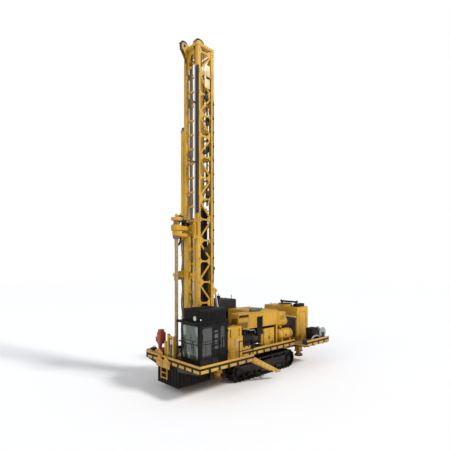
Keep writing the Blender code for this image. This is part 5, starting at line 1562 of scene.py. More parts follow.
    def plates(self) -> None:
        """Blank pale plates and small boxes on the near lattice."""
        y = -self.chord_y - 0.07
        with Piece("blank_plates", Finish.CREAM, "mast") as plates:
            for x0, x1, z0, z1 in ((-3.46, -3.07, 17.0, 17.62), (-3.44, -3.08, 16.35, 16.86)):
                plates.block((x0, y - 0.012, z0), (x1, y + 0.006, z1), 0.02, 2)
            for y0, y1, z0, z1 in ((-0.25, 0.05, 17.1, 17.5), (-0.1, 0.3, 16.3, 16.9)):
                plates.block((self.rear + 0.08, y0, z0), (self.rear + 0.1, y1, z1), 0.004)
        with Piece("lattice_boxes", Finish.DARK, "mast") as boxes:
            for x, z, wide, tall in ((-3.3, 15.7, 0.22, 0.3), (-3.24, 14.3, 0.16, 0.2),
                                     (-3.4, 12.7, 0.18, 0.24), (-3.2, 10.4, 0.2, 0.3),
                                     (-3.36, 7.3, 0.2, 0.26)):
                boxes.block((x - wide / 2, y - 0.03, z), (x + wide / 2, y + 0.09, z + tall), 0.015, 2)
                boxes.line(((x, y + 0.03, z), (x + 0.02, y + 0.03, z - 0.3),
                            (self.rear - 0.13, y + 0.05, z - 0.7)), 0.012)
        with Piece("lattice_cable", Finish.HOSE, "mast") as cable:
            for x, out, top, count in ((self.rear - 0.13, 0.02, 16.9, 19),
                                       (self.rear + 0.07, -0.045, 15.8, 14)):
                cable.line([(x, y + out, top - step * 0.78) for step in range(count)], 0.018)
                for step in range(count - 1):
                    cable.block((x - 0.035, y + out - 0.022, top - step * 0.78 - 0.3),
                                (x + 0.035, y + out + 0.02, top - step * 0.78 - 0.16), 0.012)
        # Spare drill pipes are real parts, but their near-black colour is painted shade of the mast's
        # inside; the drill pipe itself is brown drill steel.
        with Piece("spare_pipes_painted_shade", Finish.CHAIN, "mast") as pipes:
            for x, pipe_y in ((-3.12, -0.31), (-3.12, -0.06), (-3.36, -0.26)):
                pipes.turned(((0.07, 0), (0.105, 0.1), (0.105, 0.5), (0.085, 0.56), (0.085, 6.1),
                              (0.105, 6.15), (0.105, 6.5), (0.06, 6.55), (0.06, 6.7)), (x, pipe_y, 3.05),
                             Way.UP, 18)
        with Piece("pipe_rack", Finish.DARK, "mast") as rack:
            for z in (3.2, 5.0, 6.9, 8.9, 9.6):
                rack.block((-3.5, -0.44, z), (-2.96, 0.08, z + 0.03), 0.01)
                rack.bar((-3.2, -0.19, z - 0.04), (-3.2, -0.19, z + 0.07), 0.06, 14)
            rack.bar((-3.2, -0.19, 2.9), (-3.2, -0.19, 9.9), 0.035)
        with Piece("feed_cylinder", Finish.MAST_YELLOW, "mast") as feed:
            feed.turned(((0.06, 0), (0.07, 0.12), (0.12, 0.14), (0.12, 0.3), (0.1, 0.32), (0.1, 3.5),
                         (0.115, 3.52), (0.115, 3.66), (0.1, 3.68), (0.1, 7.0), (0.12, 7.02), (0.12, 7.2),
                         (0.07, 7.22), (0.05, 7.5)), (-3.24, -0.16, 9.95), Way.UP, 20)
            for z in (10.9, 12.4, 13.9, 15.4, 16.7):
                feed.block((-3.36, -0.42, z), (-2.95, -0.02, z + 0.12), 0.012)
                feed.outline(((-2.95, z), (-2.95, z + 0.3), (-3.2, z)), Plane.SIDE, -0.3, -0.28)
        with Piece("lattice_tubes", Finish.RUSTY, "mast") as tubes:
            for x, tube_y, radius in ((-3.06, -0.34, 0.045), (-3.1, 0.1, 0.05)):
                tubes.line(((x, tube_y, 9.9), (x, tube_y, 17.4)), radius, 12, False)
        with Piece("lattice_blocks", Finish.CAST, "mast") as blocks:
            for z in (10.2, 11.5, 12.9, 14.6, 16.1):
                blocks.block((-3.16, -0.45, z), (-2.98, -0.3, z + 0.34), 0.03, 2)
                blocks.bar((-3.07, -0.37, z - 0.12), (-3.07, -0.37, z + 0.46), 0.03, 10)

    def crown(self) -> None:
        """Bolts, rails and rope guards of the crown."""
        z = self.top + 0.145
        with Piece("crown_trim", Finish.MAST_YELLOW, "mast") as trim:
            for side in (-1, 1):
                trim.block((-4.0, side * 0.635, 18.48), (-2.8, side * 0.621, 18.6), 0.005)
            trim.block((-3.86, -0.42, 18.24), (-3.84, 0.42, 18.45), 0.004)
            trim.outline(((-0.42, 18.24), (-0.42, 17.5), (-0.3, 17.62), (-0.12, 18.24)), Plane.END, -3.86,
                         -3.845)
            trim.outline(((0.42, 18.24), (0.42, 17.2), (0.32, 17.3), (0.2, 17.9), (0.06, 18.24)), Plane.END,
                         -3.86, -3.845)
            for y, z, radius in ((0.27, 17.95, 0.13), (0.16, 17.55, 0.1), (-0.3, 17.8, 0.08)):
                trim.turned(((radius * 0.5, 0), (radius * 0.6, 0.03), (radius, 0.04), (radius, 0.12)),
                            (-3.92, y, z), Way.REARWARD, 20)
            for y in (0.305, 0.523):
                trim.outline(((-4.34, 18.66), (-3.95, 18.66), (-3.95, 18.16), (-4.02, 18.16)), Plane.SIDE,
                             y, y + 0.012, 0.004)
            for y in (-0.398, -0.214):
                trim.outline(((-3.98, 18.5), (-3.22, 18.5), (-3.28, 18.7), (-3.42, 18.88), (-3.6, 18.94),
                              (-3.78, 18.88), (-3.92, 18.7)), Plane.SIDE, y, y + 0.012, 0.004)
            trim.outline(((-0.4, 18.5), (-0.2, 18.5), (-0.24, 18.72), (-0.36, 18.72)), Plane.END, -3.99,
                         -3.975)
        with Piece("crown_guards", Finish.TAUPE, "mast") as guards:
            for x, y, radius in ((-3.6, -0.3, 0.36), (-4.12, 0.42, 0.25)):
                arc = [(x - (radius + 0.03) * math.cos(angle),
                        19.0 - radius + (radius + 0.03) * math.sin(angle))
                       for angle in (math.radians(12 + step * 13) for step in range(13))]
                for (x0, z0), (x1, z1) in zip(arc, arc[1:]):
                    guards.beam((x0, y, z0), (x1, y, z1), 0.15, 0.012)
                for side in (-1, 1):
                    guards.block((x - 0.02, y + side * 0.078, 18.9 - radius),
                                 (x + 0.02, y + side * 0.072, 19.03), 0.003)
        with Piece("crown_bolts", Finish.CAST, "mast") as bolts:
            bolts.bolts([(-3.92 + index * 0.16, -0.635, 18.54) for index in range(7)], Way.NEAR, 0.028)
            for x, y, radius in ((-3.6, -0.3, 0.36), (-4.12, 0.42, 0.25)):
                for way, out in ((Way.NEAR, -1), (Way.FAR, 1)):
                    bolts.turned(((0.03, 0.035), (0.045, 0.02), (0.07, 0.012), (0.075, 0)),
                                 (x, y + out * 0.096, 19.0 - radius), way, 16)

    def lamps(self) -> None:
        """Work lamps that light the hole and the deck."""
        spots = (
            # place, way
            ((-3.3, -0.7, 8.9), Way.NEAR), ((-2.72, -0.5, 6.4), Way.REARWARD),
            ((-2.72, 0.5, 6.4), Way.REARWARD),
        )
        with Piece("mast_lamps", Finish.BLACK, "mast") as bodies, \
                Piece("mast_lamp_lenses", Finish.LENS, "mast") as lenses:
            for place, way in spots:
                bodies.turned(((0, -0.08), (0.06, -0.075), (0.095, 0), (0.1, 0.03), (0.088, 0.03),
                               (0.085, 0.01), (0, 0.005)), place, way, 20)
                lenses.turned(((0, 0.02), (0.05, 0.018), (0.084, 0.01), (0, 0.006)), place, way, 20)
                back = Vector(place) - way.vector * 0.08
                bodies.bar(back, back - way.vector * 0.08, 0.02, 8)

    def pins(self) -> None:
        """Pins of the mast's pivot and of the cylinders' eyes."""
        with Piece("mast_pins", Finish.BRIGHT, "mast") as pins:
            for side, way in ((-1, Way.NEAR), (1, Way.FAR)):
                for reach, out in ((0.525, way), (0.315, Way.out(-side))):
                    pins.turned(((0.04, 0.02), (0.052, 0.008), (0.052, 0)), (-2.55, side * reach, 5.15),
                                out, 16)


# Head, arms and tower


@dataclass(frozen=True)
class RotaryHead:
    """Motors, bolts, swivel and hoses of the rotary head."""

    x: float = -4.9

    def build(self) -> None:
        """Dress the head."""
        with Piece("head_motors", Finish.CAST, "rotary_head") as motors:
            for y in (-0.11, 0.11):
                motors.turned(((0.05, 0.36), (0.062, 0.34), (0.062, 0.24), (0.085, 0.22), (0.09, 0.02),
                               (0.1, 0)), (-4.4, y, 8.67), Way.UP, 20)
                motors.block((-4.46, y - 0.03, 8.93), (-4.34, y + 0.03, 8.99), 0.008)
            motors.block((-4.26, -0.17, 8.68), (-4.16, 0.17, 8.9), 0.015, 2)
            motors.bolt_circle((self.x, 0, 9.1), Way.UP, 0.24, 14, 0.034)
            motors.bolt_circle((self.x, 0, 8.7), Way.UP, 0.255, 14, 0.034)
            motors.bolt_circle((self.x, 0, 8.43), Way.DOWN, 0.26, 12)
            motors.bolts([(-4.16 - 0.01, side * 0.52 + dy, z) for side in (-1, 1) for dy in (-0.025, 0.025)
                          for z in (8.08, 8.2, 8.92, 9.04)], Way.FORWARD, 0.028)
        with Piece("head_body", Finish.TAUPE, "rotary_head") as body:
            body.turned(((0.151, 8.74), (0.165, 8.75), (0.165, 8.92), (0.151, 8.93), (0.151, 8.74)),
                        (self.x, 0, 0), Way.UP, 28)
            body.turned(((0.152, 7.97), (0.16, 7.97), (0.172, 8.0), (0.172, 8.3), (0.18, 8.31),
                         (0.18, 8.42), (0.152, 8.43), (0.152, 7.97)), (self.x, 0, 0), Way.UP, 28)
            for across, over in around(8, 0.5):
                body.bar((self.x + across * 0.185, over * 0.185, 8.02),
                         (self.x + across * 0.185, over * 0.185, 8.26), 0.014, 8)
            for side in (-1, 1):
                body.beam((-4.17, side * 0.42, 8.34), (-4.17, side * 0.1, 8.7), 0.03, 0.03)
        with Piece("head_pipes", Finish.BRIGHT, "rotary_head") as pipes:
            for y in (-0.11, 0.11):
                pipes.line(((-4.4, y, 9.0), (-4.38, y * 1.5, 9.12), (-4.28, y * 2.2, 9.08),
                            (-4.21, y * 2.6, 8.86)), 0.013)
        hoses = Piece("head_hose_loop", Finish.HOSE, "")
        for index, radius in enumerate((0.034, 0.026, 0.026)):
            y = 0.685 + index * 0.03
            shift = index * 0.03
            hoses.line(((-3.9 + shift, y, 9.22), (-3.93 + shift, y + 0.03, 8.7),
                        (-4.02, 0.8 + shift, 8.1 + shift), (-4.16, 0.82 + shift, 7.72 + shift),
                        (-4.32, 0.76 + shift, 7.8 + shift), (-4.42, 0.62, 8.3), (-4.42, 0.44 + shift, 8.85),
                        (-4.33, 0.26, 9.02 + shift), (-4.24, 0.16, 8.9)), radius)
        loop = hoses.finished()
        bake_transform(loop)


@dataclass(frozen=True)
class Arms:
    """Cylinders, hoses and linings of the steady arm and the wrench."""

    steady: Flat = (-4.45, 0.75)
    steady_z: float = 5.85
    wrench: Flat = (-5.4, 0.8)

    def build(self) -> None:
        """Dress the arms and the posts."""
        x, y = self.steady
        z = self.steady_z
        with Piece("steady_pin", Finish.CAST, "steady_arm") as pin:
            pin.turned(((0.045, 0.03), (0.06, 0.015), (0.062, 0)), (x, y, z - 0.1), Way.DOWN, 18)
            pin.bolt_circle((x, y, z - 0.1), Way.DOWN, 0.07, 6, 0.018)
        with Piece("steady_bracket_trim", Finish.MAST_YELLOW, "mast") as trim:
            trim.outline(((-4.5, 6.13), (-3.86, 6.13), (-3.86, 6.36)), Plane.SIDE, 0.625, 0.64)
            trim.block((-4.54, 0.625, 6.13), (-3.95, 0.84, 6.145), 0.004)
            trim.bolts([(-4.1 + index * 0.06, 0.74, 6.145) for index in range(3)], Way.UP, 0.026)
            for side in (-1, 1):
                trim.outline(((side * 0.42, 5.98), (side * 0.42, 6.32), (side * 0.16, 6.14),
                              (side * 0.16, 5.98)), Plane.END, -3.964, -3.952)
        with Piece("steady_cylinder", Finish.CHROME, "mast") as cylinder:
            cylinder.bar((-4.05, 0.78, 6.22), (-4.38, 0.78, 6.22), 0.022)
        with Piece("steady_barrel", Finish.BLACK, "mast") as barrel:
            barrel.bar((-3.8, 0.78, 6.22), (-4.15, 0.78, 6.22), 0.042, 14)
            barrel.turned(((0.05, 0.035), (0.055, 0)), (-4.38, 0.78, 6.2), Way.UP, 14)
        with Piece("steady_hoses", Finish.HOSE, "mast") as hoses:
            for shift in (0, 0.03):
                hoses.line(((-3.9 + shift, 0.78, 6.27), (-3.88 + shift, 0.76, 6.42),
                            (-3.87 + shift, 0.66, 6.7), (-3.87 + shift, 0.655, 9.15)), 0.012)
        x, y = self.wrench
        with Piece("wrench_post_trim", Finish.DARK) as post:
            post.bolts([(x + dx, y + dy, 1.61) for dx in (-0.12, 0.12) for dy in (-0.12, 0.12)], Way.UP,
                       0.04)
            for across, over in around(4):
                post.beam((x + across * 0.13, y + over * 0.13, 1.61),
                          (x + across * 0.09, y + over * 0.09, 1.9), 0.016, 0.03)
            post.turned(((0.04, 0.05), (0.07, 0.02), (0.07, 0)), (x, y, 3.055), Way.UP, 16)
        with Piece("wrench_pedestal", Finish.RED) as pedestal:
            pedestal.turned(((0.11, 0), (0.22, 0), (0.22, 0.03), (0.19, 0.05), (0.17, 0.36), (0.19, 0.38),
                             (0.19, 0.43), (0.11, 0.44), (0.11, 0)), (x, y, 1.6), Way.UP, 24)
            pedestal.block((x + 0.1, y - 0.42, 1.6), (x + 0.34, y + 0.06, 1.98), 0.04, 2)
            pedestal.block((x - 0.06, y - 0.36, 1.6), (x + 0.16, y - 0.16, 2.18), 0.05, 2)
        with Piece("wrench_case", Finish.RED, "breakout_wrench") as case:
            case.block((x - 0.15, y - 0.2, 2.34), (x + 0.26, y + 0.14, 2.98), 0.07, 3)
            case.block((x - 0.1, y - 0.14, 2.96), (x + 0.2, y + 0.1, 3.12), 0.05, 3)
            case.bolts([(x + dx, y - 0.2, z) for dx in (-0.08, 0.18) for z in (2.45, 2.66, 2.87)], Way.NEAR)
        with Piece("wrench_rings", Finish.RED, "breakout_wrench") as rings:
            for z in (2.06, 2.27, 2.6, 2.9):
                rings.turned(((0.101, 0), (0.118, 0.004), (0.118, 0.036), (0.101, 0.04), (0.101, 0)),
                             (x, y, z), Way.UP, 20)
        reach = Matrix.Translation((x, y, 0)) @ Matrix.Rotation(math.radians(60), 4, "Z")
        with Piece("wrench_motor", Finish.DARK, "breakout_wrench") as motor:
            for low, high in (((0.1, -0.125, 2.56), (0.42, 0.125, 2.79)),
                              ((0.16, -0.05, 2.852), (0.4, 0.05, 2.93))):
                centre = reach @ ((Vector(low) + Vector(high)) / 2)
                size = Vector(high) - Vector(low)
                motor.block(centre - size / 2, centre + size / 2, 0.015, 2,
                            Matrix.Rotation(math.radians(60), 4, "Z"))
            for distance in (0.22, 0.34):
                motor.bar(reach @ Vector((distance, 0, 2.85)), reach @ Vector((distance, 0, 2.97)), 0.022,
                          10)
        with Piece("wrench_pipes", Finish.HOSE, "breakout_wrench") as pipes:
            pipes.line([reach @ Vector(p) for p in ((0.22, 0, 2.96), (0.16, 0.02, 3.03), (0.05, 0.03, 3.02),
                                                    (0, 0.03, 3.0))], 0.014)
            pipes.line([reach @ Vector(p) for p in ((0.34, 0, 2.96), (0.2, -0.03, 3.06),
                                                    (0.06, -0.03, 3.04), (0, -0.03, 3.0))], 0.014)


@dataclass(frozen=True)
class Tower:
    """Ribs, pin covers and cylinder fittings of the mast's tower."""

    pivot: Flat = (-2.6, 3.9)
    base: Flat = (-1.8, 1.87)
    eye: Flat = (-2.55, 5.15)

    def build(self) -> None:
        """Dress the tower and the mast's cylinders."""
        x, z = self.pivot
        with Piece("tower_plates", Finish.DARK) as plates:
            for side in (-1, 1):
                face = side * 0.86
                way = Way.out(side)
                low, high = sorted((face, face + side * 0.016))
                plates.outline(((x - 0.24, z - 0.62), (x + 0.3, z - 0.62), (x + 0.2, z + 0.06),
                                (x - 0.19, z + 0.06)), Plane.SIDE, low, high)
                plates.turned(((0.05, 0.03), (0.07, 0.02), (0.155, 0.015), (0.165, 0)), (x, side * 0.92, z),
                              way, 24)
                plates.bolt_circle((x, side * 0.935, z), way, 0.12, 8, 0.026)
                for start, end in (((-3.08, 1.75), (-2.8, 3.85)), ((-1.2, 1.75), (-2.38, 3.85))):
                    plates.beam((start[0], face + side * 0.012, start[1]),
                                (end[0], face + side * 0.012, end[1]), 0.024, 0.07)
                plates.beam((-3.0, face + side * 0.012, 1.78), (-1.3, face + side * 0.012, 1.78), 0.024,
                            0.08)
            plates.bolts([(px, side * 0.905, 1.672) for side in (-1, 1)
                          for px in (-3.05, -2.7, -2.3, -1.9, -1.5, -1.1)], Way.UP, 0.036)
        direction = Vector((self.eye[0] - self.base[0], 0, self.eye[1] - self.base[1])).normalized()
        for name, side in (("near", -1), ("far", 1)):
            foot = Vector((self.base[0], side * 0.42, self.base[1]))
            with Piece(f"cylinder_trim_{name}", Finish.BLACK, f"barrel_{name}") as trim:
                for distance in (0.3, 1.5, 1.62):
                    trim.turned(((0.112, 0), (0.138, 0), (0.138, 0.03), (0.112, 0.03), (0.112, 0)),
                                foot + direction * distance, direction, 20)
                back = Vector((direction.z, 0, -direction.x)) * 0.125
                trim.line([foot + back + direction * part for part in (0.36, 0.6, 1.2, 1.6)], 0.014)
                for distance in (0.38, 1.6):
                    centre = foot + back * 0.95 + direction * distance
                    trim.block(centre - Vector((0.03, 0.03, 0.03)), centre + Vector((0.03, 0.03, 0.03)),
                               0.006)
            with Piece(f"base_pin_{name}", Finish.BRIGHT) as pin:
                for way, out in ((Way.NEAR, -1), (Way.FAR, 1)):
                    pin.turned(((0.035, 0.02), (0.05, 0.008), (0.05, 0)),
                               (self.base[0], side * 0.42 + out * 0.096, self.base[1]), way, 16)


@dataclass(frozen=True)
class DrillEnd:
    """Table, curtain clamp, step and small frames at the drill end."""

    x: float = -4.9

    def build(self) -> None:
        """Dress the drill end."""
        with Piece("table_trim", Finish.CAST) as table:
            table.bolt_circle((self.x, 0, 1.64), Way.UP, 0.28, 12, 0.036)
            table.turned(((0.162, 0), (0.215, 0), (0.215, 0.02), (0.17, 0.035), (0.162, 0.035), (0.162, 0)),
                         (self.x, 0, 1.64), Way.UP, 28)
        with Piece("curtain_bars", Finish.DARK) as bars:
            for side in (-1, 1):
                bars.block((-5.44, side * 0.921, 1.36), (-3.32, side * 0.935, 1.42), 0.004)
                bars.bolts([(-5.36 + index * 0.22, side * 0.935, 1.39) for index in range(10)],
                           Way.out(side), 0.024)
            bars.block((-5.476, -0.9, 1.36), (-5.461, -0.1, 1.42), 0.004)
            bars.block((-5.476, 0.52, 1.36), (-5.461, 0.9, 1.42), 0.004)
            bars.bolts([(-5.476, y, 1.39) for y in (-0.8, -0.5, -0.2, 0.6, 0.82)], Way.FORWARD, 0.024)
        with Piece("curtain_ribs", Finish.FLAP) as ribs:
            for index in range(9):
                x = -5.3 + index * 0.235
                for side in (-1, 1):
                    ribs.beam((x, side * 0.922, 0.4), (x, side * 0.922, 1.35), 0.03, 0.05)
            for index in range(7):
                y = -0.78 + index * 0.26
                ribs.beam((-5.462, y, 0.4), (-5.462, y, 1.35), 0.05, 0.03)
            for y in (-0.928, 0.915):
                ribs.block((-5.468, y, 0.335), (-3.295, y + 0.013, 0.4), 0.004)
            ribs.block((-5.47, -0.925, 0.335), (-5.458, 0.925, 0.4), 0.004)
        with Piece("table_frame", Finish.YELLOW) as frame:
            for y, top in ((0.24, 2.55), (-0.02, 2.98), (-0.48, 2.9)):
                frame.beam((-5.4, y, 1.585), (-5.4, y, top), 0.12, 0.12)
            frame.beam((-5.4, -0.04, 2.88), (-5.4, -0.48, 2.8), 0.08, 0.1)
            frame.beam((-5.4, -0.02, 2.46), (-5.4, 0.26, 2.46), 0.08, 0.1)
            frame.beam((-5.4, -0.48, 1.98), (-5.4, 0.26, 1.98), 0.08, 0.1)
            frame.block((-5.42, 0.02, 1.6), (-5.38, 0.22, 2.42), 0.008)
            for y0, y1, top in ((0.32, 1.0, 2.16), (0.98, 1.36, 1.95)):
                frame.outline(((y0, 1.59), (y1, 1.59), (y1, top - 0.14), ((y0 + y1) / 2, top),
                               (y0, top - 0.2)), Plane.END, -5.57, -5.548)
            for y0, y1 in ((-0.46, 0.14), (0.18, 0.78)):
                frame.outline(((y0, 1.24), (y1, 1.24), (y1, 1.6), ((y0 + y1) / 2, 1.86), (y0, 1.6)),
                              Plane.END, -5.665, -5.635, 0.006)
                frame.block((-5.7, y0 + 0.1, 1.3), (-5.66, y1 - 0.1, 1.56), 0.015, 2)
                for y in (y0 + 0.04, y1 - 0.08):
                    frame.block((-5.64, y, 1.3), (-5.59, y + 0.04, 1.56), 0.006)
            frame.block((-5.52, -0.52, 1.6), (-5.3, 0.3, 1.72), 0.01)
            frame.bolts([(-5.57, y, 1.72) for y in (0.4, 0.66, 0.92, 1.1, 1.28)], Way.FORWARD)
        with Piece("table_cylinder", Finish.CHROME) as cylinder:
            cylinder.bar((-5.42, -0.26, 2.3), (-5.42, -0.26, 2.78), 0.04, 14)
        with Piece("table_cylinder_barrel", Finish.GREY) as barrel:
            barrel.bar((-5.42, -0.26, 1.72), (-5.42, -0.26, 2.45), 0.085, 18)
            barrel.turned(((0.05, 0.06), (0.08, 0.03), (0.08, 0)), (-5.42, -0.26, 2.74), Way.UP, 16)
        with Piece("corner_frame", Finish.YELLOW) as corner:
            corner.frame((1.42, 1.6), (1.86, 1.86), Plane.END, -5.56, -5.52, 0.06, 0)
            corner.frame((-5.54, 1.6), (-5.1, 1.86), Plane.SIDE, 1.82, 1.86, 0.06, 0)
        with Piece("grease_drum", Finish.DARK) as drum:
            drum.turned(((0.15, 0.38), (0.165, 0.395), (0.175, 0.38), (0.175, 0.26), (0.185, 0.25),
                         (0.175, 0.24), (0.175, 0.14), (0.185, 0.13), (0.175, 0.12), (0.175, 0.01), (0, 0)),
                        (-5.3, 1.62, 1.59), Way.UP, 28)
            drum.bar((-5.3, 1.62, 1.95), (-5.3, 1.62, 2.06), 0.03)
        with Piece("grease_hose", Finish.HOSE) as hose:
            hose.line(((-5.3, 1.62, 2.03), (-5.28, 1.56, 2.1), (-5.27, 1.4, 2.02), (-5.3, 1.2, 1.86),
                       (-5.36, 1.05, 1.82), (-5.4, 0.96, 1.82)), 0.014)


# Machinery on the deck


@dataclass(frozen=True)
class Tank:
    """Lids, gauge, straps and valves of the oil tank and the tool box."""

    x: tuple[float, float] = (-3.0, -1.85)
    y: tuple[float, float] = (-1.98, -1.0)

    def build(self) -> None:
        """Dress the tank."""
        x0, x1 = self.x
        face = self.y[0]
        with Piece("tank_trim", Finish.YELLOW) as trim:
            for z in (2.1, 2.66):
                trim.block((x0 + 0.02, face - 0.016, z), (x1 - 0.02, face + 0.02, z + 0.045), 0.006)
                trim.block((x0 - 0.014, face + 0.04, z), (x0 + 0.02, self.y[1] - 0.04, z + 0.045), 0.006)
            for x in (x0 + 0.25, x1 - 0.25):
                trim.block((x - 0.03, face - 0.012, 1.6), (x + 0.03, face + 0.03, 3.15), 0.006)
            for x in (x0 + 0.1, x0 + 0.62):
                trim.block((x, face - 0.01, 1.68), (x + 0.4, face + 0.03, 2.04), 0.012, 2)
        with Piece("tank_seams", Finish.DARK) as seams:
            seams.block((x1 + 0.002, face + 0.04, 1.62), (x1 + 0.02, self.y[1] - 0.04, 3.12), 0.004)
            seams.turned(((0.05, 0.1), (0.06, 0.09), (0.06, 0.03), (0.085, 0.02), (0.085, 0)),
                         (x0 + 0.3, -1.65, 3.228), Way.UP, 20)
            seams.turned(((0.13, 0.05), (0.14, 0.04), (0.14, 0)), (x0 + 0.75, -1.35, 3.228), Way.UP, 24)
            seams.bolt_circle((x0 + 0.75, -1.35, 3.275), Way.UP, 0.11, 10, 0.02)
            for x in (x0 + 0.14, x1 - 0.14):
                seams.ring((x, -1.49, 3.235), Way.REARWARD, 0.035, 0.01, 14, 6)
        with Piece("tank_gauge", Finish.BRIGHT) as gauge:
            gauge.frame((x0 + 0.52, 2.25), (x0 + 0.6, 2.58), Plane.SIDE, face - 0.022, face, 0.014, 0)
            gauge.turned(((0, 0.03), (0.045, 0.028), (0.055, 0.02), (0.055, 0)), (x0 + 0.8, face, 2.42),
                         Way.NEAR, 20)
        with Piece("tank_hoses", Finish.HOSE) as hoses:
            for index in range(4):
                x = x0 + 0.2 + index * 0.2
                hoses.line(((x, self.y[1], 1.8), (x + 0.02, self.y[1] + 0.09, 1.76),
                            (x + 0.05, self.y[1] + 0.06, 1.62), (x + 0.3, self.y[1] + 0.1, 1.61)), 0.02)
        with Piece("tool_box_trim", Finish.BLACK) as box:
            box.block((-1.81, -1.89, 2.05), (-1.14, -1.65, 2.19), 0.008)
            for x in (-1.65, -1.3):
                box.block((x - 0.03, -1.905, 1.98), (x + 0.03, -1.88, 2.07), 0.006)
                box.ring((x, -1.9, 1.99), Way.NEAR, 0.018, 0.006, 12, 6)


@dataclass(frozen=True)
class EngineBay:
    """Louvres, exhaust, engine and compressor detail under the hood."""

    face: float = -1.6

    def build(self) -> None:
        """Dress the bay."""
        self.hood()
        self.exhaust()
        self.engine()
        self.compressor()
        self.cabinet()

    def hood(self) -> None:
        """Slots, seams, latches and eyes of the hood."""
        with Piece("hood_slots", Finish.BLACK) as slots:
            slots.block((-1.78, self.face - 0.008, 3.6), (-1.02, self.face + 0.02, 3.75), 0.04, 2)
            slots.block((-1.78, self.face - 0.006, 3.0), (-1.08, self.face + 0.02, 3.34), 0.03, 2)
            for index in range(7):
                slots.beam((-1.828, -1.5, 3.1 + index * 0.07), (-1.828, -1.06, 3.1 + index * 0.07), 0.02,
                           0.026)
        with Piece("hood_trim", Finish.YELLOW) as trim:
            trim.block((-1.83, self.face - 0.014, 2.93), (1.7, self.face + 0.012, 2.985), 0.006)
            trim.block((-1.8, self.face - 0.012, 3.765), (1.68, self.face + 0.012, 3.8), 0.005)
            for index in range(5):
                trim.beam((-1.76, self.face - 0.012, 3.06 + index * 0.06),
                          (-1.1, self.face - 0.012, 3.06 + index * 0.06), 0.02, 0.02)
            for x in (-0.98, -0.42, 0.27, 1.64):
                trim.block((x - 0.02, self.face - 0.012, 2.98), (x + 0.02, self.face + 0.01, 3.77), 0.005)
            for x in (-0.1, 0.8):
                trim.block((x, -0.9, 3.815), (x + 0.75, 0.6, 3.835), 0.008)
                trim.bolts([(x + dx, y, 3.835) for dx in (0.05, 0.7) for y in (-0.85, -0.15, 0.55)], Way.UP,
                           0.026)
            for x in (-1.6, -0.35, 1.5):
                trim.ring((x, -1.3, 3.86), Way.REARWARD, 0.045, 0.012, 14, 6)
            trim.block((-1.6, -1.45, 3.825), (-0.75, -1.1, 3.86), 0.012, 2)
        with Piece("hood_latches", Finish.BRIGHT) as latches:
            for x in (-0.5, 0.45, 0.95, 1.5):
                latches.block((x - 0.02, self.face - 0.026, 3.0), (x + 0.02, self.face, 3.06), 0.005)

    def exhaust(self) -> None:
        """Dark heat plate on the hood's near face and silencer on its top."""
        with Piece("exhaust", Finish.GREY) as exhaust:
            exhaust.turned(((0.08, 0), (0.11, 0.03), (0.11, 0.85), (0.08, 0.88)), (-0.5, -1.25, 3.91),
                           Way.REARWARD, 24)
            exhaust.line(((0.35, -1.25, 3.91), (0.48, -1.25, 3.92), (0.55, -1.25, 3.98)), 0.055, 14)
            exhaust.bar((-0.38, -1.25, 3.8), (-0.38, -1.25, 3.9), 0.06, 14)
            for x in (-0.3, 0.2):
                exhaust.ring((x, -1.25, 3.91), Way.REARWARD, 0.112, 0.012, 24, 6)
                exhaust.block((x - 0.03, -1.37, 3.81), (x + 0.03, -1.13, 3.84), 0.006)
        with Piece("heat_plate", Finish.BLACK) as plate:
            plate.block((-0.27, self.face - 0.034, 2.5), (0.2, self.face - 0.016, 3.56), 0.008)
            for index in range(5):
                x = -0.21 + index * 0.09
                plate.beam((x, self.face - 0.04, 2.9), (x, self.face - 0.04, 3.52), 0.02, 0.012)
            plate.bolts([(x, self.face - 0.034, z) for x in (-0.25, 0.18) for z in (2.9, 3.2, 3.5)],
                        Way.NEAR, 0.02)

    def engine(self) -> None:
        """Heads, filters, belt and pipes of the engine."""
        with Piece("engine_detail", Finish.CAST) as engine:
            for index in range(6):
                x = 0.02 + index * 0.235
                engine.block((x, -0.42, 2.76), (x + 0.19, 0.36, 2.9), 0.02, 2)
                engine.bolts([(x + 0.1, -0.2, 2.9), (x + 0.1, 0.14, 2.9)], Way.UP, 0.026)
                engine.bar((x + 0.09, -0.75, 2.55), (x + 0.09, -0.87, 2.5), 0.05)
            engine.bar((0, -0.86, 2.47), (1.42, -0.86, 2.47), 0.07, 16)
            engine.bar((0.15, -0.82, 2.0), (0.55, -0.82, 2.0), 0.075, 18)
            for x in (0.75, 0.95, 1.15):
                engine.turned(((0.05, 0.26), (0.06, 0.24), (0.06, 0.02), (0.045, 0)), (x, -0.83, 1.9),
                              Way.UP, 16)
            engine.block((0.05, -0.84, 1.63), (1.4, -0.74, 1.82), 0.02, 2)
            engine.turned(((0.2, 0.06), (0.21, 0.05), (0.19, 0.03), (0.21, 0.01), (0.2, 0)), (1.45, 0, 2.2),
                          Way.REARWARD, 28)
            engine.turned(((0.05, 0.16), (0.05, 0.1), (0.14, 0.09), (0.15, 0.03), (0.15, 0)),
                          (1.45, 0.36, 2.52), Way.REARWARD, 20)
        with Piece("engine_hoses", Finish.HOSE) as hoses:
            hoses.line(((1.47, 0.2, 2.6), (1.7, 0.25, 2.64), (2.2, 0.3, 2.5), (3.2, 0.4, 2.5),
                        (4.06, 0.5, 2.6)), 0.06, 12)
            hoses.line(((1.47, -0.3, 1.95), (1.75, -0.35, 1.9), (2.6, -0.4, 1.8), (4.06, -0.5, 1.95)), 0.06,
                       12)
            for index in range(5):
                hoses.line(((-0.1, -0.5 + index * 0.2, 1.9), (-0.35, -0.5 + index * 0.19, 1.8),
                            (-0.8, -0.45 + index * 0.17, 1.62), (-0.95, -0.4 + index * 0.15, 1.61)), 0.022)

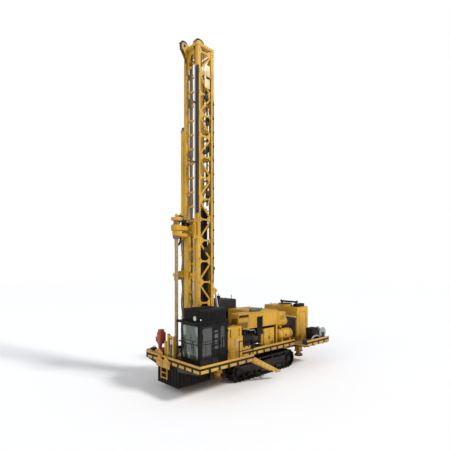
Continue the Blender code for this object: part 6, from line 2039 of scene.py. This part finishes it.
    def compressor(self) -> None:
        """Flanges, ribs and pipes of the air compressor."""
        floor, y = DECK_TOP, -1.25
        with Piece("compressor_flanges", Finish.CAST) as flanges:
            for x, z, radius in ((-1.4, 0.72, 0.25), (-0.56, 0.72, 0.25), (-0.06, 0.66, 0.3)):
                flanges.bar((x - 0.02, y, floor + z), (x + 0.02, y, floor + z), radius + 0.03, 28)
                flanges.bolt_circle((x - 0.02, y, floor + z), Way.FORWARD, radius + 0.008, 14, 0.022)
            for index in range(5):
                x = -1.28 + index * 0.15
                flanges.bar((x - 0.01, y, floor + 0.72), (x + 0.01, y, floor + 0.72), 0.268, 24)
            flanges.turned(((0.1, 0.05), (0.13, 0.03), (0.15, 0)), (-1.42, y, floor + 0.72), Way.FORWARD,
                           24)
            flanges.bolts([(x, -1.5, floor + 0.3) for x in (-1.4, -1.1, -0.8, -0.5, -0.2, -0.05)], Way.NEAR,
                          0.026)
        with Piece("compressor_pipes", Finish.BRIGHT) as pipes:
            pipes.line(((-1.0, y - 0.05, floor + 1.2), (-1.0, y - 0.16, floor + 1.28),
                        (-0.7, y - 0.22, floor + 1.22), (-0.3, y - 0.2, floor + 1.15),
                        (-0.2, y - 0.12, floor + 0.96)), 0.045, 12)
            pipes.line(((-0.4, -1.42, floor + 0.35), (-0.4, -1.56, floor + 0.4), (0.1, -1.6, floor + 0.3),
                        (0.3, -1.6, floor + 0.12)), 0.028, 10)
        with Piece("compressor_hoses", Finish.HOSE) as hoses:
            for index in range(4):
                x = -1.3 + index * 0.22
                hoses.line(((x, -1.45, floor + 0.34), (x + 0.02, -1.53, floor + 0.42),
                            (x + 0.12, -1.54, floor + 0.8), (x + 0.05, -1.4, floor + 1.3)), 0.018)

    def cabinet(self) -> None:
        """Doors, hinges and handles of the cabinet."""
        face = -1.58
        with Piece("cabinet_doors", Finish.YELLOW) as doors:
            for x0 in (0.37, 0.86):
                doors.block((x0, face - 0.02, 1.66), (x0 + 0.45, face + 0.01, 2.7), 0.012, 2)
        with Piece("cabinet_fittings", Finish.BLACK) as fittings:
            for x in (0.78, 0.9):
                fittings.block((x - 0.014, face - 0.045, 2.1), (x + 0.014, face - 0.018, 2.26), 0.006)
            for x in (0.375, 1.31):
                for z in (1.8, 2.5):
                    fittings.bar((x, face - 0.02, z), (x, face - 0.02, z + 0.09), 0.014, 10)
            for index in range(6):
                z = 1.76 + index * 0.04
                fittings.beam((0.95, face - 0.022, z), (1.22, face - 0.022, z), 0.01, 0.016)
            fittings.block((0.32, -1.6, 2.775), (1.36, -0.98, 2.81), 0.01)


@dataclass(frozen=True)
class AirPlant:
    """Valves and straps of the receiver, and ribs of the air cleaner."""

    def build(self) -> None:
        """Dress the receiver and the cleaner."""
        floor = DECK_TOP
        with Piece("receiver_fittings", Finish.CAST) as fittings:
            z = floor + 0.62
            fittings.turned(((0.03, 0.06), (0.04, 0.04), (0.05, 0.03), (0.05, 0)), (2.3, -1.75, z),
                            Way.NEAR, 16)
            fittings.turned(((0, 0.05), (0.09, 0.045), (0.11, 0.02), (0.11, 0)), (3.14, -1.42, z),
                            Way.REARWARD, 20)
            fittings.bolt_circle((3.16, -1.42, z), Way.REARWARD, 0.09, 8, 0.02)
            for x in (2.05, 2.85):
                fittings.ring((x, -1.42, z), Way.REARWARD, 0.352, 0.012, 32, 6)
                fittings.bolts([(x - 0.04, -1.69, floor + 0.05), (x + 0.04, -1.69, floor + 0.05)], Way.NEAR,
                               0.026)
        with Piece("cleaner_ribs", Finish.YELLOW) as ribs:
            z = floor + 1.4
            for index in range(7):
                x = 1.92 + index * 0.125
                ribs.bar((x - 0.012, -1.25, z), (x + 0.012, -1.25, z), 0.292, 28)
            for x, way in ((1.82, Way.FORWARD), (2.75, Way.REARWARD)):
                ribs.turned(((0, 0.05), (0.12, 0.045), (0.2, 0.02), (0.22, 0)), (x, -1.25, z), way, 28)
        with Piece("cleaner_pipe", Finish.HOSE) as pipe:
            pipe.line(((2.3, -1.1, z + 0.22), (2.2, -0.88, z + 0.36), (1.9, -0.84, z + 0.42),
                       (1.62, -0.84, z + 0.34)), 0.085, 14)
        with Piece("intake_box", Finish.YELLOW) as intake:
            intake.block((1.79, -1.53, 3.0), (2.56, -0.98, 3.58), 0.03, 2)
            intake.block((1.77, -1.55, 3.56), (2.58, -0.96, 3.62), 0.012, 2)
            intake.block((1.86, -1.545, 3.06), (2.49, -1.525, 3.5), 0.008)
            intake.bolts([(x, -1.545, z) for x in (1.9, 2.45) for z in (3.1, 3.46)], Way.NEAR, 0.024)
        with Piece("intake_slots", Finish.BLACK) as slots:
            for index in range(4):
                slots.beam((1.94, -1.548, 3.18 + index * 0.07), (2.41, -1.548, 3.18 + index * 0.07), 0.014,
                           0.02)


@dataclass(frozen=True)
class Cooler:
    """Core faces, fan guard, straps and pipes of the cooler."""

    x: tuple[float, float] = (3.95, 5.2)
    y: float = 1.45
    top: float = 3.78
    fan: Flat = (4.52, 0.46)

    def build(self) -> None:
        """Dress the cooler."""
        x0, x1 = self.x
        with Piece("cooler_core", Finish.CORE) as core:
            for x, way in ((x0, -1), (x1, 1)):
                core.block((x, -1.38, 1.76), (x + way * 0.012, 1.38, 3.1 if way < 0 else 3.58), 0.002)
        with Piece("cooler_frames", Finish.YELLOW) as frames:
            for x, way in ((x0, -1), (x1, 1)):
                low, high = sorted((x, x + way * 0.03))
                frames.frame((-1.36, 1.74), (1.36, 3.56), Plane.END, low, high, 0.05, 0)
            frames.block((x0 - 0.02, -1.4, 3.2), (x0 + 0.004, 1.4, 3.76), 0.012, 2)
            frames.block((x0 - 0.04, -1.4, 3.42), (x0 - 0.018, 1.4, 3.5), 0.01)
            frames.block((x0 + 0.21, -self.y + 0.02, 1.76), (x1 - 0.21, -self.y + 0.09, 3.42), 0.012, 2)
            frames.block((x0 + 0.3, -self.y, 1.9), (x1 - 0.3, -self.y + 0.03, 3.3), 0.012, 2)
            for side in (-1, 1):
                frames.bolts([(x, side * self.y, z) for x in (x0 + 0.05, x0 + 0.15, x1 - 0.15, x1 - 0.05)
                              for z in (1.7, 2.2, 2.7, 3.2)], Way.out(side))
        with Piece("cooler_bar", Finish.CREAM) as bar:
            bar.block((x0 - 0.04, -1.4, 3.08), (x0 + 0.004, -0.5, 3.19), 0.02, 2)
            bar.block((x0 - 0.03, -0.4, 3.08), (x0 + 0.004, 1.4, 3.16), 0.02, 2)
        with Piece("fan_guard", Finish.BLACK) as guard:
            x, radius = self.fan
            for ring in (0.12, 0.22, 0.32, 0.42, 0.49):
                guard.ring((x, 0, self.top + 0.145), Way.UP, ring, 0.007, 36, 5)
            for across, over in around(16)[:8]:
                reach = Vector((across, over, 0)) * (radius + 0.03)
                centre = Vector((x, 0, self.top + 0.15))
                guard.bar(centre - reach, centre + reach, 0.007, 6)
            guard.turned(((0, 0.02), (0.09, 0.018), (0.1, 0)), (x, 0, self.top + 0.15), Way.UP, 20)
            guard.bolt_circle((x, 0, self.top + 0.12), Way.UP, 0.478, 12, 0.018)
        with Piece("cooler_tops", Finish.BLACK) as tops:
            tops.block((4.02, -1.38, 3.785), (4.9, -1.05, 4.0), 0.03, 2)
            tops.turned(((0.05, 0.12), (0.06, 0.1), (0.045, 0.08), (0.045, 0)), (4.2, -0.8, 3.785), Way.UP,
                        16)
            for y, size, wire in ((1.2, 0.05, 0.014), (-0.65, 0.04, 0.012)):
                tops.ring((4.4, y, 3.83), Way.REARWARD, size, wire, 14, 6)
            for side in (-1, 1):
                tops.bar((4.98, side * 0.74, 4.08), (4.98, side * 0.66, 4.08), 0.05, 14)
        with Piece("rest_pad", Finish.FLAP) as pad:
            pad.block((4.9, -0.6, 4.0), (4.915, 0.6, 4.07), 0.004)


@dataclass(frozen=True)
class Collector:
    """Doors, ribs, ducts and skirts of the dust collector."""

    def build(self) -> None:
        """Dress the filter house."""
        floor = DECK_TOP
        low, top = floor + 1.0, floor + 2.75
        with Piece("collector_lids", Finish.DARK) as lids:
            for x0 in (-0.78, -0.25, 0.28):
                lids.block((x0, 1.24, top - 0.002), (x0 + 0.5, 2.66, top + 0.05), 0.015, 2)
                lids.ring((x0 + 0.25, 1.95, top + 0.07), Way.FAR, 0.04, 0.01, 12, 6)
                for y in (1.235, 2.665):
                    lids.bar((x0 + 0.1, y, top + 0.02), (x0 + 0.4, y, top + 0.02), 0.014, 8)
            for index in range(5):
                z = low + 0.25 + index * 0.22
                lids.beam((-0.8, 1.19, z), (0.8, 1.19, z), 0.02, 0.03)
                for x in (-0.82, 0.82):
                    lids.beam((x, 1.3, z), (x, 2.6, z), 0.03, 0.02)
        with Piece("collector_spikes", Finish.BLACK) as spikes:
            for x, y, tall in ((-0.7, 1.32, 0.42), (0.45, 1.32, 0.3)):
                spikes.bar((x, y, top + 0.03), (x, y, top + tall), 0.02, 8)
                spikes.turned(((0, 0.05), (0.03, 0.04), (0.035, 0)), (x, y, top + tall - 0.02), Way.UP, 12)
        with Piece("collector_duct", Finish.HOSE) as duct:
            points = [(-0.85, 1.95, 2.9), (-1.1, 1.9, 2.85), (-1.4, 1.7, 2.5), (-1.65, 1.45, 2.0),
                      (-2.2, 1.3, 1.8), (-3.0, 1.28, 1.78), (-3.5, 1.2, 1.74)]
            duct.line(points, 0.14, 16)
            duct.line([(-3.5, 1.2, 1.74), (-3.62, 1.17, 1.66), (-3.64, 1.15, 1.595)], 0.14, 16)
        with Piece("duct_rings", Finish.CAST) as rings:
            for index in range(9):
                x = -3.35 + index * 0.2
                rings.ring((x, 1.215 + index * 0.011, 1.752 + index * 0.004), Way.REARWARD, 0.142, 0.012,
                           24, 6)
            rings.turned(((0.19, 0.02), (0.2, 0)), (-0.8, 1.95, 2.9), Way.FORWARD, 24)
            rings.turned(((0.2, 0.02), (0.21, 0)), (-3.64, 1.15, 1.59), Way.UP, 24)
        with Piece("hopper_boot", Finish.FLAP) as boot:
            boot.turned(((0.13, 0), (0.15, 0.06), (0.13, 0.12), (0.16, 0.18), (0.14, 0.24)), (0, 1.95, 1.6),
                        Way.UP, 20)
        with Piece("collector_pipes", Finish.BRIGHT) as pipes:
            for x in (-0.5, 0, 0.5):
                pipes.line(((x, 1.17, 2.75), (x, 1.1, 2.8), (x, 1.1, 3.6), (x, 1.18, 3.7)), 0.03, 10)
            pipes.bar((-0.75, 1.1, 2.78), (0.75, 1.1, 2.78), 0.05, 14)


@dataclass(frozen=True)
class Rear:
    """Reel with its hose, battery box, stairs and pipes of the rear."""

    reel: Point = (5.15, -2.45, 2.0803)
    core: float = 0.257
    width: float = 0.34
    hose: float = 0.03
    pitch: float = 0.0325
    layer: float = 0.0315

    def build(self) -> None:
        """Dress the rear platform and the stairs."""
        self.wound_hose()
        self.boxes()
        self.stairs()
        self.rails()

    def wound_hose(self) -> None:
        """Hose on the reel: about nineteen metres in two layers."""
        x, y, z = self.reel
        points: list[Point] = []
        turns_first, turns_second, steps = 10, 2, 18
        for step in range(turns_first * steps + 1):
            angle = step / steps * math.tau
            points.append((x + self.core * math.cos(angle), y - self.width / 2 + step / steps * self.pitch,
                           z + self.core * math.sin(angle)))
        last = points[-1]
        for step in range(1, turns_second * steps + 1):
            angle = step / steps * math.tau
            radius = self.core + min(1.0, step / 6) * self.layer
            points.append((x + radius * math.cos(angle), last[1] - step / steps * self.pitch,
                           z + radius * math.sin(angle)))
        curve = bpy.data.curves.new("reel_hose", "CURVE")
        curve.dimensions = "3D"
        curve.bevel_depth = self.hose / 2
        curve.bevel_resolution = 2
        curve.use_fill_caps = True
        spline = curve.splines.new("POLY")
        spline.points.add(len(points) - 1)
        for knot, place in zip(spline.points, points):
            knot.co = (*place, 1.0)
        hose = bpy.data.objects.new("reel_hose", curve)
        bpy.context.scene.collection.objects.link(hose)
        curve.materials.append(Workshop.material(Finish.REEL_HOSE))
        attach(hose, "hose_reel")
        end, before = Vector(points[-1]), Vector(points[-2])
        ahead = (end - before).normalized()
        fitting = Piece("reel_fitting", Finish.CAST, "hose_reel")
        fitting.bar(end - ahead * 0.03, end + ahead * 0.05, 0.0175)
        fitting.bar(end + ahead * 0.005, end + ahead * 0.025, 0.022, 6)
        fitting.done()
        with Piece("reel_trim", Finish.BRIGHT, "hose_reel") as trim:
            for side in (-1, 1):
                trim.turned(((0.07, 0), (0.36, 0), (0.36, 0.006), (0.07, 0.006), (0.07, 0)),
                            (x, y + side * 0.208 - 0.003, z), Way.FAR)
                trim.ring((x, y + side * 0.2, z), Way.FAR, 0.382, 0.012, 32, 6)
                for across, up in around(6):
                    trim.beam((x + 0.08 * across, y + side * 0.214, z + 0.08 * up),
                              (x + 0.37 * across, y + side * 0.214, z + 0.37 * up), 0.02, 0.006)
        with Piece("reel_bearings", Finish.CAST) as bearings:
            for side, way in ((-1, Way.NEAR), (1, Way.FAR)):
                bearings.turned(((0.03, 0.05), (0.06, 0.03), (0.065, 0)), (x, y + side * 0.271, z), way, 18)
                bearings.outline(((x - 0.16, 1.62), (x + 0.16, 1.62), (x + 0.05, 1.95), (x - 0.05, 1.95)),
                                 Plane.SIDE, y + side * 0.285 - 0.006, y + side * 0.285 + 0.006)

    def boxes(self) -> None:
        """Lid, straps and pipes round the battery box."""
        with Piece("battery_trim", Finish.BLACK) as trim:
            trim.block((3.985, -2.635, 2.42), (4.735, -2.085, 2.48), 0.012, 2)
            for x in (4.18, 4.54):
                trim.block((x - 0.025, -2.632, 1.6), (x + 0.025, -2.61, 2.42), 0.005)
                trim.block((x - 0.04, -2.645, 2.3), (x + 0.04, -2.62, 2.42), 0.006)
            for index in range(5):
                trim.beam((4.26, -2.625, 1.75 + index * 0.05), (4.46, -2.625, 1.75 + index * 0.05), 0.01,
                          0.02)
        with Piece("rear_pipe", Finish.BRIGHT) as pipe:
            pipe.line(((3.72, -2.73, 1.6), (3.73, -2.73, 1.78), (3.85, -2.73, 1.94), (4.1, -2.735, 2.02),
                       (4.4, -2.735, 2.0), (4.62, -2.735, 1.86), (4.66, -2.735, 1.62)), 0.062, 14)
            for x in (3.72, 4.66):
                pipe.turned(((0.08, 0.03), (0.09, 0)), (x, -2.735, 1.585), Way.UP, 18)
        with Piece("rear_boxes", Finish.DARK) as boxes:
            boxes.block((3.15, -2.7, 1.59), (3.62, -2.4, 1.86), 0.02, 2)
            boxes.block((5.27, -0.5, 1.59), (5.5, 0.4, 2.0), 0.02, 2)
        with Piece("rear_lamps", Finish.LENS) as lamps:
            for y in (-2.5, 2.5):
                lamps.turned(((0, 0.03), (0.04, 0.025), (0.055, 0)), (5.625, y, 1.6), Way.REARWARD, 16)

    def stairs(self) -> None:
        """Grating and bolts of the stairs."""
        (xt, zt), (xf, zf) = (-1.82, 1.5), (0.35, 0.42)
        with Piece("stair_grating", Finish.DARK, "boarding_stairs") as grating:
            for index in range(1, 7):
                x = xt + (xf - xt) * index / 7
                z = zt + (zf - zt) * index / 7 + 0.021
                for bar in range(5):
                    across = x - 0.1 + bar * 0.05
                    grating.block((across - 0.006, -2.72, z), (across + 0.006, -2.18, z + 0.014))
                for bar in range(8):
                    y = -2.7 + bar * 0.072
                    grating.block((x - 0.115, y - 0.004, z), (x + 0.115, y + 0.004, z + 0.01))
        with Piece("stair_bolts", Finish.CAST, "boarding_stairs") as bolts:
            for index in range(1, 7):
                x = xt + (xf - xt) * index / 7
                z = zt + (zf - zt) * index / 7
                for y, way in ((-2.74, Way.NEAR), (-2.16, Way.FAR)):
                    bolts.bolts([(x - 0.05, y, z), (x + 0.05, y, z)], way, 0.026)

    def rails(self) -> None:
        """Foot plates and clamps of the handrails."""
        posts = [(-3.0, -2.82), (-1.96, -2.82), (-3.2, 1.87), (-1.45, 1.87), (5.57, -0.95), (5.57, 0.95),
                 (5.57, 2.82), (4.3, 2.82), (3.06, 2.82)]
        with Piece("rail_feet", Finish.BLACK) as feet:
            for x, y in posts:
                inward = -1 if x > 5.5 else 1 if x < -5.5 else 0
                across = 1 if y < -2.7 else -1 if y > 1.8 else 0
                feet.block((x - (0.045 if inward >= 0 else 0.09), y - (0.045 if across >= 0 else 0.09),
                            1.581), (x + (0.045 if inward <= 0 else 0.09),
                                     y + (0.045 if across <= 0 else 0.09), 1.595), 0.003)
                feet.block((x - 0.026, y - 0.026, 2.1), (x + 0.026, y + 0.026, 2.2), 0.006)
                feet.turned(((0, 0.02), (0.02, 0.015), (0.026, 0)), (x, y, 2.68), Way.UP, 12)


# Studio


@dataclass
class Studio:
    """Floor, light and camera at the photograph's angle."""

    camera_place: Point = (-15.73, -15.4, 6.37)
    heading: Flat = (0.682, 0.731)
    focal: float = 28.0
    rise: float = 0.0978
    floor_reach: float = 160.0
    floor_grey: float = 0.95

    def build(self) -> None:
        """Make the floor, the lights and the camera."""
        self.floor()
        self.lights()
        self.camera()

    def floor(self) -> None:
        """Plain pale floor."""
        maker = bmesh.new()
        bmesh.ops.create_grid(maker, x_segments=1, y_segments=1, size=self.floor_reach)
        mesh = bpy.data.meshes.new("floor")
        maker.to_mesh(mesh)
        maker.free()
        tree = ShaderTree("studio_floor")
        tree.constant(Base_Color=(*[self.floor_grey] * 3, 1.0), Roughness=0.9)
        mesh.materials.append(tree.material)
        made = bpy.data.objects.new("floor", mesh)
        bpy.context.scene.collection.objects.link(made)

    def lights(self) -> None:
        """Soft key from the near side, a fill and a pale surround."""
        world = bpy.data.worlds.new("studio")
        bpy.context.scene.world = world
        world.use_nodes = True
        nodes, links = world.node_tree.nodes, world.node_tree.links
        surround, seen = nodes["Background"], nodes.new("ShaderNodeBackground")
        surround.inputs["Color"].default_value = (0.93, 0.95, 1, 1)
        surround.inputs["Strength"].default_value = 0.5
        seen.inputs["Color"].default_value = (1, 1, 1, 1)
        seen.inputs["Strength"].default_value = 1.0
        path, choice = nodes.new("ShaderNodeLightPath"), nodes.new("ShaderNodeMixShader")
        links.new(path.outputs["Is Camera Ray"], choice.inputs[0])
        links.new(surround.outputs[0], choice.inputs[1])
        links.new(seen.outputs[0], choice.inputs[2])
        links.new(choice.outputs[0], nodes["World Output"].inputs[0])
        bpy.context.scene.view_settings.view_transform = "Standard"
        for name, turn, strength, spread in (("key", (50, 0, 22), 2.35, 10),
                                             ("fill", (60, 0, -88), 0.75, 40)):
            lamp = bpy.data.lights.new(name, "SUN")
            lamp.energy = strength
            lamp.angle = math.radians(spread)
            made = bpy.data.objects.new(name, lamp)
            made.rotation_euler = [math.radians(part) for part in turn]
            bpy.context.scene.collection.objects.link(made)

    def camera(self) -> None:
        """Level camera at the drill end's near corner."""
        lens = bpy.data.cameras.new("camera")
        lens.lens = self.focal
        lens.sensor_width = 36.0
        lens.shift_y = self.rise
        lens.clip_end = 500.0
        made = bpy.data.objects.new("camera", lens)
        made.location = self.camera_place
        made.rotation_euler = Vector((*self.heading, 0)).to_track_quat("-Z", "Y").to_euler()
        bpy.context.scene.collection.objects.link(made)
        bpy.context.scene.camera = made


def main() -> None:
    """Build every sub-assembly in order."""
    logging.basicConfig(level=logging.INFO, format="%(name)s %(message)s")
    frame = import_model()
    Studio().build()
    PackedNodes(frame).build()
    for assembly in (Undercarriage(), Jacks(), Deck(), Cab(), OperatorSeat(), Mast(), RotaryHead(), Arms(),
                     Tower(), DrillEnd(), Tank(), EngineBay(), AirPlant(), Cooler(), Collector(), Rear()):
        LOG.info("building %s", type(assembly).__name__)
        assembly.build()


if __name__ == "__main__":
    main()
